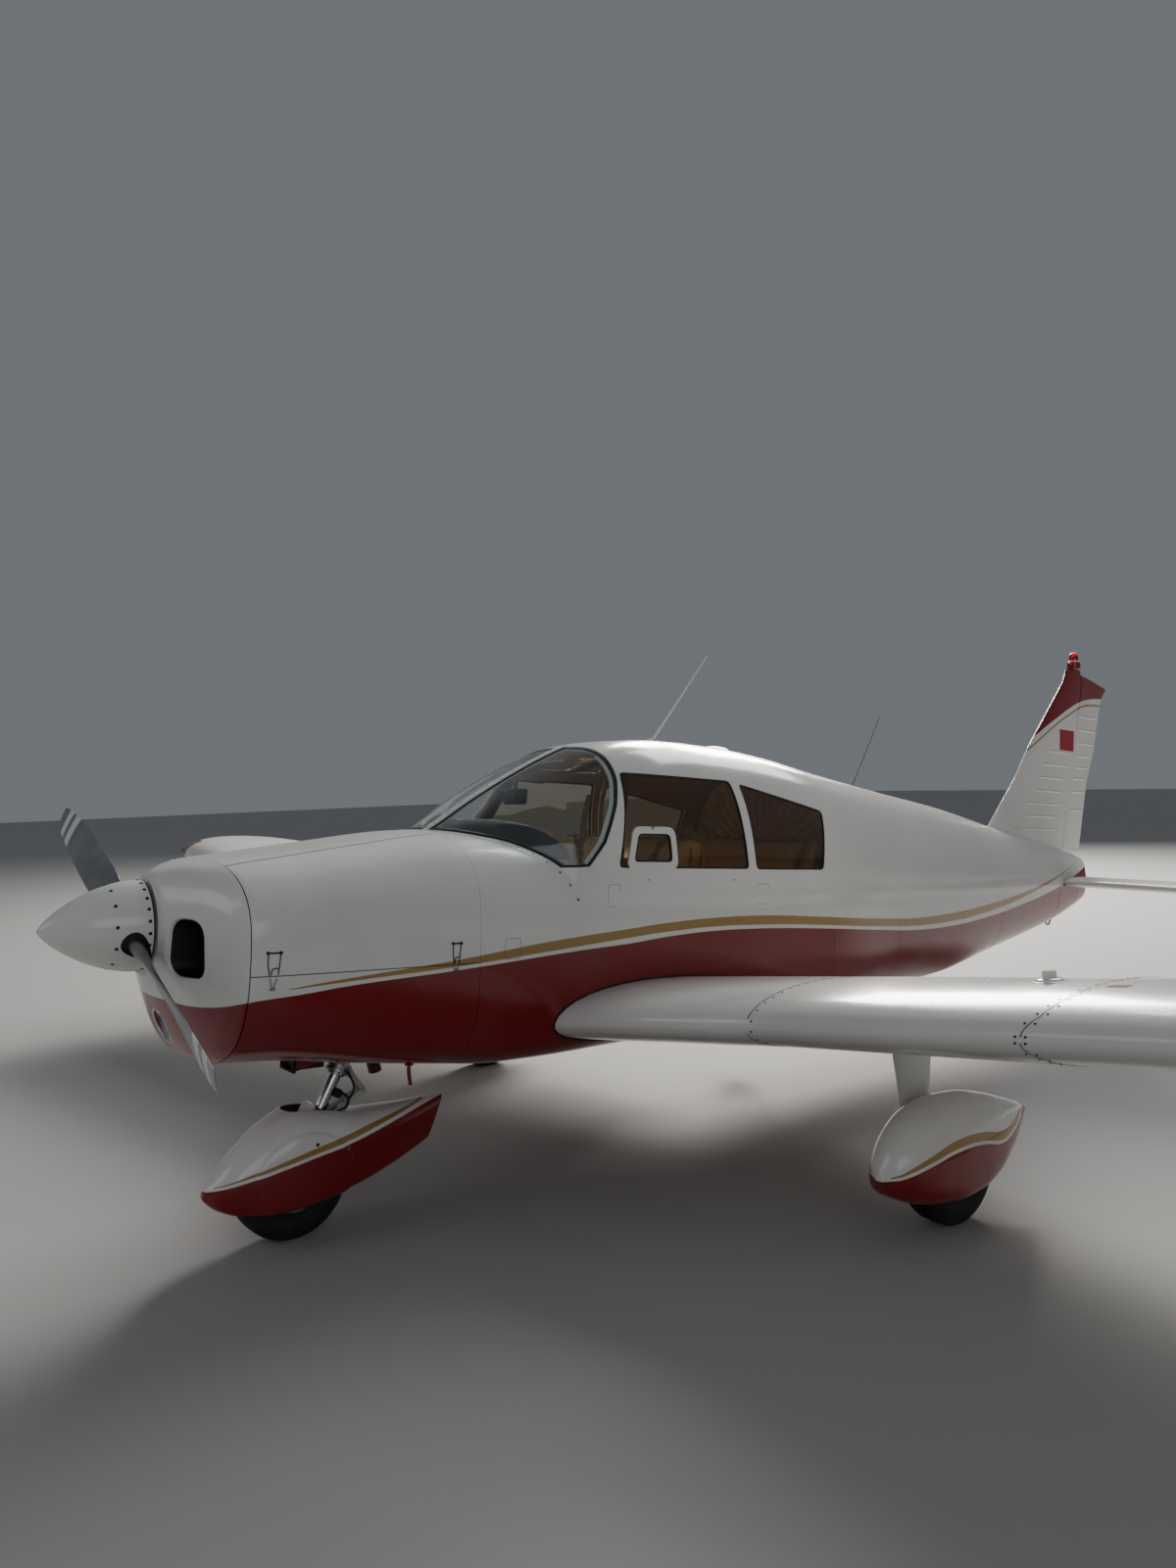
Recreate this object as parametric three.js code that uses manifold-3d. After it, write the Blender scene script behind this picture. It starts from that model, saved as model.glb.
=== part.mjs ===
// Four-seat low-wing light aircraft with fixed tricycle gear, parked on its wheels.
// Millimetres. Inside the airframe group X runs aft from the nose, Y to starboard and Z up from
// the propeller axis. The finished group is pitched to its parked attitude, wheels on Z = 0.
import * as THREE from 'three';
import { mergeVertices } from 'three/addons/utils/BufferGeometryUtils.js';
import Module from 'manifold-3d';

const wasm = await Module();
wasm.setup();

// Driving dimensions
const parkedPitch = THREE.MathUtils.degToRad(3.85);
const axisHeight = 1220.8; // floor to the airframe's origin, square to the floor
const gap = 0.3; // between fixed neighbours
const runningGap = 8; // round doors and lids
const cabinWall = 20;
const tailWall = 9;
const sideReach = 700; // side cutters run this far from the middle
const cowlWall = 10;
const glassThickness = 6;
const bodySides = 24;
const bodyStep = 340; // longest distance between two body sections

const bowlEnd = 552;
const firewallX = 1397;
const cabinEnd = 4060;
const tailCapX = 6590;

const halfSpan = 4572;
const wingLeadX = 1991;
const wingLeadZ = -443; // leading edge carried inward to the centreline
const wingChord = 1600;
const wingThickness = 240;
const designLift = 0.4; // sets the camber of the wing section
const dihedral = THREE.MathUtils.degToRad(7);
const incidence = THREE.MathUtils.degToRad(2);
const wingHingeX = 3271;
const wingHingeRise = 26; // camber line above the chord at the hinge
const wingNose = 50; // nose radius of flaps and ailerons
const wingCove = 58.5;
const flapSpan = [575, 2690];
const aileronSpan = [2712, 4290];
const controlEndGap = 14;

const stabSpan = 1524;
const stabLeadX = 6325;
const stabChord = 762;
const stabZ = 76;
const stabPivotX = 6515;
const tubeRadius = 30;
const tabHingeX = 6915;
const tabSpan = 1170;

const rudderHinge = { x: 6497, z: 287, lean: 0.1903 }; // lean is X per Z
const rudderBottomZ = 301;

const tyreRadius = 216;
const tyreHalf = 76;
const tyreSides = 24;
const noseAxle = { x: 935, y: 0 };
const mainAxle = { x: 2820, y: 1547 };
const mainLegY = 1415;
const strutLean = THREE.MathUtils.degToRad(26);
const strutRadius = 34;

const propX = 315;
const propRadius = 918;
const propAngle = THREE.MathUtils.degToRad(67.25); // upper blade from the vertical, to starboard
const spinnerTipX = 39;
const spinnerBaseX = 363;
const spinnerRadius = 156;
const shaftTilt = THREE.MathUtils.degToRad(2); // nose down against the body

// Lower body sections. Columns: x, top, middle, bottom, half width, top power, bottom power
const hullSections = [
  [375, 168, -20, -160, 160, 2.1, 2.0],
  [386, 188, -25, -188, 196, 2.1, 2.0],
  [408, 200, -30, -240, 245, 2.2, 2.0],
  [440, 212, -40, -318, 318, 2.4, 2.0],
  [478, 223, -45, -396, 400, 2.6, 2.2],
  [520, 232, -50, -446, 475, 2.7, 2.5],
  [559, 239, -50, -457, 518, 2.8, 2.7],
  [724, 260, -50, -463, 534, 3.0, 2.9],
  [1016, 302, -50, -498, 542, 3.0, 3.2],
  [1397, 349, -50, -540, 548, 3.0, 3.6],
  [1600, 354, -50, -558, 549, 3.0, 3.8],
  [1830, 354, -50, -556, 549, 3.0, 4.0],
  [2150, 340, -50, -545, 549, 3.0, 4.1],
  [2600, 320, -50, -530, 549, 3.0, 4.2],
  [3400, 290, -40, -505, 535, 3.0, 4.0],
  [4060, 255, -20, -480, 440, 2.8, 3.2],
  [4826, 210, 5, -440, 330, 2.6, 2.8],
  [5398, 185, 25, -350, 245, 2.5, 2.5],
  [6340, 150, 45, -178, 106, 2.4, 2.3],
  [6640, 140, 60, -92, 66, 2.3, 2.2],
  [6765, 130, 70, -48, 48, 2.2, 2.2],
];

// Windscreen, roof and top decking sections, in the same columns
const canopySections = [
  [1430, 330, 120, -60, 150, 2.8, 2.0],
  [1470, 354, 120, -60, 290, 3.0, 2.0],
  [1543, 398, 115, -65, 340, 3.1, 2.0],
  [1618, 448, 110, -70, 372, 3.1, 2.0],
  [1699, 498, 105, -80, 434, 3.0, 2.0],
  [1792, 552, 100, -90, 492, 2.9, 2.0],
  [1860, 590, 100, -100, 532, 2.8, 2.0],
  [2033, 678, 100, -100, 545, 2.8, 2.0],
  [2169, 734, 100, -100, 546, 2.9, 2.0],
  [2362, 769, 100, -100, 546, 3.1, 2.0],
  [2604, 785, 100, -100, 546, 3.1, 2.0],
  [2921, 777, 100, -100, 544, 3.0, 2.0],
  [3200, 754, 100, -100, 538, 2.9, 2.0],
  [3632, 691, 95, -100, 500, 2.8, 2.0],
  [4216, 620, 90, -90, 415, 2.6, 2.0],
  [4877, 544, 80, -70, 320, 2.4, 2.0],
  [5588, 427, 75, -50, 215, 2.3, 2.0],
  [6528, 287, 75, -20, 79, 2.2, 2.0],
  [6765, 232, 80, 0, 46, 2.2, 2.0],
];

// Window, door and windscreen outlines seen from the side: x, z
const windscreenOutline = [
  [1300, 200], [1905, 226], [1990, 320], [2075, 472], [2120, 580], [2148, 680], [2168, 760],
  [2175, 900], [1300, 900],
];
const frontWindowOutline = [[2047, 221], [2141, 612], [2743, 600], [2804, 211]];
const rearWindowOutline = [[2850, 209], [2794, 590], [3365, 481], [3330, 203]];
const doorWindowOutline = [[2062, 221], [2192, 604], [2722, 597], [2782, 211]];
const doorOutline = [
  [1962, -114], [1976, 226], [2102, 472], [2176, 660], [2762, 648], [2826, 205], [2826, -114],
];
const baggageOutline = [[3482, -150], [3482, 290], [3990, 290], [3990, -150]];
const stormOutline = [[2086, 215], [2132, 390], [2354, 390], [2372, 213]];
const lidHingeLine = [[552, 262], [1397, 215]]; // x, y of the starboard lid's hinge
const inletOutline = [[214, 50], [351, 50], [357, -139], [191, -141]]; // y, z seen from the front
const cowlLidBottomZ = -112;

// Wing plan. Columns: y, leading edge x, chord, thickness
const wingPlan = [
  [360, 1706, 1885, wingThickness],
  [1321, wingLeadX, wingChord, wingThickness],
  [4300, wingLeadX, wingChord, wingThickness],
  [4410, 1998, 1586, 230],
  [4490, 2024, 1542, 200],
  [4545, 2075, 1456, 148],
  [halfSpan, 2140, 1350, 84],
];

// Fin and rudder together. Columns: z, leading edge x, trailing edge x, thickness
const finSections = [
  [200, 5360, 6720, 100],
  [427, 5585, 6770, 92],
  [759, 5900, 6840, 78],
  [991, 6074, 6936, 68],
  [1334, 6393, 7026, 55],
  [1400, 6452, 7060, 52],
  [1456, 6502, 7112, 48],
  [1535, 6534, 7112, 34],
  [1562, 6570, 7105, 18],
];

// Wheel fairings. Columns: x, top, middle, bottom, half width, top power, bottom power
const noseFairingSections = [
  [612, -945, -955, -968, 14, 2.0, 2.0],
  [644, -900, -950, -1000, 52, 2.1, 2.2],
  [724, -812, -930, -1030, 98, 2.2, 3.0],
  [834, -722, -905, -1036, 126, 2.3, 4.0],
  [944, -682, -880, -1030, 135, 2.6, 4.2],
  [1074, -700, -850, -1010, 132, 2.6, 4.0],
  [1204, -724, -830, -982, 116, 2.3, 3.2],
  [1364, -726, -800, -935, 86, 2.3, 2.4],
  [1480, -722, -780, -895, 52, 2.3, 2.2],
  [1596, -724, -748, -790, 12, 2.0, 2.0],
];
const mainFairingSections = [
  [2405, -788, -806, -822, 14, 2.0, 2.0],
  [2440, -715, -800, -868, 66, 2.1, 2.2],
  [2520, -634, -785, -900, 106, 2.2, 2.6],
  [2630, -580, -765, -916, 128, 2.3, 3.0],
  [2750, -560, -748, -920, 134, 2.3, 3.0],
  [2880, -562, -735, -908, 130, 2.3, 3.0],
  [3010, -582, -722, -880, 114, 2.3, 2.8],
  [3140, -615, -710, -825, 82, 2.3, 2.4],
  [3260, -652, -698, -755, 42, 2.2, 2.2],
  [3330, -682, -694, -708, 12, 2.0, 2.0],
];

// Propeller blade. Columns: radius, chord, thickness, pitch angle in degrees
const bladeSections = [
  [60, 84, 62, 48],
  [170, 96, 44, 44],
  [300, 124, 27, 34],
  [450, 140, 19, 26],
  [620, 138, 14, 20],
  [780, 120, 10, 16.5],
  [870, 100, 8, 15],
  [905, 84, 6, 14.5],
  [propRadius, 60, 5, 14.5],
];

// Finishes: colour, roughness, metalness
const finishes = {
  white_paint: ['#eceae6', 0.25, 0],
  red_paint: ['#9c1016', 0.25, 0],
  bare_metal: ['#a9abad', 0.35, 1],
  chrome: ['#d4d6d8', 0.12, 1],
  dark_metal: ['#3a3b3d', 0.5, 0.8],
  black_plastic: ['#18181a', 0.6, 0],
  rubber: ['#1b1b1c', 0.85, 0],
  clear_glass: ['#dfe6e6', 0.05, 0],
  tinted_glass: ['#4a3d2c', 0.05, 0],
  red_glass: ['#b0151c', 0.1, 0],
  leather: ['#c9a67c', 0.6, 0],
  carpet: ['#6d5a48', 0.9, 0],
};
const materials = {};
for (const [name, [color, roughness, metalness]] of Object.entries(finishes)) {
  materials[name] = new THREE.MeshStandardMaterial({ name, color, roughness, metalness });
}

// Solids from geometries, and back
function solid(geometry) {
  const bare = geometry.clone();
  bare.deleteAttribute('normal');
  bare.deleteAttribute('uv');
  const merged = mergeVertices(bare, 1e-3);
  return new wasm.Manifold(new wasm.Mesh({
    numProp: 3,
    vertProperties: new Float32Array(merged.attributes.position.array),
    triVerts: new Uint32Array(merged.index.array),
  }));
}

function geometryOf(body) {
  const mesh = body.getMesh();
  const geometry = new THREE.BufferGeometry();
  geometry.setAttribute('position', new THREE.BufferAttribute(mesh.vertProperties, 3));
  geometry.setIndex(new THREE.BufferAttribute(mesh.triVerts, 1));
  geometry.computeVertexNormals();
  return geometry;
}

// Joins rings of equal point count into one closed body with a flat cap at each end
function loft(rings) {
  const count = rings[0].length;
  const points = rings.flat();
  const faces = [];
  for (let r = 0; r < rings.length - 1; r += 1) {
    for (let i = 0; i < count; i += 1) {
      const a = r * count + i;
      const b = r * count + ((i + 1) % count);
      faces.push(a, b, a + count, b, b + count, a + count);
    }
  }
  for (const [start, turn] of [[0, 1], [(rings.length - 1) * count, 0]]) {
    const hub = points.length;
    const centre = new THREE.Vector3();
    for (let i = 0; i < count; i += 1) centre.addScaledVector(points[start + i], 1 / count);
    points.push(centre);
    for (let i = 0; i < count; i += 1) {
      faces.push(hub, start + ((i + turn) % count), start + ((i + 1 - turn) % count));
    }
  }
  const volume = faces.reduce((sum, _, k) => {
    if (k % 3) return sum;
    const [a, b, c] = [points[faces[k]], points[faces[k + 1]], points[faces[k + 2]]];
    return sum + a.dot(new THREE.Vector3().crossVectors(b, c));
  }, 0);
  if (volume < 0) faces.reverse();
  const geometry = new THREE.BufferGeometry().setFromPoints(points);
  geometry.setIndex(faces);
  return geometry;
}

// Reads a table at x with a monotone cubic through every column
function rowAt(table, x) {
  const last = table.length - 1;
  let k = 0;
  while (k < last - 1 && x > table[k + 1][0]) k += 1;
  const slope = (i, c) => (table[i + 1][c] - table[i][c]) / (table[i + 1][0] - table[i][0]);
  const tangent = (i, c) => {
    if (i === 0) return slope(0, c);
    if (i === last) return slope(last - 1, c);
    const before = slope(i - 1, c);
    const after = slope(i, c);
    return before * after <= 0 ? 0 : (2 * before * after) / (before + after);
  };
  const span = table[k + 1][0] - table[k][0];
  const t = (x - table[k][0]) / span;
  return table[k].map((start, c) => {
    if (c === 0) return x;
    const rise = table[k + 1][c] - start;
    const bendIn = (1 - t) * (tangent(k, c) * span - rise);
    const bendOut = t * (tangent(k + 1, c) * span - rise);
    return start + rise * t + t * (1 - t) * (bendIn - bendOut);
  });
}

// Rounded section square to X, grown outward by grow
function sectionRing([x, top, middle, bottom, half, topPower, bottomPower], grow, y = 0, sides = bodySides) {
  const ring = [];
  for (let i = 0; i < sides; i += 1) {
    const angle = (2 * Math.PI * (i + 0.5)) / sides;
    const across = Math.sin(angle);
    const up = Math.cos(angle);
    const power = 2 / (up > 0 ? topPower : bottomPower);
    const reach = up > 0 ? top - middle + grow : middle - bottom + grow;
    ring.push(new THREE.Vector3(
      x,
      y + (half + grow) * Math.sign(across) * Math.abs(across) ** power,
      middle + reach * Math.sign(up) * Math.abs(up) ** power,
    ));
  }
  return ring;
}

function bodyOf(table, grow, y, sides, step = bodyStep) {
  const rings = [];
  for (let k = 0; k < table.length - 1; k += 1) {
    const [from, to] = [table[k][0], table[k + 1][0]];
    const parts = Math.ceil((to - from) / step);
    for (let i = 0; i < parts; i += 1) {
      rings.push(sectionRing(rowAt(table, from + ((to - from) * i) / parts), grow, y, sides));
    }
  }
  rings.push(sectionRing(table[table.length - 1], grow, y, sides));
  return solid(loft(rings));
}

// Simple cutters and blocks
function block(x0, x1, y0, y1, z0, z1) {
  const geometry = new THREE.BoxGeometry(x1 - x0, y1 - y0, z1 - z0);
  geometry.translate((x0 + x1) / 2, (y0 + y1) / 2, (z0 + z1) / 2);
  return solid(geometry);
}

const far = 9000;
const slab = (x0, x1) => block(x0, x1, -far, far, -far, far);

function shrunk(points, distance) {
  const count = points.length;
  const area = points.reduce((sum, [x, z], i) => {
    const [nextX, nextZ] = points[(i + 1) % count];
    return sum + x * nextZ - nextX * z;
  }, 0);
  const side = Math.sign(area);
  const lines = points.map(([x, z], i) => {
    const [nextX, nextZ] = points[(i + 1) % count];
    const length = Math.hypot(nextX - x, nextZ - z);
    const normal = [(-(nextZ - z) / length) * side, ((nextX - x) / length) * side];
    return [normal[0], normal[1], normal[0] * x + normal[1] * z + distance];
  });
  return points.map((_, i) => {
    const [a, b, c] = lines[(i + count - 1) % count];
    const [d, e, f] = lines[i];
    const det = a * e - b * d;
    return [(c * e - b * f) / det, (a * f - c * d) / det];
  });
}

// Outline with rounded corners as a flat shape
function roundedShape(points, radii) {
  const count = points.length;
  const shape = new THREE.Shape();
  points.forEach(([a, b], i) => {
    const toward = ([p, q]) => {
      const share = radii[i] / Math.hypot(p - a, q - b);
      return [a + (p - a) * share, b + (q - b) * share];
    };
    const start = toward(points[(i + count - 1) % count]);
    if (i === 0) shape.moveTo(...start);
    else shape.lineTo(...start);
    if (radii[i] > 0) shape.quadraticCurveTo(a, b, ...toward(points[(i + 1) % count]));
  });
  shape.closePath();
  return shape;
}

// Side outline with rounded corners, carried across from y0 to y1
function sidePrism(points, y0, y1, radius = 0) {
  const shape = roundedShape(points, points.map(() => radius));
  const depth = y1 - y0;
  const geometry = new THREE.ExtrudeGeometry(shape, { depth, bevelEnabled: false, curveSegments: 3 });
  geometry.rotateX(Math.PI / 2);
  geometry.translate(0, y1, 0);
  return solid(geometry);
}

// Round bar between two points
function bar(from, to, radius, endRadius = radius, sides = 16) {
  const a = new THREE.Vector3(...from);
  const b = new THREE.Vector3(...to);
  const geometry = new THREE.CylinderGeometry(endRadius, radius, a.distanceTo(b), sides);
  const along = b.clone().sub(a).normalize();
  geometry.applyQuaternion(new THREE.Quaternion().setFromUnitVectors(new THREE.Vector3(0, 1, 0), along));
  geometry.translate((a.x + b.x) / 2, (a.y + b.y) / 2, (a.z + b.z) / 2);
  return solid(geometry);
}

const join = (first, ...rest) => rest.reduce((sum, piece) => sum.add(piece), first);
const cut = (first, ...rest) => rest.reduce((sum, piece) => sum.subtract(piece), first);

// Scene graph
const aircraft = new THREE.Group();
const airframe = new THREE.Group();
airframe.rotation.y = parkedPitch;
airframe.position.z = axisHeight;
aircraft.add(airframe);

function add(name, finish, body) {
  const mesh = new THREE.Mesh(geometryOf(body), materials[finish]);
  mesh.name = name;
  airframe.add(mesh);
}

// Body skins
const hull = (grow) => bodyOf(hullSections, grow);
const canopy = (grow) => bodyOf(canopySections, grow);
const skin = hull(0).add(canopy(0));
const skinRoom = hull(gap).add(canopy(gap));
const cabinInside = hull(-cabinWall).add(canopy(-cabinWall));
const tailInside = hull(-tailWall).add(canopy(-tailWall));
const cowlInside = hull(-cowlWall);

// The propeller shaft runs nose down from the body's axis, both meet at the spinner's tip
function shaftPoint(x) {
  const along = x - spinnerTipX;
  return [spinnerTipX + along * Math.cos(shaftTilt), 0, along * Math.sin(shaftTilt)];
}

// Nose bowl with two air inlets, the shaft hole and a well for the landing light
const inletX = { front: 345, depth: 160 };
const inletCorners = [24, 60, 24, 24];
function inlet(side) {
  const shape = roundedShape(inletOutline.map(([y, z]) => [side * y, z]), inletCorners);
  const depth = inletX.depth;
  const geometry = new THREE.ExtrudeGeometry(shape, { depth, bevelEnabled: false, curveSegments: 4 });
  geometry.applyMatrix4(new THREE.Matrix4().makeBasis(
    new THREE.Vector3(0, 1, 0),
    new THREE.Vector3(0, 0, 1),
    new THREE.Vector3(1, 0, 0),
  ));
  geometry.translate(inletX.front, 0, 0);
  return solid(geometry);
}
const light = { x: 471, back: 496, z: -339, radius: 50, wall: 12 };
const lightBar = (x0, x1, radius) => bar([x0, 0, light.z], [x1, 0, light.z], radius, radius, 32);
const shaftHole = 75;
const bowlWallX = 392; // the bowl is solid ahead of this
add('nose_bowl', 'white_paint', cut(
  join(
    cut(skin.intersect(slab(300, bowlEnd)), cowlInside.intersect(slab(bowlWallX, bowlEnd + 1))),
    lightBar(400, light.back + 4, light.radius + light.wall).intersect(skin),
  ),
  inlet(1),
  inlet(-1),
  bar(shaftPoint(300), shaftPoint(420), shaftHole, shaftHole, 24),
  lightBar(380, light.x, light.radius + 5),
  lightBar(light.x - 1, bowlEnd, light.radius + gap),
));
add('landing_light', 'clear_glass', lightBar(light.x + gap, light.back, light.radius).intersect(skin));

// Cowling: fixed top strip, two side lids hinged on it, and the lower half
const cowlShell = cut(skin, cowlInside).intersect(slab(bowlEnd + gap, firewallX - gap));
const lidX = [bowlEnd + runningGap, firewallX - runningGap];
const hingeY = (x) => {
  const [[x0, y0], [x1, y1]] = lidHingeLine;
  return y0 + ((x - x0) * (y1 - y0)) / (x1 - x0);
};
// Everything between two upright planes along the hinge line, on one side or across the top
function besideHinge(side, inner, outer) {
  const ends = [400, 1500];
  const corners = [
    [ends[0], side * (hingeY(ends[0]) + inner)],
    [ends[1], side * (hingeY(ends[1]) + inner)],
    [ends[1], outer],
    [ends[0], outer],
  ];
  const ring = (z) => corners.map(([x, y]) => new THREE.Vector3(x, y, z));
  return solid(loft([ring(cowlLidBottomZ), ring(sideReach)]));
}
const topStrip = cut(
  block(0, far, -far, far, 0, far),
  besideHinge(1, -runningGap / 2, far),
  besideHinge(-1, -runningGap / 2, -far),
);
add('cowl_top', 'white_paint', cowlShell.intersect(topStrip));
for (const [name, side] of [['left', -1], ['right', 1]]) {
  add(`cowl_lid_${name}`, 'white_paint', cowlShell
    .intersect(slab(...lidX))
    .intersect(besideHinge(side, runningGap / 2, side * far)));
}

// Nose leg: strut, fork and axle lean forward and steer about the strut's axis
const groundZ = (x, height) => (height - axisHeight + x * Math.sin(parkedPitch)) / Math.cos(parkedPitch);
const facetRadius = tyreRadius * Math.cos(Math.PI / tyreSides);
const noseAxleZ = groundZ(noseAxle.x, facetRadius);
const strutPoint = (up) => [noseAxle.x + up * Math.sin(strutLean), 0, noseAxleZ + up * Math.cos(strutLean)];
const scoop = { front: 916, back: 1062, half: 60, low: -551, wall: 7 };
const scoopInside = block(
  scoop.front - scoop.wall,
  scoop.back - 2 * scoop.wall,
  scoop.wall - scoop.half,
  scoop.half - scoop.wall,
  scoop.low + scoop.wall,
  -400,
);
const strutHole = bar(strutPoint(440), strutPoint(760), strutRadius + 10, strutRadius + 10, 24);
const exhaustExit = block(1250, firewallX + 1, -230, 230, -600, -440);
add('cowl_lower', 'red_paint', cut(
  join(
    cowlShell.intersect(block(0, far, -far, far, -far, cowlLidBottomZ - runningGap)),
    cut(block(scoop.front, scoop.back, -scoop.half, scoop.half, scoop.low, -470), scoopInside),
  ),
  strutHole,
  exhaustExit,
));

// Engine: one plain block with its mount and the propeller flange
const flangeRadius = 50;
add('engine_block', 'dark_metal', join(
  block(568, 1330, -378, 378, -260, 152),
  block(610, 1330, -430, 430, -250, 60),
  block(610, 1120, -290, 290, -380, -250),
  block(1300, firewallX - gap, -160, 160, -120, 100),
  bar(shaftPoint(374), shaftPoint(600), flangeRadius, flangeRadius, 24),
));
const mountBlock = block(1160, firewallX - gap, -90, 90, -400, -300);
add('nose_gear_mount', 'dark_metal', cut(
  join(mountBlock, bar(strutPoint(620), strutPoint(700), 64, 64, 24)),
  bar(strutPoint(500), strutPoint(800), strutRadius + 1, strutRadius + 1, 24),
));

// Cabin shell with its window, windscreen and door openings
const stripHalf = 22; // metal strip between the windscreen halves
const windscreenCut = (distance, y0, y1) => canopy(40)
  .intersect(sidePrism(shrunk(windscreenOutline, distance), y0, y1))
  .subtract(hull(distance));
const leftCut = (outline, corner) => sidePrism(outline, -sideReach, 0, corner);
const rightCut = (outline, corner) => sidePrism(outline, 0, sideReach, corner);
const windowCorner = 26;
const doorCorner = 60;
add('cabin_shell', 'white_paint', cut(
  skin.intersect(slab(firewallX, cabinEnd)),
  cabinInside.intersect(slab(firewallX + cabinWall, cabinEnd - cabinWall)),
  windscreenCut(0, -sideReach, -stripHalf),
  windscreenCut(0, stripHalf, sideReach),
  leftCut(frontWindowOutline, windowCorner),
  sidePrism(rearWindowOutline, -sideReach, sideReach, windowCorner),
  rightCut(doorOutline, doorCorner),
  rightCut(baggageOutline, doorCorner),
));

const glassInset = 3;
const glassDepth = glassInset + glassThickness;
const glassSkin = cut(
  hull(-glassInset).add(canopy(-glassInset)),
  hull(-glassDepth).add(canopy(-glassDepth)),
);
const screenSkin = cut(canopy(-glassInset), canopy(-glassDepth));
const screenGap = 0.6;
add('windscreen_left', 'clear_glass', screenSkin
  .intersect(windscreenCut(screenGap, -sideReach, -stripHalf - screenGap)));
add('windscreen_right', 'clear_glass', screenSkin
  .intersect(windscreenCut(screenGap, stripHalf + screenGap, sideReach)));
const pane = (side, outline) => glassSkin.intersect(side(shrunk(outline, gap), windowCorner));
const stormCorner = 40;
const stormFrame = 32;
const stormCut = leftCut(stormOutline, stormCorner);
add('window_front_left', 'tinted_glass', cut(pane(leftCut, frontWindowOutline), stormCut));
add('window_rear_left', 'tinted_glass', pane(leftCut, rearWindowOutline));
add('window_rear_right', 'tinted_glass', pane(rightCut, rearWindowOutline));
add('storm_window', 'white_paint', cut(
  cut(canopy(2), canopy(-12))
    .intersect(leftCut(shrunk(stormOutline, gap), stormCorner))
    .intersect(block(0, far, -far, 0, 222, 388)),
  leftCut(shrunk(stormOutline, stormFrame), 22),
));

// Cabin door and its window, baggage door. Their rear edges swing past the frame, so they get more room
const wallSkin = cut(skin, cabinInside);
const rearEdgeRoom = 6;
function freeOutline(outline) {
  const points = shrunk(outline, runningGap);
  const middle = points.reduce((sum, [x]) => sum + x / points.length, 0);
  return points.map(([x, z]) => [x > middle ? x - rearEdgeRoom : x, z]);
}
add('cabin_door', 'white_paint', cut(
  wallSkin.intersect(rightCut(freeOutline(doorOutline), doorCorner - rearEdgeRoom)),
  rightCut(doorWindowOutline, windowCorner),
));
add('door_window', 'tinted_glass', pane(rightCut, doorWindowOutline));
add('baggage_door', 'white_paint', wallSkin
  .intersect(rightCut(freeOutline(baggageOutline), doorCorner - rearEdgeRoom)));

// Cabin floor, instrument panel with its shelf and yokes, seats
const lining = hull(-cabinWall - gap).add(canopy(-cabinWall - gap));
const floorZ = -325;
const floorX = [firewallX + cabinWall + gap, cabinEnd - cabinWall - gap];
add('cabin_floor', 'carpet', lining.intersect(block(...floorX, -far, far, -far, floorZ)));
const panelX = [1735, 1765];
const panelTop = 292;
const yokeY = 240;
const yoke = (y) => join(
  bar([1740, y, 130], [1905, y, 130], 14),
  block(1890, 1920, y - 130, y + 130, 118, 142),
  block(1886, 1920, y - 142, y - 118, 118, 205),
  block(1886, 1920, y + 118, y + 142, 118, 205),
);
add('instrument_panel', 'black_plastic', join(
  lining.intersect(block(1500, panelX[1], -far, far, panelTop - 30, panelTop)),
  lining.intersect(block(...panelX, -far, far, -60, panelTop)),
  yoke(-yokeY),
  yoke(yokeY),
));
const seatBase = floorZ + gap;
const frontSeatProfile = [
  [2030, seatBase], [1995, -110], [2010, -28], [2415, -62], [2500, 330], [2545, 350], [2610, 330],
  [2540, -150], [2500, seatBase],
];
const rearSeatProfile = [
  [2920, seatBase], [2875, -120], [2890, -38], [3250, -76], [3360, 330], [3400, 350], [3450, 330],
  [3385, -160], [3350, seatBase],
];
const seatRoom = hull(-cabinWall - 12).add(canopy(-cabinWall - 12));
add('front_seat_left', 'leather', sidePrism(frontSeatProfile, -500, -30).intersect(seatRoom));
add('front_seat_right', 'leather', sidePrism(frontSeatProfile, 30, 500).intersect(seatRoom));
add('rear_seat', 'leather', sidePrism(rearSeatProfile, -490, 490).intersect(seatRoom));

// Tail cone: a shell up to the stabilator's tube, with a hole for the tube, and its end cap
const tailSolidX = 6400;
const tubeHoleRadius = tubeRadius + 6;
add('tail_cone', 'white_paint', cut(
  skin.intersect(slab(cabinEnd + gap, tailCapX)),
  tailInside.intersect(slab(cabinEnd, tailSolidX)),
  bar([stabPivotX, -300, stabZ], [stabPivotX, 300, stabZ], tubeHoleRadius, tubeHoleRadius, 24),
));
add('tail_cap', 'white_paint', skin.intersect(slab(tailCapX + gap, far)));

// Half thickness of the section and height of its camber line, both as shares
function halfThickness(u) {
  return 5 * (0.2969 * Math.sqrt(u) - 0.126 * u - 0.3516 * u ** 2 + 0.2843 * u ** 3 - 0.1015 * u ** 4);
}
const xLog = (u) => (u > 0 ? u * Math.log(u) : 0);
const camberLine = (u) => (-designLift / (4 * Math.PI)) * (xLog(u) + xLog(1 - u));

// Points of a section: along the chord and above it
function sectionPoints(chord, thickness, cambered, half = 8) {
  const points = [];
  for (let i = 0; i < 2 * half; i += 1) {
    const upper = i < half;
    const k = upper ? half - i : i - half;
    const edge = upper ? 1 : -1;
    const u = (1 - Math.cos((Math.PI * k) / half)) / 2;
    const camber = cambered ? chord * camberLine(u) : 0;
    points.push([u * chord, camber + edge * thickness * halfThickness(u)]);
  }
  points.push([chord, -thickness * halfThickness(1)]);
  return points;
}

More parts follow.
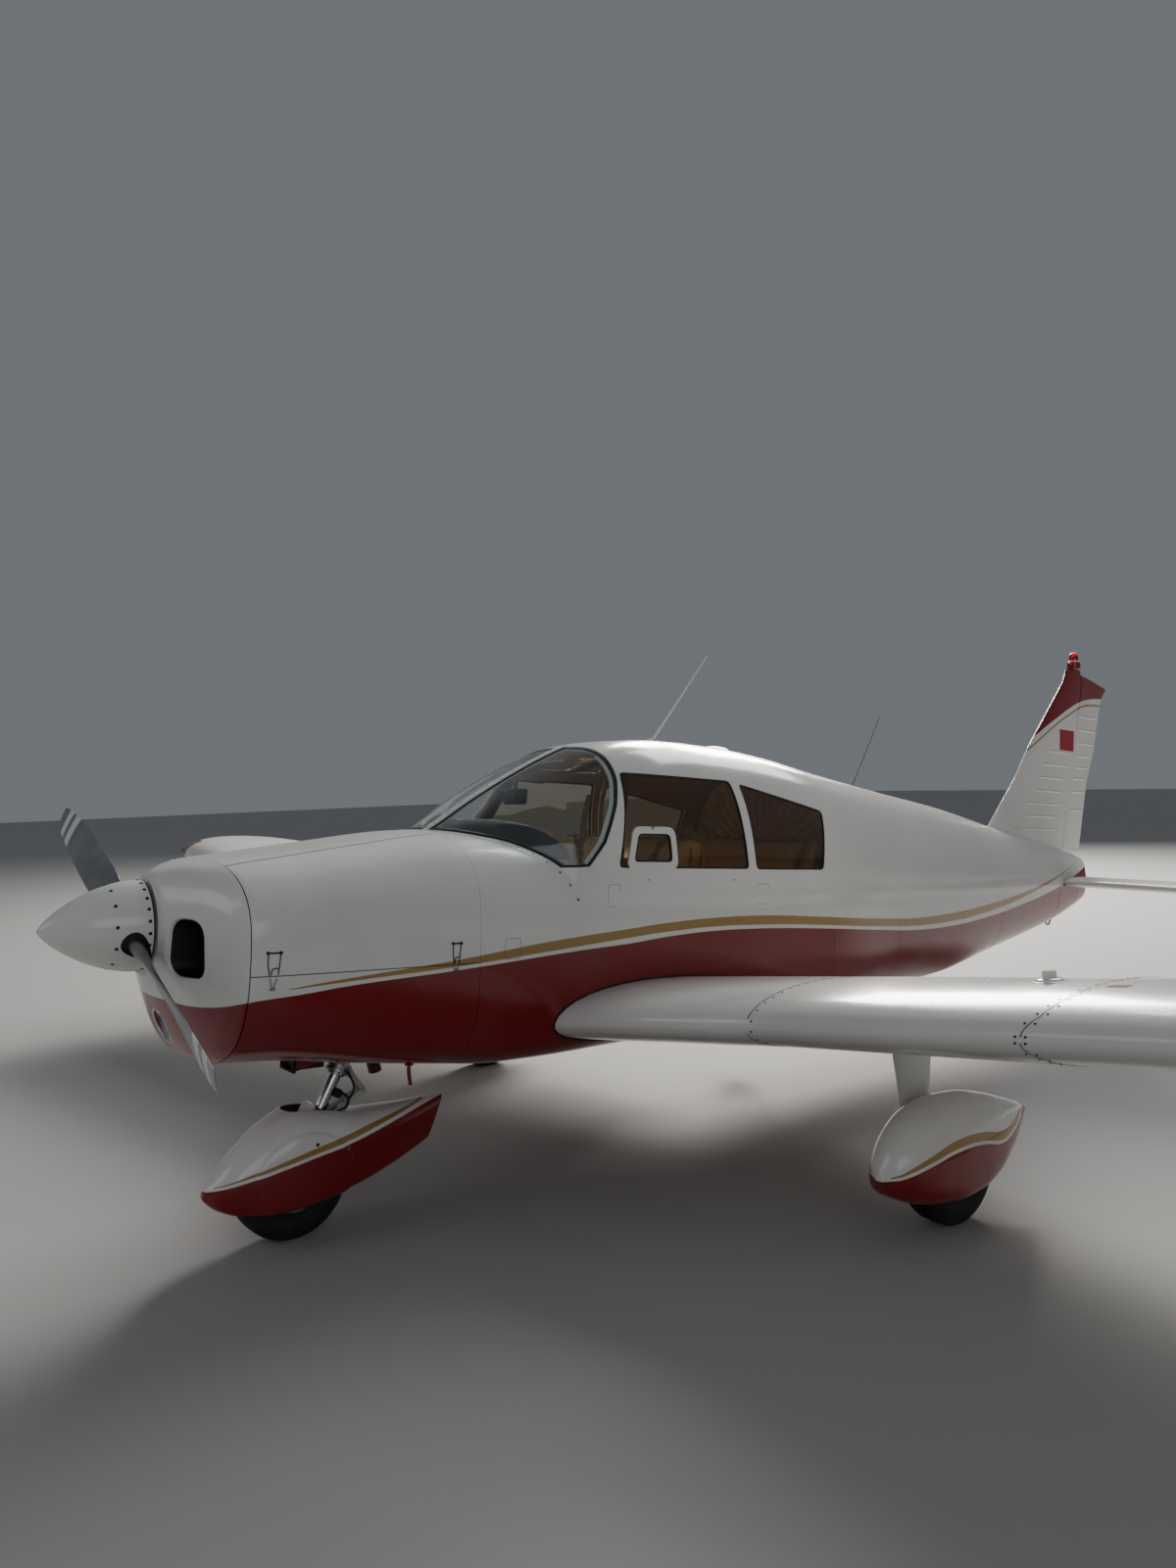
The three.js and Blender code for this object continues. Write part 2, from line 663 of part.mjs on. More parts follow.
// Wings, with flap and aileron cut out of one blank
const wingZ = (x, y) => wingLeadZ + Math.abs(y) * Math.tan(dihedral) - (x - wingLeadX) * Math.tan(incidence);
function wingBlank(side, drop = 0) {
  const rings = wingPlan.map(([y, lead, chord, thickness]) => sectionPoints(chord, thickness, true)
    .map(([along, rise]) => new THREE.Vector3(lead + along, side * y, wingZ(lead + along, y) + rise - drop)));
  return solid(loft(rings));
}
const wingHinge = (y) => [wingHingeX, y, wingZ(wingHingeX, y) + wingHingeRise];
const jackPad = { x: 2470, y: 2150, z: -300, radius: 32 };
for (const [name, side] of [['left', -1], ['right', 1]]) {
  const blank = wingBlank(side);
  const across = (a, b) => [side * a, side * b].sort((p, q) => p - q);
  const behindHinge = (a, b) => block(wingHingeX, far, ...across(a, b), -far, far);
  const hingeBar = (a, b, radius) => bar(wingHinge(side * a), wingHinge(side * b), radius, radius, 24);
  const coveSpan = [300, aileronSpan[1] + controlEndGap];
  const surface = ([a, b]) => join(
    blank.intersect(behindHinge(a, b)),
    hingeBar(a, b, wingNose).intersect(block(0, far, ...across(a, b), -far, far)),
  );
  const padY = side * jackPad.y;
  add(`wing_${name}`, 'white_paint', cut(
    join(
      cut(blank, behindHinge(...coveSpan), hingeBar(...coveSpan, wingCove)),
      bar([jackPad.x, padY, wingZ(jackPad.x, padY)], [jackPad.x, padY, jackPad.z], jackPad.radius),
    ),
    skinRoom,
  ));
  add(`flap_${name}`, 'white_paint', surface(flapSpan));
  add(`aileron_${name}`, 'white_paint', surface(aileronSpan));
}

// Fin and rudder, cut out of one blank along the leaning hinge line
const finRing = ([z, lead, trail, thickness]) => sectionPoints(trail - lead, thickness, false)
  .map(([along, rise]) => new THREE.Vector3(lead + along, rise, z));
const finBlank = solid(loft(finSections.map(finRing)));
const hingeX = (z) => rudderHinge.x + (z - rudderHinge.z) * rudderHinge.lean;
const aftOutline = [[hingeX(0), 0], [far, 0], [far, 1700], [hingeX(1700), 1700]];
const aft = sidePrism(aftOutline, -200, 200);
const hingeCone = (low, high) => bar([hingeX(200), 0, 200], [hingeX(1600), 0, 1600], low, high, 24);
add('fin', 'white_paint', cut(finBlank, aft, hingeCone(33, 33), skinRoom));
const rudderOutline = [
  [6300, rudderBottomZ], [far, rudderBottomZ], [far, 1410], [7112, 1455], [6600, 1536], [6300, 1580],
];
add('rudder', 'white_paint', join(finBlank.intersect(aft), hingeCone(23, 21).intersect(finBlank))
  .intersect(sidePrism(rudderOutline, -200, 200)));
const beaconX = 6648;
add('beacon', 'red_glass', join(
  bar([beaconX, 0, 1563], [beaconX, 0, 1602], 46, 42, 20),
  bar([beaconX, 0, 1602], [beaconX, 0, 1650], 33, 31, 20),
  bar([beaconX, 0, 1650], [beaconX, 0, 1674], 31, 16, 20),
));

// Stabilator in one piece with its tube, and the tab behind it.
// Plan columns: share of the half span, leading edge set back, chord, thickness
const stabPlan = [
  [-1, 90, 580, 24],
  [-0.985, 35, 690, 52],
  [-0.955, 0, stabChord, 72],
  [0.955, 0, stabChord, 72],
  [0.985, 35, 690, 52],
  [1, 90, 580, 24],
];
const stabRing = ([share, back, chord, thickness]) => sectionPoints(chord, thickness, false)
  .map(([along, rise]) => new THREE.Vector3(stabLeadX + back + along, share * stabSpan, stabZ + rise));
const stab = solid(loft(stabPlan.map(stabRing)));
const rootHalf = 122;
const tabEnd = tabSpan + 12;
add('stabilator', 'white_paint', join(
  cut(
    stab,
    block(6200, 6850, -rootHalf, rootHalf, -far, far),
    block(tabHingeX, far, -tabEnd, tabEnd, -far, far),
    bar([tabHingeX, -tabEnd, stabZ], [tabHingeX, tabEnd, stabZ], 24, 24, 20),
  ),
  bar([stabPivotX, -rootHalf - 40, stabZ], [stabPivotX, rootHalf + 40, stabZ], tubeRadius, tubeRadius, 24),
));
add('stabilator_tab', 'white_paint', join(
  stab.intersect(block(tabHingeX, far, -tabSpan, tabSpan, -far, far)),
  bar([tabHingeX, -tabSpan, stabZ], [tabHingeX, tabSpan, stabZ], 17, 17, 20),
));

// Propeller: hub and two twisted blades, then the spinner cut round them
function blade(turn, grow) {
  const rings = bladeSections.map(([radius, chord, thickness, pitch]) => {
    const angle = THREE.MathUtils.degToRad(pitch);
    return sectionPoints(chord + 2 * grow, thickness + 2 * grow, false, 5).map(([along, rise]) => {
      const inPlane = 0.4 * chord + grow - along;
      const y = inPlane * Math.cos(angle) + rise * Math.sin(angle);
      const x = -inPlane * Math.sin(angle) + rise * Math.cos(angle);
      const point = new THREE.Vector3(x, y, radius);
      point.applyAxisAngle(new THREE.Vector3(1, 0, 0), -turn);
      point.applyAxisAngle(new THREE.Vector3(0, 1, 0), -shaftTilt);
      return point.add(new THREE.Vector3(...shaftPoint(propX)));
    });
  });
  return solid(loft(rings));
}
const hub = (grow) => bar(shaftPoint(270 - grow), shaftPoint(372 + grow), 62 + grow, 62 + grow, 24);
add('propeller', 'bare_metal', join(blade(propAngle, 0), blade(propAngle + Math.PI, 0), hub(0)));
const spinnerProfile = [new THREE.Vector2(0, 0)];
const spinnerSteps = 9;
for (let i = 1; i <= spinnerSteps; i += 1) {
  const share = i / spinnerSteps;
  spinnerProfile.push(new THREE.Vector2(
    spinnerRadius * Math.sin((Math.PI / 2) * share) ** 0.72,
    share * (spinnerBaseX - spinnerTipX),
  ));
}
spinnerProfile.push(new THREE.Vector2(0, spinnerBaseX - spinnerTipX));
const spinnerShape = new THREE.LatheGeometry(spinnerProfile, 24);
spinnerShape.applyMatrix4(new THREE.Matrix4().makeBasis(
  new THREE.Vector3(0, 0, 1),
  new THREE.Vector3(1, 0, 0),
  new THREE.Vector3(0, 1, 0),
));
spinnerShape.rotateY(-shaftTilt);
spinnerShape.translate(spinnerTipX, 0, 0);
const bladeRoom = 9;
add('spinner', 'white_paint', cut(
  solid(spinnerShape),
  blade(propAngle, bladeRoom),
  blade(propAngle + Math.PI, bladeRoom),
  hub(2),
));

// Tyre and rim turned about Y, with a flat facet resting on the floor. Columns: radius, side
const wheelProfile = [
  [26, -62], [52, -62], [60, -42], [98, -46], [108, -70], [150, -tyreHalf], [196, -64], [tyreRadius, -32],
];
function wheel(axle, z) {
  const mirrored = wheelProfile.map(([r, w]) => [r, -w]).reverse();
  const points = [...wheelProfile, ...mirrored].map(([r, w]) => new THREE.Vector2(r, w));
  points.push(points[0].clone());
  const geometry = new THREE.LatheGeometry(points, tyreSides);
  geometry.rotateY(Math.PI / tyreSides - parkedPitch);
  geometry.translate(axle.x, axle.y, z);
  return solid(geometry);
}
const tyreRoom = (axle, z) => bar(
  [axle.x, axle.y - tyreHalf - 8, z],
  [axle.x, axle.y + tyreHalf + 8, z],
  tyreRadius + 9,
  tyreRadius + 9,
  24,
);
add('nose_wheel', 'rubber', wheel(noseAxle, noseAxleZ));

const forkHalf = 97;
const armRadius = 12;
const crownPoint = strutPoint(240);
const crownZ = crownPoint[2] + 5;
function forkArm(side) {
  const shoulder = [crownPoint[0] - 10, side * forkHalf, crownZ - 38];
  return join(
    bar([crownPoint[0], side * 30, crownZ], shoulder, 14, 14, 12),
    bar(shoulder, [noseAxle.x, side * forkHalf, noseAxleZ], armRadius, armRadius, 12),
  );
}
const noseAxlePoint = (y) => [noseAxle.x, y, noseAxleZ];
const axleBar = (half, radius) => bar(noseAxlePoint(-half), noseAxlePoint(half), radius, radius, 20);
const linkTop = strutPoint(428);
const linkApex = [1222, 0, -652];
const linkRoot = [crownPoint[0] + 28, 0, crownPoint[2] - 12];
const lowerLink = (radius) => bar(linkRoot, linkApex, radius, radius - 1, 12);
add('nose_fork', 'bare_metal', join(
  bar(strutPoint(228), strutPoint(262 - gap), 46, 46, 24),
  forkArm(1),
  forkArm(-1),
  axleBar(80, 25),
  axleBar(forkHalf + 4, armRadius),
  lowerLink(12),
));
add('nose_strut', 'chrome', join(
  bar(strutPoint(420), strutPoint(700), strutRadius, strutRadius, 24),
  bar(strutPoint(262), strutPoint(430), 24, 24, 24),
  bar(strutPoint(413), strutPoint(441), strutRadius + 14, strutRadius + 14, 24),
  bar([linkTop[0] + 20, 0, linkTop[2]], [linkApex[0] + 6, 0, linkApex[2] + 38], 13, 11, 12),
));

// Wheel fairings: thin shells open below for the tyre and on top for the leg
const fairingWall = 6;
const fairingSides = 18;
const fairingShell = (sections, y) => cut(
  bodyOf(sections, 0, y, fairingSides),
  bodyOf(sections, -fairingWall, y, fairingSides),
);
add('nose_fairing', 'white_paint', cut(
  fairingShell(noseFairingSections, 0),
  tyreRoom(noseAxle, noseAxleZ),
  block(893, 1128, -62, 62, -770, -500),
  bar(strutPoint(200), strutPoint(420), 62, 62, 24),
  lowerLink(18),
));
const mainAxleZ = groundZ(mainAxle.x, facetRadius);
const legTop = { x: 2762, z: -300 };
const legX = (z) => legTop.x + ((mainAxle.x - legTop.x) * (legTop.z - z)) / (legTop.z - mainAxleZ);

// Leg sections, and the hole that they need in the fairing. Columns: z, chord, thickness
const legSections = [[legTop.z, 262, 74], [-420, 240, 72], [-640, 165, 66], [-690, 70, 62]];
const legHoleSections = [[-400, 252, 80], [-640, 177, 74], [-900, 78, 74]];
const legSides = 20;
function legLoft(sections, y) {
  return solid(loft(sections.map(([z, chord, thick]) => {
    const ring = [];
    for (let i = 0; i < legSides; i += 1) {
      const angle = (2 * Math.PI * i) / legSides;
      const x = legX(z) + (chord / 2) * Math.cos(angle);
      ring.push(new THREE.Vector3(x, y + (thick / 2) * Math.sin(angle), z));
    }
    return ring;
  })));
}
const axleRadius = 25;
for (const [name, side] of [['left', -1], ['right', 1]]) {
  const y = side * mainAxle.y;
  const legY = side * mainLegY;
  const legEnd = (z) => [legX(z), legY, z];
  const axleEnd = [mainAxle.x, side * (mainAxle.y + 66), mainAxleZ];
  add(`main_leg_${name}`, 'white_paint', cut(
    join(
      legLoft(legSections, legY),
      bar(legEnd(-640), legEnd(mainAxleZ - 30), 30, 30, 16),
      bar(legEnd(mainAxleZ), axleEnd, axleRadius, axleRadius, 20),
    ),
    wingBlank(side, gap),
  ));
  add(`main_fairing_${name}`, 'white_paint', cut(
    fairingShell(mainFairingSections, y),
    tyreRoom({ x: mainAxle.x, y }, mainAxleZ),
    legLoft(legHoleSections, legY),
    bar(legEnd(-620), legEnd(-960), 32, 32, 16),
  ));
  add(`main_wheel_${name}`, 'rubber', wheel({ x: mainAxle.x, y }, mainAxleZ));
}

// Small fittings
const rod = (from, to, radius, end) => cut(bar(from, to, radius, end, 10), skinRoom);
add('whip_antenna', 'white_paint', rod([2680, 0, 770], [3048, 0, 1240], 9, 4));
add('wire_antenna', 'bare_metal', rod([4195, 0, 610], [4448, 0, 1046], 4, 3));
const domeShape = new THREE.SphereGeometry(1, 14, 8).scale(110, 60, 34).translate(3120, 0, 762);
add('roof_dome', 'white_paint', cut(solid(domeShape), skinRoom));
add('exhaust_pipe', 'dark_metal', bar([1290, 120, -440], [1345, 120, -625], 27, 27, 16));
add('boarding_step', 'black_plastic', cut(
  join(
    bar([3800, 300, -400], [3830, 420, -700], 15, 15, 12),
    block(3770, 3900, 380, 520, -716, -700),
  ),
  skinRoom,
));
add('pitot_mast', 'white_paint', cut(
  join(
    bar([2500, -2740, -150], [2500, -2740, -330], 22, 16, 12),
    bar([2370, -2740, -330], [2540, -2740, -330], 15, 15, 12),
  ),
  wingBlank(-1, gap),
));
add('tail_tiedown', 'bare_metal', cut(
  join(
    bar([6330, 0, -120], [6330, 0, -205], 9, 9, 10),
    bar([6300, 0, -212], [6400, 0, -212], 9, 9, 10),
    bar([6400, 0, -120], [6400, 0, -212], 9, 9, 10),
  ),
  skinRoom,
));

// Centre the aircraft over the origin
const box = new THREE.Box3().setFromObject(aircraft, true);
aircraft.position.x = -(box.min.x + box.max.x) / 2;

export default aircraft;
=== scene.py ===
import math

import bmesh
import bpy
import numpy as np
from mathutils import Matrix, Vector
from mathutils.bvhtree import BVHTree


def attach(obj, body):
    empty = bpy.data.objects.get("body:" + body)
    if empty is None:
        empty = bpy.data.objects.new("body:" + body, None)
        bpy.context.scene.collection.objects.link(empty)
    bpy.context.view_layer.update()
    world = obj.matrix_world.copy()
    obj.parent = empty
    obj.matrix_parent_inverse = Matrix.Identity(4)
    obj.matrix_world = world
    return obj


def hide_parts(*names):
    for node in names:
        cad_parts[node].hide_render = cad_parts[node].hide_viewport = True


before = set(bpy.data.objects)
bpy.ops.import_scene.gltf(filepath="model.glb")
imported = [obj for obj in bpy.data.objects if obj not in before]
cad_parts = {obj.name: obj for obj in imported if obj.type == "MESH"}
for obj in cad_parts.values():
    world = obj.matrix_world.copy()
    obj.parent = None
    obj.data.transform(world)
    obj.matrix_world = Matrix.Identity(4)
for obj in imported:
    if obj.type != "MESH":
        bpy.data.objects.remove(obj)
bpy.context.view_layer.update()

# Modelling is in millimetres on the airframe's own axes: x aft, y to starboard, z up from the propeller axis
parked = {"pitch": math.radians(3.85), "axisHeight": 1220.8, "shiftX": -3615.88}
toRow = (
    Matrix.Scale(0.001, 4)
    @ Matrix.Translation((parked["shiftX"], 0, parked["axisHeight"]))
    @ Matrix.Rotation(parked["pitch"], 4, "Y")
)
fromRow = toRow.inverted()
rowTurn = np.array(Matrix.Rotation(parked["pitch"], 3, "Y"))


def rowPoint(x, y, z):
    return toRow @ Vector((x, y, z))


def setInputs(tree, made, inputs):
    for key, value in (inputs or {}).items():
        if isinstance(value, bpy.types.NodeSocket):
            tree.links.new(value, made.inputs[key])
        else:
            made.inputs[key].default_value = value


def node(tree, kind, inputs=None, **settings):
    made = tree.nodes.new("ShaderNode" + kind)
    for name, value in settings.items():
        setattr(made, name, value)
    setInputs(tree, made, inputs)
    return made


def math2(tree, operation, a, b=0.0, c=None):
    inputs = {0: a, 1: b}
    if c is not None:
        inputs[2] = c
    return node(tree, "Math", inputs, operation=operation).outputs[0]


def mixColor(tree, factor, a, b):
    return node(tree, "Mix", {0: factor, 6: a, 7: b}, data_type="RGBA").outputs[2]


def rgb(code):
    values = [int(code[i : i + 2], 16) / 255 for i in (1, 3, 5)]
    return tuple(v / 12.92 if v < 0.04045 else ((v + 0.055) / 1.055) ** 2.4 for v in values) + (1.0,)


def newGroup(name, inputs, outputs):
    tree = bpy.data.node_groups.new(name, "ShaderNodeTree")
    for label, kind, default in inputs:
        socket = tree.interface.new_socket(label, in_out="INPUT", socket_type="NodeSocket" + kind)
        if default is not None:
            socket.default_value = default
    for label, kind in outputs:
        tree.interface.new_socket(label, in_out="OUTPUT", socket_type="NodeSocket" + kind)
    return tree, tree.nodes.new("NodeGroupInput").outputs, tree.nodes.new("NodeGroupOutput").inputs


def useGroup(tree, group, inputs=None):
    made = tree.nodes.new("ShaderNodeGroup")
    made.node_tree = group
    setInputs(tree, made, inputs)
    return made.outputs


def newMaterial(name):
    material = bpy.data.materials.new(name)
    material.use_nodes = True
    tree = material.node_tree
    return material, tree, tree.nodes["Principled BSDF"]


# Uneven gloss and slight waves of a painted or cast surface
def makeSurface():
    tree, given, out = newGroup(
        "unevenSurface",
        [("Vector", "Vector", None), ("Grain", "Float", 90.0), ("Wave", "Float", 3.0), ("Grain Height", "Float", 0.02),
         ("Wave Height", "Float", 0.1), ("Roughness", "Float", 0.3), ("Spread", "Float", 0.08)],
        [("Roughness", "Float"), ("Normal", "Vector"), ("Mask", "Float")],
    )
    fine = node(tree, "TexNoise", {"Vector": given["Vector"], "Scale": given["Grain"], "Detail": 3.0})
    wide = node(tree, "TexNoise", {"Vector": given["Vector"], "Scale": given["Wave"], "Detail": 2.0})
    waved = node(tree, "Bump", {"Strength": given["Wave Height"], "Distance": 0.02, "Height": wide.outputs["Fac"]})
    grained = node(tree, "Bump", {"Strength": given["Grain Height"], "Distance": 0.002,
                                  "Height": fine.outputs["Fac"], "Normal": waved.outputs[0]})
    shifted = math2(tree, "SUBTRACT", wide.outputs["Fac"], 0.5)
    rough = math2(tree, "MULTIPLY_ADD", shifted, given["Spread"], given["Roughness"])
    tree.links.new(rough, out["Roughness"])
    tree.links.new(grained.outputs[0], out["Normal"])
    tree.links.new(wide.outputs["Fac"], out["Mask"])
    return tree


# Dust and grime in patches
def makeGrime():
    tree, given, out = newGroup(
        "grime",
        [("Vector", "Vector", None), ("Color", "Color", (0.8, 0.8, 0.8, 1)), ("Dirt", "Color", (0.2, 0.17, 0.13, 1)),
         ("Amount", "Float", 0.15), ("Scale", "Float", 6.0)],
        [("Color", "Color"), ("Mask", "Float")],
    )
    patches = node(tree, "TexNoise", {"Vector": given["Vector"], "Scale": given["Scale"], "Detail": 6.0})
    ramp = node(tree, "MapRange", {0: patches.outputs["Fac"], 1: 0.45, 2: 0.75, 3: 0.0, 4: 1.0})
    mask = math2(tree, "MULTIPLY", ramp.outputs[0], given["Amount"])
    tree.links.new(mixColor(tree, mask, given["Color"], given["Dirt"]), out["Color"])
    tree.links.new(mask, out["Mask"])
    return tree


surfaceGroup = makeSurface()
grimeGroup = makeGrime()


# Places both groups in a material: grime over its colour, and an uneven surface
def coverShader(tree, shader, color, dirt, amount, scale, grain, wave, grainHeight, waveHeight, roughness, spread):
    place = node(tree, "TexCoord").outputs["Object"]
    dirty = useGroup(tree, grimeGroup, {"Vector": place, "Color": color, "Dirt": rgb(dirt), "Amount": amount,
                                        "Scale": scale})
    tree.links.new(dirty["Color"], shader.inputs["Base Color"])
    return unevenShader(tree, shader, place, grain, wave, grainHeight, waveHeight, roughness, spread)


def unevenShader(tree, shader, place, grain, wave, grainHeight, waveHeight, roughness, spread):
    skin = useGroup(tree, surfaceGroup, {"Vector": place, "Grain": grain, "Wave": wave, "Grain Height": grainHeight,
                                         "Wave Height": waveHeight, "Roughness": roughness, "Spread": spread})
    tree.links.new(skin["Roughness"], shader.inputs["Roughness"])
    tree.links.new(skin["Normal"], shader.inputs["Normal"])
    return skin


# A curve of height over length, both in millimetres of the airframe
def heightCurve(tree, along, points, low, high):
    xs = [p[0] for p in points]
    spread = node(tree, "MapRange", {0: along, 1: xs[0], 2: xs[-1], 3: 0.0, 4: 1.0})
    curve = node(tree, "FloatCurve", {1: spread.outputs[0]})
    line = curve.mapping.curves[0]
    share = [((x - xs[0]) / (xs[-1] - xs[0]), (z - low) / (high - low)) for x, z in points]
    line.points[0].location = share[0]
    line.points[1].location = share[-1]
    for x, z in share[1:-1]:
        line.points.new(x, z)
    curve.mapping.use_clip = False
    curve.mapping.update()
    return math2(tree, "MULTIPLY_ADD", curve.outputs[0], high - low, low)


def airframeVector(tree):
    place = node(tree, "TexCoord").outputs["Object"]
    moved = node(
        tree, "Mapping",
        {0: place, 1: (parked["shiftX"] / 1000, 0, parked["axisHeight"] / 1000), 2: (0, parked["pitch"], 0),
         3: (0.001, 0.001, 0.001)},
        vector_type="TEXTURE",
    )
    return node(tree, "SeparateXYZ", {0: moved.outputs[0]}).outputs


def between(tree, value, low, high):
    return math2(tree, "MULTIPLY", math2(tree, "GREATER_THAN", value, low), math2(tree, "LESS_THAN", value, high))


# Two-colour scheme with a gold band: masks from the height of three lines
def makeStripes(name, red, goldLow, goldHigh, low, high, above=False):
    tree, given, out = newGroup(name, [], [("Red", "Float"), ("Gold", "Float")])
    x, y, z = airframeVector(tree)
    edge = heightCurve(tree, x, red, low, high)
    isRed = math2(tree, "GREATER_THAN" if above else "LESS_THAN", z, edge)
    bottom = heightCurve(tree, x, goldLow, low, high)
    top = heightCurve(tree, x, goldHigh, low, high)
    started = math2(tree, "GREATER_THAN", x, goldLow[0][0])
    tree.links.new(isRed, out["Red"])
    tree.links.new(math2(tree, "MULTIPLY", between(tree, z, bottom, top), started), out["Gold"])
    return tree


scheme = {
    "white": "#e9e6e0",
    "red": "#80020a",
    "gold": "#a88443",
    "flag": "#a50d16",
    "dust": "#8d8474",
    "roughness": 0.2,
    "grime": 0.10,
    "coat": 0.3,
    "coatRoughness": 0.06,
}
bodyStripes = makeStripes(
    "bodyStripes",
    [(370, -229), (421, -230), (435, -235), (469, -231), (508, -217), (564, -197), (730, -181), (892, -164),
     (1287, -139), (1895, -94), (2096, -83), (2328, -63), (2595, -51), (2863, -52.5), (3325, -72), (3795, -102),
     (4264, -129), (4655, -129), (5132, -102), (5612, -51), (6088, 16), (6403, 81), (6765, 180)],
    [(679, -164), (892, -149), (1286, -126), (1700, -93), (2096, -60), (2327, -43), (2595, -33), (2906, -37),
     (3325, -55.5), (3794, -85), (4262, -106), (4651, -103), (5126, -72), (5606, -12), (6086, 78), (6300, 125),
     (6765, 260)],
    [(679, -161), (828, -144), (1285, -103), (1713, -55), (2095, -24), (2326, -6.5), (2594, 4.5), (2906, 4),
     (3324, -17), (3792, -45), (4259, -64.5), (4646, -57), (5121, -28), (5604, 20.5), (6086, 92), (6300, 132),
     (6765, 262)],
    -260, 280,
)
noseFairingStripes = makeStripes(
    "noseFairingStripes",
    [(600, -943), (640, -931), (760, -898), (950, -852), (1150, -815), (1350, -768), (1500, -738), (1600, -722)],
    [(640, -922), (760, -886), (950, -839), (1150, -801), (1300, -766), (1450, -733), (1600, -700)],
    [(640, -920), (760, -876), (950, -819), (1150, -779), (1300, -752), (1450, -728), (1600, -698)],
    -1000, -600,
)
mainFairingStripes = makeStripes(
    "mainFairingStripes",
    [(2400, -816), (2450, -798), (2560, -761), (2700, -731), (2850, -728), (3000, -750), (3120, -734), (3220, -702),
     (3340, -655)],
    [(2420, -800), (2560, -750), (2700, -719), (2850, -717), (3000, -738), (3120, -720), (3220, -689), (3340, -640)],
    [(2420, -796), (2560, -728), (2700, -688), (2850, -686), (3000, -706), (3120, -696), (3220, -676), (3340, -637)],
    -900, -600,
)
finStripes = makeStripes(
    "finStripes",
    [(6000, 980), (6112, 1040), (6257, 1127), (6384, 1193), (6536, 1267), (6692, 1326), (6853, 1360), (7000, 1376),
     (7120, 1380)],
    [(6000, 918), (6154, 1016), (6385, 1148), (6581, 1236), (6716, 1287), (6925, 1317), (7120, 1318)],
    [(6000, 928), (6154, 1028), (6385, 1161), (6581, 1250), (6716, 1301), (6925, 1329), (7120, 1330)],
    850, 1450, above=True,
)


def makePaint(name, stripes=None, base="white", patch=None):
    material, tree, shader = newMaterial(name)
    color = rgb(scheme[base])
    if stripes:
        masks = useGroup(tree, stripes)
        color = mixColor(tree, masks["Gold"], color, rgb(scheme["gold"]))
        color = mixColor(tree, masks["Red"], color, rgb(scheme["red"]))
    if patch:  # plain red panel: lowest x, highest x, lowest z, highest z
        x, y, z = airframeVector(tree)
        inside = math2(tree, "MULTIPLY", between(tree, x, *patch[:2]), between(tree, z, *patch[2:]))
        color = mixColor(tree, inside, color, rgb(scheme["flag"]))
    coverShader(tree, shader, color, scheme["dust"], scheme["grime"], scale=2.6, grain=260.0, wave=2.2,
                grainHeight=0.05, waveHeight=0.16, roughness=scheme["roughness"], spread=0.12)
    shader.inputs["Coat Weight"].default_value = scheme["coat"]
    shader.inputs["Coat Roughness"].default_value = scheme["coatRoughness"]
    return material


def makePlain(name, code, roughness, metallic=0.0, grain=120.0, grainHeight=0.15, dirt="#4a443c", amount=0.2,
              scale=8.0, spread=0.15, wave=8.0, waveHeight=0.03):
    material, tree, shader = newMaterial(name)
    coverShader(tree, shader, rgb(code), dirt, amount, scale, grain, wave, grainHeight, waveHeight, roughness,
                spread)
    shader.inputs["Metallic"].default_value = metallic
    return material


# Glass: light and shadow rays pass straight through it, tinted, so that the cabin is lit
def makeGlass(name, code, roughness=0.0):
    material, tree, shader = newMaterial(name)
    path = node(tree, "LightPath").outputs
    straight = math2(tree, "MAXIMUM", path["Is Shadow Ray"], path["Is Diffuse Ray"])
    clear = node(tree, "BsdfTransparent", {"Color": rgb(code)})
    mix = node(tree, "MixShader", {0: straight, 1: shader.outputs[0], 2: clear.outputs[0]})
    output = [n for n in tree.nodes if n.bl_idname == "ShaderNodeOutputMaterial"][0]
    tree.links.new(mix.outputs[0], output.inputs["Surface"])
    shader.inputs["Base Color"].default_value = rgb(code)
    shader.inputs["Roughness"].default_value = roughness
    shader.inputs["IOR"].default_value = 1.45
    shader.inputs["Transmission Weight"].default_value = 1.0
    return material


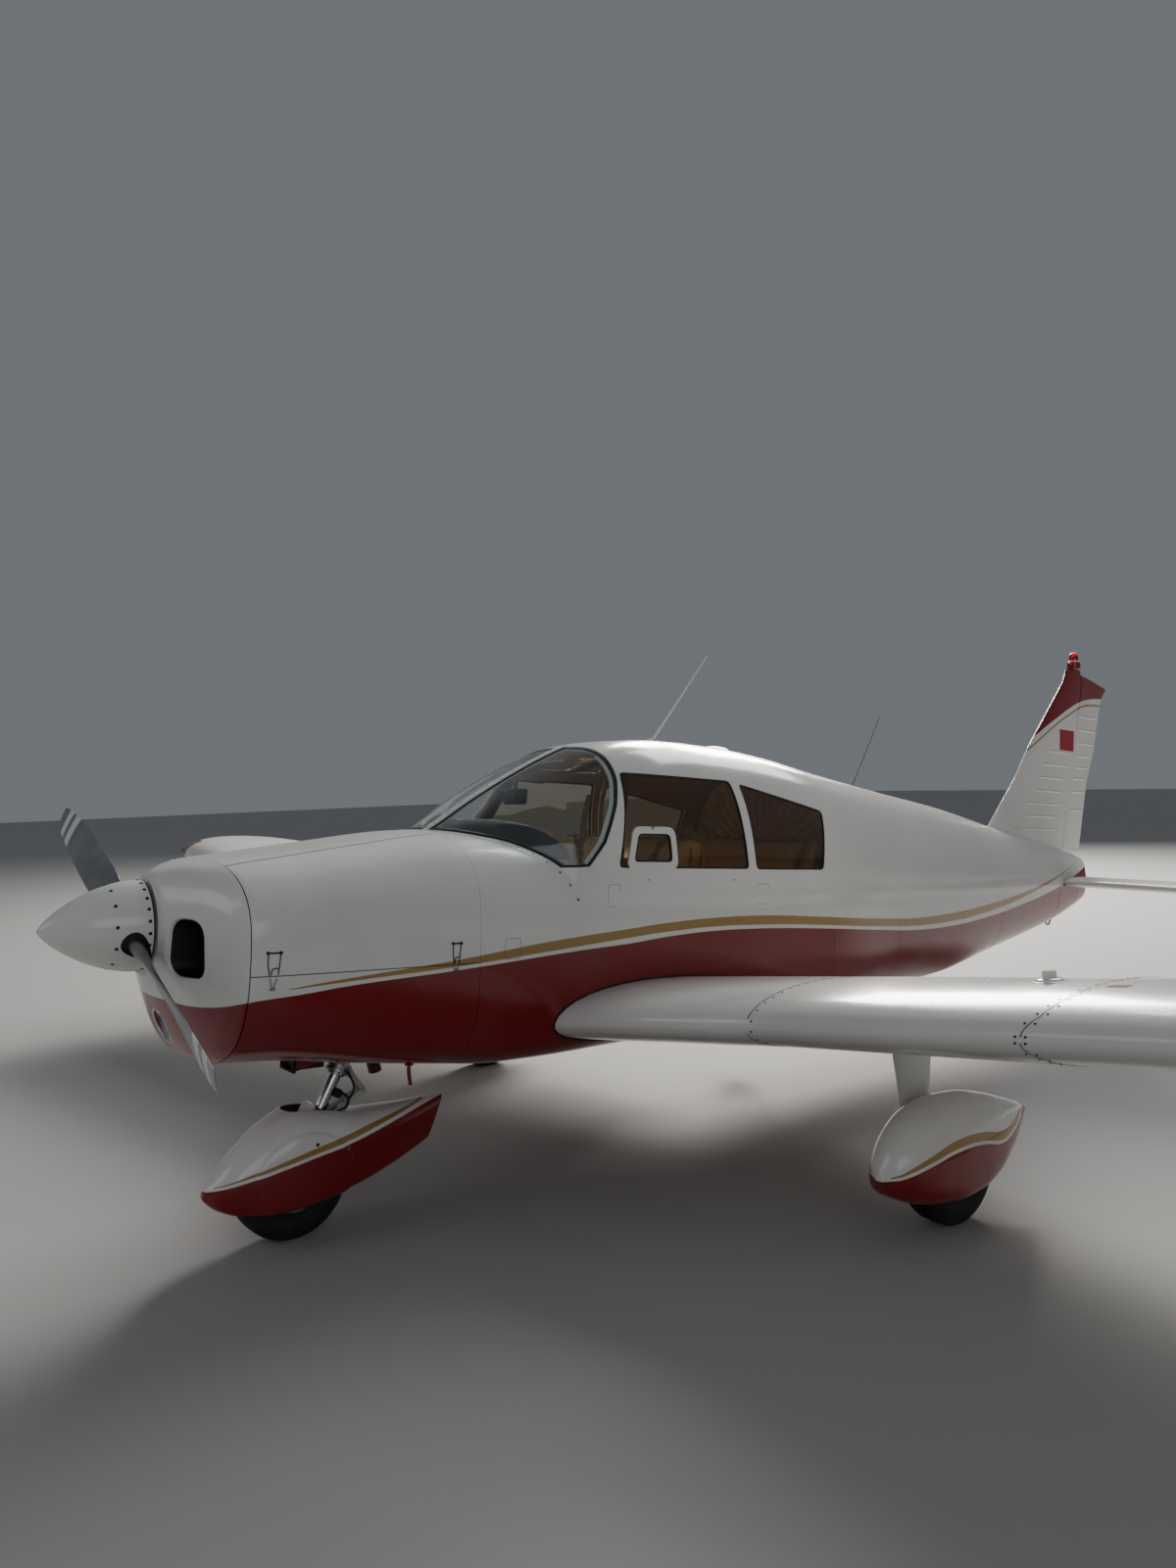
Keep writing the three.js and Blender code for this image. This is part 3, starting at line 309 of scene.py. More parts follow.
finish = {
    "body": makePaint("bodyPaint", bodyStripes),
    "white": makePaint("whitePaint"),
    "red": makePaint("redPaint", base="red"),
    "noseFairing": makePaint("noseFairingPaint", noseFairingStripes),
    "mainFairing": makePaint("mainFairingPaint", mainFairingStripes),
    "fin": makePaint("finPaint", finStripes, patch=(6408, 6613, 973, 1116)),
    "metal": makePlain("bareMetal", "#a3a5a6", 0.34, 1.0, grain=300.0, grainHeight=0.1),
    "chrome": makePlain("chromePlate", "#d5d6d8", 0.1, 1.0, amount=0.08),
    "dark": makePlain("darkMetal", "#2c2c2d", 0.5, 0.7, grain=160.0),
    "burnt": makePlain("burntMetal", "#5a4a3e", 0.5, 0.8, amount=0.6, dirt="#1b1512"),
    "link": makePlain("linkPaint", "#b9b6ae", 0.4, amount=0.45),
    "primer": makePlain("primer", "#5d6554", 0.55, grain=200.0),
    "black": makePlain("blackPlastic", "#141415", 0.45, grain=500.0, grainHeight=0.2),
    "rubber": makePlain("blackRubber", "#161616", 0.75, grain=350.0, grainHeight=0.3, dirt="#6b6459"),
    "lining": makePlain("cabinLining", "#b39877", 0.7, grain=600.0, grainHeight=0.3, amount=0.12),
    "carpet": makePlain("carpet", "#6a5240", 0.95, grain=900.0, grainHeight=1.0),
    "piping": makePlain("pipingCord", "#8a6a45", 0.5, grain=300.0),
    "vinyl": makePlain("shieldVinyl", "#1b1c1f", 0.5, grain=340.0, grainHeight=0.5),
    "trim": makePlain("postTrim", "#3f3227", 0.55, grain=300.0),
    "webbing": makePlain("beltWebbing", "#8d8069", 0.8, grain=900.0, grainHeight=0.8),
    "clear": makeGlass("clearGlass", "#eef3f2"),
    "tinted": makeGlass("tintedGlass", "#dccdb2"),
    "redLens": makeGlass("redLens", "#d01018", 0.05),
    "greenLens": makeGlass("greenLens", "#12804a", 0.05),
}
bothSides = ((-1, "left"), (1, "right"))  # sign of y and name
print("materials ready")


# Rows of a table read smoothly at any place along it. All shapes are in airframe millimetres until makePiece
def cubicRows(table, xs):
    table = np.asarray(table, float)
    at, values = table[:, 0], table[:, 1:]
    span = np.diff(at)[:, None]
    slope = np.diff(values, axis=0) / span
    tangent = np.vstack([slope[:1], np.zeros_like(slope[:-1]), slope[-1:]])
    product = slope[:-1] * slope[1:]
    total = slope[:-1] + slope[1:]
    safe = np.where(product > 0, total, 1)
    tangent[1:-1] = np.where(product > 0, 2 * product / safe, 0)
    xs = np.clip(np.asarray(xs, float), at[0], at[-1])
    k = np.clip(np.searchsorted(at, xs, side="right") - 1, 0, len(at) - 2)
    t = ((xs - at[k]) / (at[k + 1] - at[k]))[:, None]
    rise = values[k + 1] - values[k]
    a = tangent[k] * span[k] - rise
    b = tangent[k + 1] * span[k] - rise
    return values[k] + rise * t + t * (1 - t) * ((1 - t) * a - t * b)


# Distance of points outside a body of rounded sections, roughly in millimetres
def sectionField(table, x, y, z, centreY=0.0):
    shape = np.shape(x)
    rows = cubicRows(table, np.ravel(x))
    top, middle, bottom, half, topPower, bottomPower = (rows[:, i].reshape(shape) for i in range(6))
    up = z > middle
    power = np.where(up, topPower, bottomPower)
    reach = np.where(up, top - middle, middle - bottom)
    across = np.abs(y - centreY) / half
    rise = np.abs(z - middle) / reach
    share = np.maximum(across**power + rise**power, 1e-9) ** (1 / power)
    return np.hypot(y - centreY, z - middle) * (1 - 1 / share)


def smoothUnion(a, b, blend):
    h = np.maximum(blend - np.abs(a - b), 0) / blend
    return np.minimum(a, b) - h * h * blend / 4


hullSections = [
    [375, 168, -20, -160, 160, 2.1, 2.0], [386, 188, -25, -188, 196, 2.1, 2.0], [408, 200, -30, -240, 245, 2.2, 2.0],
    [440, 212, -40, -318, 318, 2.4, 2.0], [478, 223, -45, -396, 400, 2.6, 2.2], [520, 232, -50, -446, 475, 2.7, 2.5],
    [559, 239, -50, -457, 518, 2.8, 2.7], [724, 260, -50, -463, 534, 3.0, 2.9], [1016, 302, -50, -498, 542, 3.0, 3.2],
    [1397, 349, -50, -540, 548, 3.0, 3.6], [1600, 354, -50, -558, 549, 3.0, 3.8], [1830, 354, -50, -556, 549, 3.0, 4.0],
    [2150, 340, -50, -545, 549, 3.0, 4.1], [2600, 320, -50, -530, 549, 3.0, 4.2], [3400, 290, -40, -505, 535, 3.0, 4.0],
    [4060, 255, -20, -480, 440, 2.8, 3.2], [4826, 210, 5, -440, 330, 2.6, 2.8], [5398, 185, 25, -350, 245, 2.5, 2.5],
    [6340, 150, 45, -178, 106, 2.4, 2.3], [6640, 140, 60, -92, 66, 2.3, 2.2], [6765, 130, 70, -48, 48, 2.2, 2.2],
]
canopySections = [
    [1430, 330, 120, -60, 150, 2.8, 2.0], [1470, 354, 120, -60, 290, 3.0, 2.0], [1543, 398, 115, -65, 340, 3.1, 2.0],
    [1618, 448, 110, -70, 372, 3.1, 2.0], [1699, 498, 105, -80, 434, 3.0, 2.0], [1792, 552, 100, -90, 492, 2.9, 2.0],
    [1860, 590, 100, -100, 532, 2.8, 2.0], [2033, 678, 100, -100, 545, 2.8, 2.0], [2169, 734, 100, -100, 546, 2.9, 2.0],
    [2362, 769, 100, -100, 546, 3.1, 2.0], [2604, 785, 100, -100, 546, 3.1, 2.0], [2921, 777, 100, -100, 544, 3.0, 2.0],
    [3200, 754, 100, -100, 538, 2.9, 2.0], [3632, 691, 95, -100, 500, 2.8, 2.0], [4216, 620, 90, -90, 415, 2.6, 2.0],
    [4877, 544, 80, -70, 320, 2.4, 2.0], [5588, 427, 75, -50, 215, 2.3, 2.0], [6528, 287, 75, -20, 79, 2.2, 2.0],
    [6765, 232, 80, 0, 46, 2.2, 2.0],
]


def hullField(x, y, z):
    return sectionField(hullSections, x, y, z)


def canopyField(x, y, z):
    field = sectionField(canopySections, x, y, z)
    return np.where(np.asarray(x) < canopySections[0][0], 400.0, field)


def skinField(x, y, z):
    blend = np.interp(x, [1400, 1500, 2200, 2600, 6765], [4, 6, 8, 22, 22])
    return smoothUnion(hullField(x, y, z), canopyField(x, y, z), blend)


def fieldNormals(field, points):
    x, y, z = points[..., 0], points[..., 1], points[..., 2]
    step = 1.0
    grad = np.stack([
        field(x + step, y, z) - field(x - step, y, z),
        field(x, y + step, z) - field(x, y - step, z),
        field(x, y, z + step) - field(x, y, z - step),
    ], -1)
    return grad / np.maximum(np.linalg.norm(grad, axis=-1, keepdims=True), 1e-9)


# Halves a range towards the place where a test stops holding
def bisect(low, high, test, rounds):
    for _ in range(rounds):
        mid = (low + high) / 2
        holds = test(mid)
        low, high = np.where(holds, mid, low), np.where(holds, high, mid)
    return low, high


# Rings on a field's zero surface, evenly spaced round each ring
def fieldRings(field, xs, centreZ, sides=160, centreY=0.0, reach=900.0):
    xs = np.asarray(xs, float)
    fine = 720
    angle = np.linspace(0, 2 * np.pi, fine, endpoint=False)
    cz = np.interp(xs, [p[0] for p in centreZ], [p[1] for p in centreZ])[:, None]
    x = np.repeat(xs[:, None], fine, 1)
    low, high = bisect(np.zeros_like(x), np.full_like(x, reach), lambda r: field(
        x, centreY + r * np.sin(angle), cz + r * np.cos(angle)) < 0, 24)
    r = (low + high) / 2
    y, z = centreY + r * np.sin(angle), cz + r * np.cos(angle)
    rings = np.zeros((len(xs), sides, 3))
    for i in range(len(xs)):
        py, pz = np.append(y[i], y[i, 0]), np.append(z[i], z[i, 0])
        length = np.concatenate([[0], np.cumsum(np.hypot(np.diff(py), np.diff(pz)))])
        where = np.linspace(0, length[-1], sides, endpoint=False)
        rings[i] = np.stack([np.full(sides, xs[i]), np.interp(where, length, py), np.interp(where, length, pz)], -1)
    return rings


def meshFrom(verts, faces):
    mesh = bpy.data.meshes.new("part")
    mesh.from_pydata([tuple(v) for v in verts], [], [tuple(f) for f in faces])
    mesh.update()
    return mesh


def gridFaces(rows, sides, start=0, flip=False):
    faces = []
    for i in range(rows - 1):
        for j in range(sides):
            k = (j + 1) % sides
            a, b = start + i * sides + j, start + i * sides + k
            c, d = start + (i + 1) * sides + k, start + (i + 1) * sides + j
            faces.append((d, c, b, a) if flip else (a, b, c, d))
    return faces


def fixNormals(mesh):
    bm = bmesh.new()
    bm.from_mesh(mesh)
    bmesh.ops.remove_doubles(bm, verts=bm.verts, dist=1e-4)
    bmesh.ops.recalc_face_normals(bm, faces=bm.faces)
    bm.to_mesh(mesh)
    bm.free()
    return mesh


# Closed body from rings, one after another
def loftMesh(rings, capStart=True, capEnd=True):
    rings = [np.asarray(r, float) for r in rings]
    sides = len(rings[0])
    verts = np.concatenate(rings)
    faces = gridFaces(len(rings), sides)
    if capStart:
        faces.append(tuple(range(sides))[::-1])
    if capEnd:
        faces.append(tuple(range(len(verts) - sides, len(verts))))
    return fixNormals(meshFrom(verts, faces))


# Hollow shell between two offsets of the same rings, open at neither end
def shellMesh(rings, normals, outer, inner):
    a, b = rings + normals * outer, rings + normals * inner
    rows, sides = rings.shape[:2]
    verts = np.concatenate([a.reshape(-1, 3), b.reshape(-1, 3)])
    half = rows * sides
    faces = gridFaces(rows, sides) + gridFaces(rows, sides, half, True)
    for j in range(sides):
        k = (j + 1) % sides
        faces.append((j, half + j, half + k, k))
        e = (rows - 1) * sides
        faces.append((e + j, e + k, half + e + k, half + e + j))
    return fixNormals(meshFrom(verts, faces))


def tempObject(mesh):
    obj = bpy.data.objects.new("cutter", mesh)
    bpy.context.scene.collection.objects.link(obj)
    return obj


def evaluatedMesh(obj):
    return bpy.data.meshes.new_from_object(obj.evaluated_get(bpy.context.evaluated_depsgraph_get()))


# Adds to a mesh, cuts it or keeps what is shared. The slower exact solver is there where the quick one gives nothing
def boolMesh(mesh, *steps):
    base = tempObject(mesh)
    made = [base]
    for operation, cutter in steps:
        tool = tempObject(cutter)
        made.append(tool)
        step = base.modifiers.new("step", "BOOLEAN")
        step.operation, step.object, step.solver = operation, tool, "MANIFOLD"
    result = evaluatedMesh(base)
    if len(result.polygons) == 0:
        for step in base.modifiers:
            step.solver = "EXACT"
        result = evaluatedMesh(base)
    for obj in made:
        bpy.data.objects.remove(obj)
    result.materials.clear()
    for polygon in result.polygons:
        polygon.material_index = 0
    return result


def cutMesh(mesh, *cutters):
    return boolMesh(mesh, *[("DIFFERENCE", c) for c in cutters])


def keepMesh(mesh, *cutters):
    return boolMesh(mesh, *[("INTERSECT", c) for c in cutters])


def joinMeshes(meshes):
    verts, faces = [], []
    for mesh in meshes:
        start = len(verts)
        verts += [tuple(v.co) for v in mesh.vertices]
        faces += [tuple(start + i for i in p.vertices) for p in mesh.polygons]
    return meshFrom(verts, faces)


def shrunk(points, distance):
    points = [np.array(p, float) for p in points]
    count = len(points)
    area = sum(points[i][0] * points[(i + 1) % count][1] - points[(i + 1) % count][0] * points[i][1]
               for i in range(count))
    side = math.copysign(1, area)
    lines = []
    for i in range(count):
        along = points[(i + 1) % count] - points[i]
        normal = np.array([-along[1], along[0]]) / np.linalg.norm(along) * side
        lines.append((normal[0], normal[1], normal @ points[i] + distance))
    out = []
    for i in range(count):
        (a, b, c), (d, e, f) = lines[i - 1], lines[i]
        det = a * e - b * d
        out.append(((c * e - b * f) / det, (a * f - c * d) / det))
    return out


def rounded(points, radii, steps=8):
    count = len(points)
    if not hasattr(radii, "__len__"):
        radii = [radii] * count
    out = []
    for i in range(count):
        here = np.array(points[i], float)
        before, after = np.array(points[i - 1], float), np.array(points[(i + 1) % count], float)
        if radii[i] <= 0:
            out.append(tuple(here))
            continue
        start = here + (before - here) * radii[i] / np.linalg.norm(before - here)
        end = here + (after - here) * radii[i] / np.linalg.norm(after - here)
        for k in range(steps + 1):
            t = k / steps
            out.append(tuple((1 - t) ** 2 * start + 2 * t * (1 - t) * here + t * t * end))
    return out


# Prism of a flat outline. plane says which two axes the outline uses, the third runs from low to high
def prism(points, low, high, plane="xz"):
    place = {"xz": lambda p, h: (p[0], h, p[1]), "yz": lambda p, h: (h, p[0], p[1]),
             "xy": lambda p, h: (p[0], p[1], h)}[plane]
    rings = [[place(p, low) for p in points], [place(p, high) for p in points]]
    return loftMesh(rings)


def box(x0, x1, y0, y1, z0, z1):
    return prism([(x0, z0), (x1, z0), (x1, z1), (x0, z1)], y0, y1)


# Round bar through a list of points with a radius at each
def tube(points, radii, sides=16, caps=True):
    points = [Vector(p) for p in points]
    if not hasattr(radii, "__len__"):
        radii = [radii] * len(points)
    rings, side = [], None
    for i, point in enumerate(points):
        ahead = points[min(i + 1, len(points) - 1)] - points[max(i - 1, 0)]
        if ahead.length < 1e-6:
            ahead = points[-1] - points[0]
        ahead.normalize()
        if side is None:
            side = ahead.orthogonal().normalized()
        side = (side - ahead * side.dot(ahead)).normalized()
        other = ahead.cross(side)
        ring = []
        for j in range(sides):
            a = 2 * math.pi * j / sides
            ring.append(tuple(point + (side * math.cos(a) + other * math.sin(a)) * radii[i]))
        rings.append(ring)
    return loftMesh(rings, caps, caps)


# Smooth path through a few points
def smoothPath(points, steps=8):
    points = [np.array(p, float) for p in points]
    out = []
    for i in range(len(points) - 1):
        a, b = points[max(i - 1, 0)], points[i]
        c, d = points[i + 1], points[min(i + 2, len(points) - 1)]
        for k in range(steps):
            t = k / steps
            out.append(tuple(0.5 * (2 * b + (c - a) * t + (2 * a - 5 * b + 4 * c - d) * t * t
                                    + (3 * b - a - 3 * c + d) * t**3)))
    out.append(tuple(points[-1]))
    return out


# Turned body: (distance along the axis, radius) rows about a line from start towards end
def turned(start, direction, rows, sides=48):
    start, direction = Vector(start), Vector(direction).normalized()
    side = direction.orthogonal().normalized()
    other = direction.cross(side)
    rings = []
    for along, radius in rows:
        centre = start + direction * along
        rings.append([tuple(centre + (side * math.cos(2 * math.pi * j / sides)
                                      + other * math.sin(2 * math.pi * j / sides)) * max(radius, 0.01))
                      for j in range(sides)])
    return loftMesh(rings)


def setSmooth(mesh, angle=30.0):
    for polygon in mesh.polygons:
        polygon.use_smooth = True
    mesh.set_sharp_from_angle(angle=math.radians(angle))


# Loop normals straight from the body's own surface, flat on the cut edges
def setFieldNormals(mesh, field, limit=26.0):
    count = len(mesh.loops)
    vertexOf = np.zeros(count, int)
    mesh.loops.foreach_get("vertex_index", vertexOf)
    points = np.zeros(len(mesh.vertices) * 3)
    mesh.vertices.foreach_get("co", points)
    points = points.reshape(-1, 3)
    ideal = fieldNormals(field, points)[vertexOf]
    faceNormal = np.zeros(len(mesh.polygons) * 3)
    mesh.polygons.foreach_get("normal", faceNormal)
    totals = np.zeros(len(mesh.polygons), int)
    mesh.polygons.foreach_get("loop_total", totals)
    flat = np.repeat(faceNormal.reshape(-1, 3), totals, axis=0)
    agree = (flat * ideal).sum(1)
    cosine = math.cos(math.radians(limit))
    normals = np.where((agree > cosine)[:, None], ideal, np.where((agree < -cosine)[:, None], -ideal, flat))
    for polygon in mesh.polygons:
        polygon.use_smooth = True
    mesh.normals_split_custom_set(normals.tolist())
    return agree


# Makes the piece: moves the mesh to the row's metres, gives it its finish, its body and the node it stands for.
# Two finishes are a skin's outside and inside. A field gives the normals of a skin
def makePiece(name, mesh, look, body="airframe", replaces=None, field=None, smooth=30.0):
    looks = [look] if isinstance(look, str) else look
    if isinstance(mesh, list):
        mesh = joinMeshes(mesh)
    mesh.name = name
    mesh.materials.clear()
    for each in looks:
        mesh.materials.append(finish[each])
    if field:
        agree = setFieldNormals(mesh, field)
        if len(looks) > 1:
            first = np.zeros(len(mesh.polygons), int)
            mesh.polygons.foreach_get("loop_start", first)
            mesh.polygons.foreach_set("material_index", np.where(agree[first] < -0.3, 1, 0).astype(np.int32))
        normals = np.array([tuple(c.vector) for c in mesh.corner_normals]) @ rowTurn.T
        mesh.transform(toRow)
        mesh.normals_split_custom_set(normals.tolist())
    else:
        setSmooth(mesh, smooth)
        mesh.transform(toRow)
    mesh.update()
    piece = bpy.data.objects.new(name, mesh)
    bpy.context.scene.collection.objects.link(piece)
    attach(piece, body)
    if replaces:
        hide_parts(replaces)
    return piece


# Rings on a field and the directions out of it
def ringsOf(field, xs, centreZ, sides=160, centreY=0.0, reach=900.0):
    rings = fieldRings(field, xs, centreZ, sides, centreY, reach)
    return rings, fieldNormals(field, rings)


def steps(start, end, step):
    count = max(int(math.ceil((end - start) / step)), 1)
    return np.linspace(start, end, count + 1)


# Small domed heads laid on a surface: rows of points and outward normals
def heads(points, normals, radius=3.2, height=1.1, sides=8, sink=0.4):
    points, normals = np.asarray(points, float), np.asarray(normals, float)
    count = len(points)
    helper = np.where(np.abs(normals[:, :1]) < 0.9, [[1.0, 0, 0]], [[0, 1.0, 0]])
    side = np.cross(normals, helper)
    side /= np.linalg.norm(side, axis=1, keepdims=True)
    other = np.cross(normals, side)
    profile = [(radius, -sink), (radius * 0.97, height * 0.35), (radius * 0.66, height * 0.85)]
    verts = []
    for r, h in profile:
        for j in range(sides):
            a = 2 * math.pi * j / sides
            verts.append(points + side * (r * math.cos(a)) + other * (r * math.sin(a)) + normals * h)
    verts.append(points + normals * height)
    verts.append(points - normals * sink)
    block = np.stack(verts, 1)
    per = block.shape[1]
    pattern = []
    for i in range(len(profile) - 1):
        for j in range(sides):
            k = (j + 1) % sides
            pattern.append((i * sides + j, i * sides + k, (i + 1) * sides + k, (i + 1) * sides + j))
    top, low = per - 2, per - 1
    for j in range(sides):
        k = (j + 1) % sides
        pattern.append(((len(profile) - 1) * sides + j, (len(profile) - 1) * sides + k, top))
        pattern.append((k, j, low))
    faces = [tuple(per * n + i for i in f) for n in range(count) for f in pattern]
    return meshFrom(block.reshape(-1, 3), faces)


# Points on the fuselage skin: at a height on one side, or above or below at a distance from the middle
def onSide(x, z, side, field=skinField):
    x, z = np.broadcast_arrays(np.asarray(x, float), np.asarray(z, float))
    y = bisect(np.zeros(x.shape), np.full(x.shape, 700.0), lambda out: field(x, side * out, z) < 0, 30)[0]
    return np.stack([x, side * y, z], -1)


def onTop(x, y, field=skinField, reach=(100.0, 1000.0)):
    x, y = np.broadcast_arrays(np.asarray(x, float), np.asarray(y, float))
    near, far = (np.full(x.shape, level) for level in reach)
    return np.stack([x, y, bisect(near, far, lambda z: field(x, y, z) < 0, 30)[0]], -1)


# Points spaced evenly along a bent line
def spaced(points, gap, ends=True):
    points = np.asarray(points, float)
    length = np.concatenate([[0], np.cumsum(np.linalg.norm(np.diff(points, axis=0), axis=1))])
    count = max(int(round(length[-1] / gap)), 1)
    where = np.linspace(0, length[-1], count + 1)
    if not ends:
        where = where[:-1]
    return np.stack([np.interp(where, length, points[:, i]) for i in range(3)], -1)


# Flat strip laid on a surface along a line: width across, thickness outwards
def ribbon(points, normals, width, lift, sink=1.0, crown=0.0):
    points, normals = np.asarray(points, float), np.asarray(normals, float)
    ahead = np.gradient(points, axis=0)
    side = np.cross(ahead, normals)
    side /= np.maximum(np.linalg.norm(side, axis=1, keepdims=True), 1e-9)
    width = np.broadcast_to(np.asarray(width, float), (len(points),))[:, None]
    rows = []
    for p, n, s, w in zip(points, normals, side, width):
        rows.append([p - s * w / 2 - n * sink, p - s * w / 2 + n * lift, p + n * (lift + crown),
                     p + s * w / 2 + n * lift, p + s * w / 2 - n * sink])
    return loftMesh(rows)


# Fuselage
fuselage = {
    "seam": 1.5,  # half the gap between two skins
    "doorGap": 3.6,
    "baggageHingeRoom": 5,  # the skin bulges past its straight hinge, so its top edge stays lower
    "bowlWall": 6,
    "cowlWall": 5,
    "cabinWall": 20,
    "tailWall": 6,
    "glassInset": 3,
    "glassThickness": 6,
}
bowlEnd, firewallX, cabinEnd, tailCapX, tailEnd = 552, 1397, 4060, 6590, 6765
centreLine = [(375, -10), (559, -50), (1000, -50), (1430, 20), (2000, 40), (6765, 85)]
lidHinge = [(552, 262), (1397, 215)]
lidBottomZ = -116.5
postLine = [(226, 1905), (320, 1990), (472, 2075), (580, 2120), (680, 2148), (760, 2168)]  # height and x
inletOutline = [(214, 50), (351, 50), (357, -139), (191, -141)]
windscreenOutline = [(1300, 200)] + [(x, z) for z, x in postLine] + [(2175, 900), (1300, 900)]
frontWindow = [(2047, 221), (2141, 612), (2743, 600), (2804, 211)]
rearWindow = [(2850, 209), (2794, 590), (3365, 481), (3330, 203)]
doorWindow = [(2062, 221), (2192, 604), (2722, 597), (2782, 211)]
doorOutline = [(1962, -114), (1976, 226), (2102, 472), (2176, 660), (2762, 648), (2826, 205), (2826, -114)]
baggageOutline = [(3482, -150), (3482, 290), (3990, 290), (3990, -150)]
stormOutline = [(2086, 215), (2132, 390), (2354, 390), (2372, 213)]
cut = fuselage["seam"]
inward = fuselage["glassInset"] + fuselage["glassThickness"]


def skinShell(xs, outer, inner, field=skinField, sides=200):
    return shellMesh(*ringsOf(field, xs, centreLine, sides), outer, inner)


def bodySolid(field, offset, xs, sides=120):
    rings, normals = ringsOf(field, xs, centreLine, sides)
    return loftMesh(rings + normals * offset)


# A value of a table's column between its rows
def tableAt(table, at, column=1):
    return np.interp(at, [row[0] for row in table], [row[column] for row in table])


def circlePoints(centre, radius, count=40):
    return [(centre[0] + radius * math.cos(2 * math.pi * i / count),
             centre[1] + radius * math.sin(2 * math.pi * i / count)) for i in range(count)]


# Nose bowl: inlets and light well with rolled lips
lip = 9.0
bowlXs = np.concatenate([[375, 378, 382, 386, 392, 398, 404, 410], steps(418, bowlEnd - cut, 8)])
rings, normals = ringsOf(skinField, bowlXs, centreLine, 200)
bowl = shellMesh(rings, normals, 0, -fuselage["bowlWall"])
front = rings[0]
disc = loftMesh([front * [1, 0.995, 0.995] + [0.4, 0, 0], front * [1, 0.95, 0.95] + [7, 0, 0]])
inletShape = rounded(inletOutline, (44, 74, 52, 62), 10)


# Where a line along x meets the skin of the bowl
def bowlFace(points):
    y, z = np.asarray(points, float).T
    low, high = bisect(np.full(len(y), 376.0), np.full(len(y), 552.0), lambda x: skinField(x, y, z) > 0, 28)
    return (low + high) / 2


def smoothShape(points, distance):  # outline grown along its own normals
    points = np.asarray(points, float)
    ahead = np.roll(points, -1, 0) - np.roll(points, 1, 0)
    normal = np.stack([ahead[:, 1], -ahead[:, 0]], 1)
    normal /= np.linalg.norm(normal, axis=1, keepdims=True)
    if (points * normal).sum() - (points.mean(0) * normal).sum() < 0:
        normal = -normal
    return points + normal * distance


# Rolled lip round a hole in the bowl, carried back as a duct
def duct(shape, back, radius, wall=2.0, taper=0.0, turns=7):
    rows = []
    for k in range(turns + 1):
        a = math.pi / 2 * k / turns
        ring = smoothShape(shape, radius * (1 - math.sin(a)))
        depth = radius * (1 - math.cos(a))
        rows.append(np.column_stack([bowlFace(ring) + depth + 0.15, ring]))
    lastX = rows[-1][:, 0]
    for share in (0.35, 0.7, 1.0):
        ring = smoothShape(shape, taper * share)
        rows.append(np.column_stack([lastX + (back - lastX) * share, ring]))
    outer = []
    for share in (1.0, 0.4, 0.0):
        ring = smoothShape(shape, wall + taper * share)
        outer.append(np.column_stack([lastX + (back - lastX) * share, ring]))
    ring = smoothShape(shape, radius + 0.3)
    outer.append(np.column_stack([bowlFace(ring) + 1.6, ring]))
    return loftMesh(rows + outer + [rows[0]], False, False)


# Thin tube of a shape's outline, from its start back to a flat end: how far it is grown, and where along
def sleeveMesh(shape, start, end, rows):
    rings = [np.column_stack([start + (end - start) * share, smoothShape(shape, grow)]) for grow, share in rows]
    return loftMesh(rings + [rings[0]], False, False)


holes, lips, linings = [], [], []
for side in (1, -1):
    shape = [(side * y, z) for y, z in inletShape]
    holes.append(prism([tuple(p) for p in smoothShape(shape, lip)], 340, 560, "yz"))
    lips.append(duct(shape, 540, lip, taper=-6))
    start = bowlFace(smoothShape(shape, 0)) + lip + 5
    linings.append(sleeveMesh(shape, start, 543, ((-0.6, 0), (-6.6, 1), (-8.6, 1), (-2.6, 0))))
makePiece("inlet_linings", linings, "black", smooth=60)
lightAt = {"x": 471, "z": -339, "radius": 50}
lightShape = circlePoints((0, lightAt["z"]), lightAt["radius"] + 4, 56)
holes.append(prism([tuple(p) for p in smoothShape(lightShape, 7)], 340, 560, "yz"))
lips.append(duct(lightShape, 496, 7))
shaft = prism(circlePoints((0, -12), 75), 300, 420, "yz")
makePiece("nose_bowl_skin", cutMesh(bowl, *holes, shaft), ("body", "primer"), replaces="nose_bowl", field=skinField)
makePiece("nose_bowl_face", cutMesh(disc, shaft), "body")
makePiece("inlet_lips", lips, "body", smooth=50)

# Cowling: top strip, two lids on slanting hinges and the lower half
cowlXs = steps(bowlEnd + cut, firewallX - cut, 22)
cowl = skinShell(cowlXs, 0, -fuselage["cowlWall"], hullField)


# Outline in x and y from beside a lid's hinge, which slants, out to a width
def besideHinge(side, inner, outer):
    (x0, y0), (x1, y1) = lidHinge
    slope = (y1 - y0) / (x1 - x0)
    near, far = ((x, side * (y0 + (x - x0) * slope + inner)) for x in (400, 1500))
    points = [near, far, (far[0], side * outer), (near[0], side * outer)]
    return points if side > 0 else points[::-1]


near, far = besideHinge(1, -cut, 900)[:2]
topStrip = [near, far, (far[0], -far[1]), (near[0], -near[1])]
makePiece("cowl_top_skin", keepMesh(cowl.copy(), prism(topStrip, 60, 900, "xy")), ("body", "primer"),
          replaces="cowl_top", field=hullField)
for side, name in bothSides:
    lid = keepMesh(cowl.copy(), prism(besideHinge(side, cut, 900), lidBottomZ + 1.5, 900, "xy"))
    makePiece(f"cowl_lid_{name}_skin", lid, ("body", "primer"), f"cowl_lid_{name}", replaces=f"cowl_lid_{name}",
              field=hullField)

noseGear = {"x": 935, "z": -945.9, "lean": math.radians(26)}


def strutPoint(up, y=0.0):
    return (noseGear["x"] + up * math.sin(noseGear["lean"]), y, noseGear["z"] + up * math.cos(noseGear["lean"]))


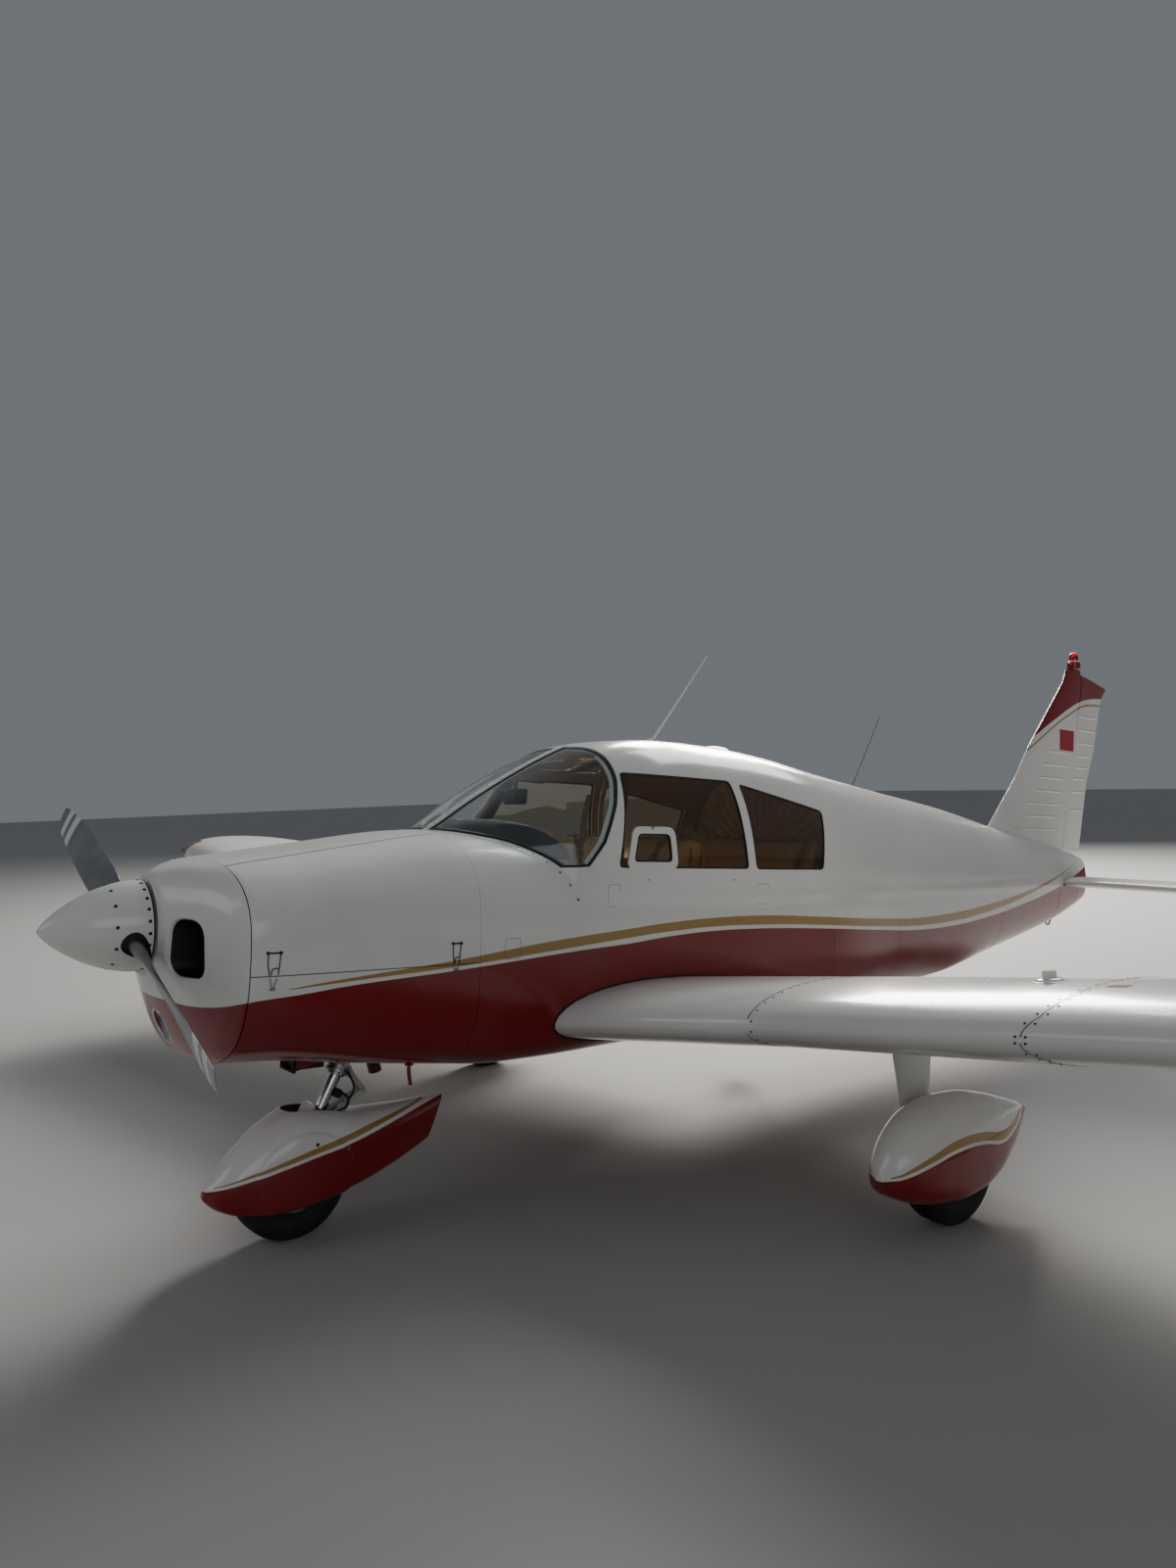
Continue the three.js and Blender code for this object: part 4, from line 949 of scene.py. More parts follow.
strutHole = tube([strutPoint(430), strutPoint(760)], 46, 40)
exhaustExit = box(1262, 1500, -215, 215, -640, -440)
scoopAt = {"front": 916, "back": 1062, "half": 58}
scoopHole = box(scoopAt["front"] + 8, scoopAt["back"] - 20, -scoopAt["half"] + 8, scoopAt["half"] - 8, -620, -430)
lower = cutMesh(keepMesh(cowl, box(0, 2000, -900, 900, -900, lidBottomZ - 1.5)), strutHole, exhaustExit, scoopHole)
makePiece("cowl_lower_skin", lower, ("body", "primer"), replaces="cowl_lower", field=hullField)

# Cabin: one shell with every opening cut, then the doors and glass from shells of the same skin
cabinXs = np.unique(np.concatenate([steps(firewallX + 0.2, 1430, 12), steps(1430, 2200, 14),
                                    steps(2200, cabinEnd - 0.2, 45)]))
cabinRings, cabinNormals = ringsOf(skinField, cabinXs, centreLine, 200)


def cabinShell(outer, inner):
    return shellMesh(cabinRings, cabinNormals, outer, inner)


# Lowest and highest y of a stretch on one side
def spanOf(side, a, b):
    return (min(side * a, side * b), max(side * a, side * b))


def sideCut(points, radius, side, corners=8):
    return prism(rounded(points, radius, corners), *spanOf(side, 20, 700))


def screenCut(distance, side, half=22):
    room = keepMesh(prism(shrunk(windscreenOutline, distance), *spanOf(side, half, 900)),
                    bodySolid(canopyField, 40, steps(1440, 2300, 20)))
    return cutMesh(room, bodySolid(hullField, distance, steps(1380, 2400, 40)))


cabinSolid = cabinShell(0, -fuselage["cabinWall"])
openings = [screenCut(0, -1), screenCut(0, 1), sideCut(frontWindow, 26, -1), sideCut(rearWindow, 26, -1),
            sideCut(rearWindow, 26, 1), sideCut(doorOutline, 60, 1), sideCut(baggageOutline, 60, 1)]
makePiece("cabin_skin", cutMesh(cabinSolid.copy(), *openings), ("body", "lining"), replaces="cabin_shell",
          field=skinField)


# A door's outline inside its opening, with more room at the rear
def freeOutline(outline, gap, rear):
    points = shrunk(outline, gap)
    middle = sum(p[0] for p in points) / len(points)
    return [(x - rear if x > middle else x, z) for x, z in points]


doorEdge = freeOutline(doorOutline, fuselage["doorGap"], 1.5)
door = cutMesh(keepMesh(cabinSolid.copy(), sideCut(doorEdge, 57, 1)), sideCut(doorWindow, 26, 1))
makePiece("cabin_door_skin", door, ("body", "lining"), "cabin_door", replaces="cabin_door", field=skinField)
baggageEdge = [(x, z - fuselage["baggageHingeRoom"] if z > 200 else z)
               for x, z in freeOutline(baggageOutline, fuselage["doorGap"], 5)]
baggage = keepMesh(cabinSolid.copy(), sideCut(baggageEdge, 57, 1))
makePiece("baggage_door_skin", baggage, ("body", "lining"), "baggage_door", replaces="baggage_door", field=skinField)

# Panes with a black seal round each
paneShell = cabinShell(-fuselage["glassInset"], -inward)
sealShell = cabinShell(-1.2, -inward - 3)


# The part of a shell inside one outline and outside another: how far each is drawn in, and its corner
def frameMesh(shell, outline, outer, inner, side):
    return cutMesh(keepMesh(shell, sideCut(shrunk(outline, outer[0]), outer[1], side)),
                   sideCut(shrunk(outline, inner[0]), inner[1], side))


def pane(name, outline, side, nodeName, body="airframe", hole=None):
    mesh = keepMesh(paneShell.copy(), sideCut(shrunk(outline, 5), 21, side))
    if hole:
        mesh = cutMesh(mesh, sideCut(hole, 36, side))
    makePiece(name, mesh, "tinted", body, nodeName, skinField)
    makePiece(name + "_seal", frameMesh(sealShell.copy(), outline, (0.4, 26), (8, 18), side), "rubber", body,
              field=skinField)


pane("front_left_pane", frontWindow, -1, "window_front_left", hole=shrunk(stormOutline, 4))
pane("rear_left_pane", rearWindow, -1, "window_rear_left")
pane("rear_right_pane", rearWindow, 1, "window_rear_right")
pane("door_pane", doorWindow, 1, "door_window", "cabin_door")

# Storm window: white frame, black seal, small tinted pane and a knob
inside = shrunk(stormOutline, 30)
stormFrame = frameMesh(cabinShell(2, -11), stormOutline, (1, 40), (30, 24), -1)
makePiece("storm_window_frame", stormFrame, "white", replaces="storm_window", field=skinField)
stormSeal = frameMesh(cabinShell(0.6, -9), inside, (0.2, 24), (7, 18), -1)
makePiece("storm_window_seal", stormSeal, "rubber", field=skinField)
stormPane = keepMesh(cabinShell(-2, -6), sideCut(shrunk(inside, 5), 20, -1))
makePiece("storm_window_pane", stormPane, "tinted", field=skinField)

# Windscreen halves and their seals
screenXs = steps(1440, 2300, 12)
screenRings, screenNormals = ringsOf(canopyField, screenXs, centreLine, 200)
for side, name in bothSides:
    glass = keepMesh(shellMesh(screenRings, screenNormals, -3, -9), screenCut(4, side, 26))
    makePiece(f"windscreen_{name}_pane", glass, "clear", replaces=f"windscreen_{name}", field=canopyField)
    ring = keepMesh(shellMesh(screenRings, screenNormals, -1, -12), screenCut(0.4, side, 22.4))
    ring = cutMesh(ring, screenCut(9, side, 30))
    makePiece(f"windscreen_{name}_seal", ring, "rubber", field=canopyField)

# Tail: shell and end cap
tailXs = np.unique(np.concatenate([steps(cabinEnd + 0.2, 6300, 60), steps(6300, tailCapX - cut, 30)]))
tail = skinShell(tailXs, 0, -fuselage["tailWall"], sides=160)
stabTube = tube([(6515, -300, 76), (6515, 300, 76)], 35, 40)
makePiece("tail_skin", cutMesh(tail, stabTube), ("body", "primer"), replaces="tail_cone", field=skinField)
rings, normals = ringsOf(skinField, steps(tailCapX + cut, tailEnd - 8, 14), centreLine, 120)
last = rings[-1]
middle = last.mean(0)
capRings = list(rings) + [middle + (last - middle) * s + [d, 0, 0] for s, d in
                          ((0.97, 3), (0.88, 5.5), (0.7, 7.2), (0.4, 8), (0.12, 8.2))]
makePiece("tail_cap_skin", loftMesh(capRings), "body", replaces="tail_cap", smooth=40)
print("fuselage ready")

# Wings, flaps and ailerons
wing = {
    "dihedral": math.radians(7),
    "incidence": math.radians(2),
    "leadX": 1991,
    "rootZ": -443,
    "flap": (575, 2690),
    "aileron": (2712, 4290),
    "hingeX": 3271,
    "hingeRise": 26,
    "noseRadius": 50.4,  # round front of flap and aileron
    "bedRadius": 54,  # hollow in the wing that they turn in
}
wingPlan = [(360, 1706, 1885, 240), (1321, 1991, 1600, 240), (4300, 1991, 1600, 240), (4380, 1995, 1592, 234),
            (4440, 2006, 1572, 218), (4490, 2026, 1538, 194), (4525, 2052, 1494, 168), (4550, 2084, 1436, 136),
            (4565, 2120, 1376, 100), (4571, 2160, 1300, 58)]


def halfThickness(u):
    return 5 * (0.2969 * np.sqrt(u) - 0.126 * u - 0.3516 * u**2 + 0.2843 * u**3 - 0.1015 * u**4)


def camberLine(u):
    v = np.clip(u, 1e-9, 1 - 1e-9)
    return -(0.4 / (4 * np.pi)) * (v * np.log(v) + (1 - v) * np.log(1 - v))


# Points round a wing section: along the chord and above it, from the tail over the top and back
def sectionPoints(chord, thickness, cambered, half=22):
    k = np.arange(0, half + 1)
    u = (1 - np.cos(np.pi * k / half)) / 2
    camber = chord * camberLine(u) if cambered else u * 0
    top = np.stack([u * chord, camber + thickness * halfThickness(u)], 1)[::-1]
    low = np.stack([u * chord, camber - thickness * halfThickness(u)], 1)[1:]
    return np.concatenate([top, low])


def wingZ(x, y):
    return wing["rootZ"] + np.abs(y) * math.tan(wing["dihedral"]) - (x - wing["leadX"]) * math.tan(wing["incidence"])


# Leading edge, chord or trailing edge, and thickness of a plan
def planAt(plan, at):
    return [tableAt(plan, at, i) for i in (1, 2, 3)]


def wingRing(y, side):
    lead, chord, thickness = planAt(wingPlan, y)
    points = sectionPoints(chord, thickness, True)
    x = lead + points[:, 0]
    return np.stack([x, np.full(len(x), side * y), wingZ(x, y) + points[:, 1]], 1)


# A point on the wing's skin and the direction out of it
def onWing(x, y, side, upper=True):
    x, y = np.broadcast_arrays(np.asarray(x, float), np.asarray(y, float))
    edge = 1 if upper else -1

    def height(a, b):
        lead, chord, thickness = planAt(wingPlan, b)
        u = np.clip((a - lead) / chord, 1e-5, 1)
        return wingZ(a, b) + chord * camberLine(u) + edge * thickness * halfThickness(u)

    z = height(x, y)
    dx = (height(x + 1, y) - height(x - 1, y)) / 2
    dy = (height(x, y + 1) - height(x, y - 1)) / 2
    normal = np.stack([-dx, -dy * side, np.ones_like(z)], -1) * edge
    normal /= np.linalg.norm(normal, axis=-1, keepdims=True)
    return np.stack([x, side * y, z], -1), normal


def hingeLine(y, side):
    return (wing["hingeX"], side * y, wingZ(wing["hingeX"], y) + wing["hingeRise"])


# Box behind the hinge line over a stretch of one wing
def behindHinge(side, a, b):
    return box(wing["hingeX"], 9000, *spanOf(side, a, b), -900, 900)


wingStations = np.concatenate([[360], np.linspace(420, 1321, 12)[:-1], [1321], np.linspace(1400, 4300, 22),
                               [p[0] for p in wingPlan[3:]]])
bodyPlug = bodySolid(skinField, 0.5, steps(1600, 3700, 60))
for side, name in bothSides:
    rings = [wingRing(y, side) for y in wingStations]
    last, middle = rings[-1], rings[-1].mean(0)
    rings.append(middle + (last - middle) * [0.8, 1, 0.5] + [0, side * 0.9, 0])
    blank = loftMesh(rings)
    coveEnd = wing["aileron"][1] + 3
    bed = tube([hingeLine(300, side), hingeLine(coveEnd, side)], wing["bedRadius"], 48)
    below = [(x, y, z - 3) for x, y, z in (hingeLine(300, side), hingeLine(wing["flap"][1] + 3, side))]
    flapRoom = tube(below, wing["bedRadius"], 48)  # the flap's lower skin swings through here at full travel
    panel = cutMesh(blank.copy(), behindHinge(side, 300, coveEnd), bed, flapRoom, bodyPlug.copy())
    makePiece(f"wing_{name}_skin", panel, "white", replaces=f"wing_{name}", smooth=42)
    for kind in ("flap", "aileron"):
        span = wing[kind]
        nose = keepMesh(tube([hingeLine(span[0] - 60, side), hingeLine(span[1] + 60, side)], wing["noseRadius"], 64),
                        box(0, 9000, *spanOf(side, *span), -900, 900))
        surface = boolMesh(keepMesh(blank.copy(), behindHinge(side, *span)), ("UNION", nose))
        makePiece(f"{kind}_{name}_skin", surface, "white", f"{kind}_{name}", replaces=f"{kind}_{name}", smooth=42)
        beads = []  # pressed across the sheet
        for y in np.arange(span[0] + 70, span[1] - 40, 105 if kind == "flap" else 118):
            for upper in (True, False):
                xs = np.linspace(wing["hingeX"] + 40, 3545, 14)
                p, n = onWing(xs, y, side, upper)
                beads.append(ribbon(p, n, np.interp(xs, [3311, 3345, 3500, 3545], [1, 9, 7, 1]), 0.6, 1.0, 1.6))
        makePiece(f"{kind}_{name}_beads", beads, "white", f"{kind}_{name}", smooth=60)

# Fin and rudder
finSections = [(150, 5330, 6700, 101), (200, 5360, 6720, 100), (427, 5585, 6770, 92), (759, 5900, 6840, 78),
               (991, 6074, 6936, 68), (1334, 6393, 7026, 55), (1400, 6452, 7060, 52), (1456, 6502, 7112, 48),
               (1535, 6534, 7112, 34), (1552, 6552, 7109, 25), (1560, 6566, 7106, 14), (1563, 6590, 7100, 5)]
rudderHinge = {"x": 6497, "z": 287, "slope": 0.1903, "noseLow": 23, "noseHigh": 21, "room": 7}


def hingeX(z):
    return rudderHinge["x"] + (z - rudderHinge["z"]) * rudderHinge["slope"]


def finRing(z):
    lead, trail, thickness = planAt(finSections, z)
    points = sectionPoints(trail - lead, thickness, False, 20)
    return np.stack([lead + points[:, 0], points[:, 1], np.full(len(points), z)], 1)


def onFin(x, z, side):
    x, z = np.broadcast_arrays(np.asarray(x, float), np.asarray(z, float))

    def width(a, c):
        lead, trail, thickness = planAt(finSections, c)
        return thickness * halfThickness(np.clip((a - lead) / (trail - lead), 1e-5, 1))

    y = width(x, z)
    dx, dz = (width(x + 1, z) - width(x - 1, z)) / 2, (width(x, z + 1) - width(x, z - 1)) / 2
    normal = np.stack([-dx, np.ones_like(y) * side, -dz], -1)
    normal /= np.linalg.norm(normal, axis=-1, keepdims=True)
    return np.stack([x, side * y, z], -1), normal


finLevels = np.unique(np.concatenate([[p[0] for p in finSections], np.linspace(200, 1400, 20)]))
finBlank = loftMesh([finRing(z) for z in finLevels])
aft = prism([(hingeX(0) + 1, 0), (9000, 0), (9000, 1700), (hingeX(1700) + 1, 1700)], -200, 200)


def hingeCone(room):
    return tube([(hingeX(z), 0, z) for z in (200, 1600)],
                (rudderHinge["noseLow"] + room, rudderHinge["noseHigh"] + room), 40)


tailPlug = bodySolid(skinField, 0.5, steps(5100, 6760, 60))
makePiece("fin_skin", cutMesh(finBlank.copy(), aft, hingeCone(rudderHinge["room"]), tailPlug.copy()), "fin",
          replaces="fin", smooth=42)
rudderShape = [(6300, 301), (9000, 301), (9000, 1410), (7112, 1455), (6600, 1536), (6300, 1580)]
rudder = boolMesh(keepMesh(finBlank.copy(), aft), ("UNION", keepMesh(hingeCone(0), finBlank.copy())))
rudder = keepMesh(rudder, prism(rudderShape, -200, 200))
makePiece("rudder_skin", rudder, "fin", "rudder", replaces="rudder", smooth=42)
beads = []
for z in (567, 694, 785, 866, 948, 1037, 1131, 1226):
    for side in (-1, 1):
        p, n = onFin(np.linspace(hingeX(z) + 26, tableAt(finSections, z, 2) - 14, 14), z, side)
        beads.append(ribbon(p, n, np.interp(np.arange(14), [0, 1, 11, 13], [1, 15, 12, 1]), 0.6, 1.0, 4.4))
makePiece("rudder_beads", beads, "fin", "rudder", smooth=60)

# Stabilator in one piece with its tube, and its tab
stabilator = {"z": 76, "axisX": 6515, "tabX": 6915, "tabHalf": 1170, "tabNose": 17.2, "tabBed": 20.5}
stabPlan = [(0, 6325, 762, 72), (1455, 6325, 762, 72), (1478, 6332, 752, 68), (1495, 6346, 726, 60),
            (1508, 6366, 686, 48), (1518, 6392, 634, 33), (1523, 6420, 560, 16)]


def stabRing(y):
    lead, chord, thickness = planAt(stabPlan, abs(y))
    points = sectionPoints(chord, thickness, False, 20)
    return np.stack([lead + points[:, 0], np.full(len(points), y), stabilator["z"] + points[:, 1]], 1)


def crossTube(x, half, radius, sides):
    return tube([(x, -half, stabilator["z"]), (x, half, stabilator["z"])], radius, sides)


levels = [p[0] for p in stabPlan][1:]
stations = np.concatenate([-np.array(levels[::-1]), np.linspace(-1400, 1400, 19), levels])
stab = loftMesh([stabRing(y) for y in stations])
tabX, tabHalf = stabilator["tabX"], stabilator["tabHalf"]
root = box(6200, 6850, -122, 122, -900, 900)
tabRoom = box(tabX, 9000, -tabHalf - 4, tabHalf + 4, -900, 900)
fixed = cutMesh(stab.copy(), root, tabRoom, crossTube(tabX, tabHalf + 4, stabilator["tabBed"], 32))
fixed = boolMesh(fixed, ("UNION", crossTube(stabilator["axisX"], 160, 30, 40)))
makePiece("stabilator_skin", fixed, "white", "stabilator", replaces="stabilator", smooth=42)
tab = keepMesh(stab.copy(), box(tabX, 9000, -tabHalf, tabHalf, -900, 900))
tab = boolMesh(tab, ("UNION", crossTube(tabX, tabHalf, stabilator["tabNose"], 32)))
makePiece("stabilator_tab_skin", tab, "white", "stabilator_tab", replaces="stabilator_tab", smooth=42)
print("wings and tail ready")

# Propeller and spinner
propeller = {
    "x": 315,
    "tilt": math.radians(2),
    "turn": math.radians(67.25),
    "spinnerTip": 39,
    "spinnerLength": 324,
    "spinnerRadius": 156,
    "spinnerFullness": 0.72,
    "stripes": ((742, 790), (822, 862)),  # two lighter bands near each tip
}
shaftTilt = propeller["tilt"]
shaftAxis = Vector((math.cos(shaftTilt), 0, math.sin(shaftTilt)))
tipX, spinnerLength = propeller["spinnerTip"], propeller["spinnerLength"]


def shaftPoint(x):
    return Vector((tipX, 0, 0)) + shaftAxis * (x - tipX)


# The spinner's radius at a share of its length
def spinnerRadius(share):
    return propeller["spinnerRadius"] * math.sin(math.pi / 2 * share) ** propeller["spinnerFullness"]


bladeSections = [(60, 84, 62, 48), (110, 88, 56, 46), (170, 96, 44, 44), (235, 110, 34, 39), (300, 124, 27, 34),
                 (375, 134, 22, 30), (450, 140, 19, 26), (535, 141, 16, 23), (620, 138, 14, 20), (700, 131, 12, 18),
                 (780, 120, 10, 16.5), (830, 111, 9, 15.7), (870, 101, 8, 15), (895, 92, 7, 14.7), (908, 84, 5.6, 14.5),
                 (915, 75, 4.2, 14.5), (918, 64, 2.6, 14.5)]


def bladeMesh(turn, grow=0.0, count=16):
    turning = Matrix.Rotation(-shaftTilt, 3, "Y") @ Matrix.Rotation(-turn, 3, "X")
    rings = []
    for radius, chord, thickness, pitch in bladeSections:
        angle = math.radians(pitch)
        ring = []
        for along, rise in sectionPoints(chord + 2 * grow, thickness + 2 * grow, False, count):
            inPlane = 0.4 * chord + grow - along
            y = inPlane * math.cos(angle) + rise * math.sin(angle)
            x = -inPlane * math.sin(angle) + rise * math.cos(angle)
            ring.append(tuple(turning @ Vector((x, y, radius)) + shaftPoint(propeller["x"])))
        rings.append(ring)
    return loftMesh(rings)


turns = (propeller["turn"], propeller["turn"] + math.pi)
hub = tube([shaftPoint(272), shaftPoint(372)], 60, 48)
blades = boolMesh(bladeMesh(turns[0]), ("UNION", bladeMesh(turns[1])), ("UNION", hub))


def makeBladeMetal():
    material, tree, shader = newMaterial("bladeFinish")
    place = node(tree, "TexCoord").outputs["Object"]
    x, y, z = airframeVector(tree)
    squares = math2(tree, "ADD", math2(tree, "MULTIPLY", y, y), math2(tree, "MULTIPLY", z, z))
    radius = math2(tree, "SQRT", squares)
    inner, outer = (between(tree, radius, *band) for band in propeller["stripes"])
    bands = math2(tree, "ADD", inner, outer)
    tone = node(tree, "TexNoise", {"Vector": place, "Scale": 9.0, "Detail": 4.0}).outputs["Fac"]
    base = mixColor(tree, tone, rgb("#7d8083"), rgb("#a5a8ab"))
    tree.links.new(mixColor(tree, bands, base, rgb("#e6e4df")), shader.inputs["Base Color"])
    metal = math2(tree, "MULTIPLY_ADD", bands, -0.8, 0.9)
    tree.links.new(metal, shader.inputs["Metallic"])
    unevenShader(tree, shader, place, grain=420.0, wave=5.0, grainHeight=0.1, waveHeight=0.05, roughness=0.3,
                 spread=0.2)
    return material


finish["blade"] = makeBladeMetal()
makePiece("propeller_blades", blades, "blade", "propeller", "propeller", smooth=26)
rows = [(0.0, 0.6)]
for i in range(1, 41):
    share = (i / 40) ** 1.6
    rows.append((share * spinnerLength, spinnerRadius(share)))
rows += [(spinnerLength, 150), (spinnerLength - 6, 149)]
rows += [(max(share * spinnerLength - 2, 4), spinnerRadius(share) - 5) for share in (0.95, 0.8, 0.6, 0.4, 0.2, 0.08)]
shell = cutMesh(turned(shaftPoint(tipX), shaftAxis, rows, 96), *(bladeMesh(turn, 17, 12) for turn in turns))
makePiece("spinner_shell", shell, "white", "propeller", "spinner", smooth=32)
backing = turned(shaftPoint(354), shaftAxis, [(0, 62), (0, 152), (6, 153.5), (9, 153.5), (9, 62)], 96)
makePiece("spinner_backing", backing, "dark", "propeller", smooth=40)
linerRows = [(max(share * spinnerLength, 8), max(spinnerRadius(share) - 8, 1))
             for share in np.linspace(0.05, 0.985, 24)]
liner = turned(shaftPoint(tipX), shaftAxis, linerRows + [(a, max(b - 2, 0.5)) for a, b in linerRows[::-1]], 72)
makePiece("spinner_liner", liner, "black", "propeller", smooth=40)
points, normals = [], []
for ring, count in ((0.66, 12), (0.965, 24)):
    ahead = (spinnerRadius(ring + 0.01) - spinnerRadius(ring - 0.01)) / (0.02 * spinnerLength)
    side = shaftAxis.orthogonal().normalized()
    other = shaftAxis.cross(side)
    for j in range(count):
        a = 2 * math.pi * (j + 0.35) / count
        out = side * math.cos(a) + other * math.sin(a)
        points.append(tuple(shaftPoint(tipX + ring * spinnerLength) + out * spinnerRadius(ring)))
        normals.append(tuple((out - shaftAxis * ahead).normalized()))
makePiece("spinner_screws", heads(points, normals, 6.2, 1.2, 12), "dark", "propeller", smooth=40)
print("propeller ready")

# Landing gear
gear = {
    "tyreRadius": 216,
    "groove": 5.5,
    "fairingWall": 4,
    "mainAxle": (2820, 1547, -819.2),
    "noseAxle": (935, 0, -945.9),
    "legY": 1415,
    "legTop": (2762, -300),
}
noseFairingSections = [
    (612, -945, -955, -968, 14, 2.0, 2.4), (622, -926, -952, -980, 27, 2.1, 3.0),
    (644, -900, -950, -1000, 52, 2.1, 4.0), (680, -856, -940, -1017, 78, 2.2, 5.0),
    (724, -812, -930, -1030, 98, 2.2, 6.0), (834, -722, -905, -1036, 126, 2.3, 7.0),
    (944, -682, -880, -1030, 135, 2.6, 7.0), (1074, -700, -850, -1010, 132, 2.6, 7.0),
    (1204, -724, -830, -982, 116, 2.3, 7.0), (1364, -726, -800, -935, 86, 2.2, 6.0),
    (1480, -723, -780, -895, 50, 2.1, 6.0), (1596, -724, -768, -852, 9, 2.0, 4.0),
]
mainFairingSections = [
    (2405, -788, -806, -822, 14, 2.0, 2.2), (2418, -764, -804, -838, 34, 2.1, 2.6),
    (2440, -715, -800, -868, 66, 2.1, 3.2), (2520, -634, -785, -900, 106, 2.2, 4.0),
    (2630, -580, -765, -916, 128, 2.3, 5.0), (2750, -560, -748, -920, 134, 2.3, 6.0),
    (2880, -562, -735, -908, 130, 2.3, 6.0),
    (3010, -582, -722, -880, 114, 2.3, 5.0), (3140, -615, -710, -825, 82, 2.3, 4.0),
    (3260, -652, -698, -755, 42, 2.2, 3.0), (3330, -682, -694, -708, 12, 2.0, 2.0),
]


def smoothStep(value):
    value = np.clip(value, 0, 1)
    return value * value * (3 - 2 * value)


def noseFairingField(x, y, z):
    field = sectionField(noseFairingSections, x, y, z)
    reach = np.hypot(np.asarray(x) - 955, (np.asarray(z) + 925) * 1.15)
    bulge = smoothStep((196 - reach) / 16) * smoothStep((np.abs(y) - 40) / 40)
    return field - 6.0 * bulge


def mainFairingField(centreY):
    def field(x, y, z):
        base = sectionField(mainFairingSections, x, y, z, centreY)
        crease = np.interp(x, [2400, 2520, 2750, 3010, 3330], [-806, -772, -735, -716, -694])
        above = smoothStep((np.asarray(z) - crease) / 14)
        return base + above * np.interp(x, [2405, 2500, 2900, 3200, 3330], [0, 3.5, 5, 4, 0])
    return field


def tyreRoom(x, y, z):
    rows = [(-82, 0.5), (-82, 160), (-70, 203), (-38, 222), (38, 222), (70, 203), (82, 160), (82, 0.5)]
    return turned((x, y, z), (0, 1, 0), rows, 96)


# Closed end of a fairing: its last ring drawn in, forwards or aft
def fairingTip(ring, way):
    middle = ring.mean(0)
    return loftMesh([ring] + [middle + (ring - middle) * share + [way * far, 0, 0]
                              for share, far in ((0.5, 1.5), (0.1, 2))])


noseXs = np.concatenate([[612, 616, 622, 632, 644], steps(656, 1596, 14)])
noseLine = [(612, -957), (724, -925), (944, -870), (1204, -840), (1596, -775)]
rings, normals = ringsOf(noseFairingField, noseXs, noseLine, 120, 0, 400)
shell = shellMesh(rings, normals, 0, -gear["fairingWall"])
endCut = prism([(1598, -700), (1640, -700), (1640, -1100), (1470, -1100), (1497, -896)], -200, 200)
topSlot = prism(rounded([(912, -56), (1118, -58), (1142, 0), (1118, 58), (912, 56), (896, 0)],
                        (30, 20, 20, 20, 30, 20), 6), -790, -500, "xy")
bottomSlot = prism(rounded([(700, -94), (1166, -94), (1166, 94), (700, 94)], (60, 14, 14, 60), 6), -1100, -1000, "xy")
fairing = cutMesh(shell, tyreRoom(*gear["noseAxle"]), topSlot, bottomSlot, endCut)
makePiece("nose_fairing_skin", fairing, ("noseFairing", "primer"), "nose_leg", replaces="nose_fairing",
          field=noseFairingField)
makePiece("nose_fairing_tip", fairingTip(rings[0], -1), "red", "nose_leg", smooth=60)

mainXs = np.concatenate([[2405, 2410, 2418, 2428, 2440], steps(2452, 3330, 14)])
mainLine = [(2405, -806), (2520, -775), (2750, -740), (3010, -722), (3330, -694)]
legLevels = [(-285, 268, 75), (-300, 262, 74), (-420, 240, 72), (-520, 205, 69), (-640, 165, 66)]


# Middle of the main leg at a height, on the line from its top to the axle
def legX(z):
    (topX, topZ), (axleX, _, axleZ) = gear["legTop"], gear["mainAxle"]
    return topX + (axleX - topX) * (topZ - z) / (topZ - axleZ)


def legRing(y, z, chord, thick, power=1.55, count=48):
    ring = []
    for i in range(count):
        a = 2 * math.pi * i / count
        c, s = math.cos(a), math.sin(a)
        across = math.copysign(abs(s) ** (2 / power), s)
        ring.append((legX(z) + chord / 2 * math.copysign(abs(c) ** (2 / 1.9), c), y + thick / 2 * across, z))
    return ring


tyreSide = [(-58, 112), (-66, 122), (-73, 138), (-76, 152), (-75, 166), (-71, 182), (-64, 197), (-57, 206), (-52, 210)]
tread = list(tyreSide)  # across the tyre, radius
for centre in (-36, -12, 12, 36):
    base = gear["tyreRadius"] - (abs(centre) / 60) ** 2 * 4
    tread += [(centre + w, base - deep) for w, deep in ((-4.2, 0), (-3.2, gear["groove"]), (3.2, gear["groove"]),
                                                        (4.2, 0))]
tread += [(-w, r) for w, r in tyreSide[::-1]]
rim = [(60, 112), (58, 104), (50, 101), (34, 98), (30, 84), (28, 64), (36, 50), (52, 44), (56, 38), (56, 22)]


def wheelPieces(name, axle, body):
    x, y, z = axle
    axis, start = Vector((0, 1, 0)), Vector((x, y, z))
    tyre = turned(start, axis, tread + [(tread[-1][0] - 8, 108), (tread[0][0] + 8, 108)] + [tread[0]], 128)
    for vertex in tyre.vertices:  # pressed flat where it stands
        here = rowPoint(*vertex.co)
        if here.z < 0.0005:
            here.z = 0.0004
            vertex.co = fromRow @ here
    makePiece(f"{name}_tyre", tyre, "rubber", body, name, smooth=34)
    sides = []
    for side in (-1, 1):
        rows = [(side * w, r) for w, r in rim]
        rows += [(side * (w - 5 if w > 6 else w), r) for w, r in rim[::-1]]
        sides.append(turned(start, axis, rows + [rows[0]], 72))
        for i in range(6):
            a = 2 * math.pi * i / 6
            at = start + Vector((math.cos(a) * 72, side * 27, math.sin(a) * 72))
            sides.append(turned(at, axis * side, [(0, 7), (6, 7), (7, 5.5), (9, 5.5), (9, 0.2)], 6))
    makePiece(f"{name}_hub", sides, "metal", body, smooth=34)


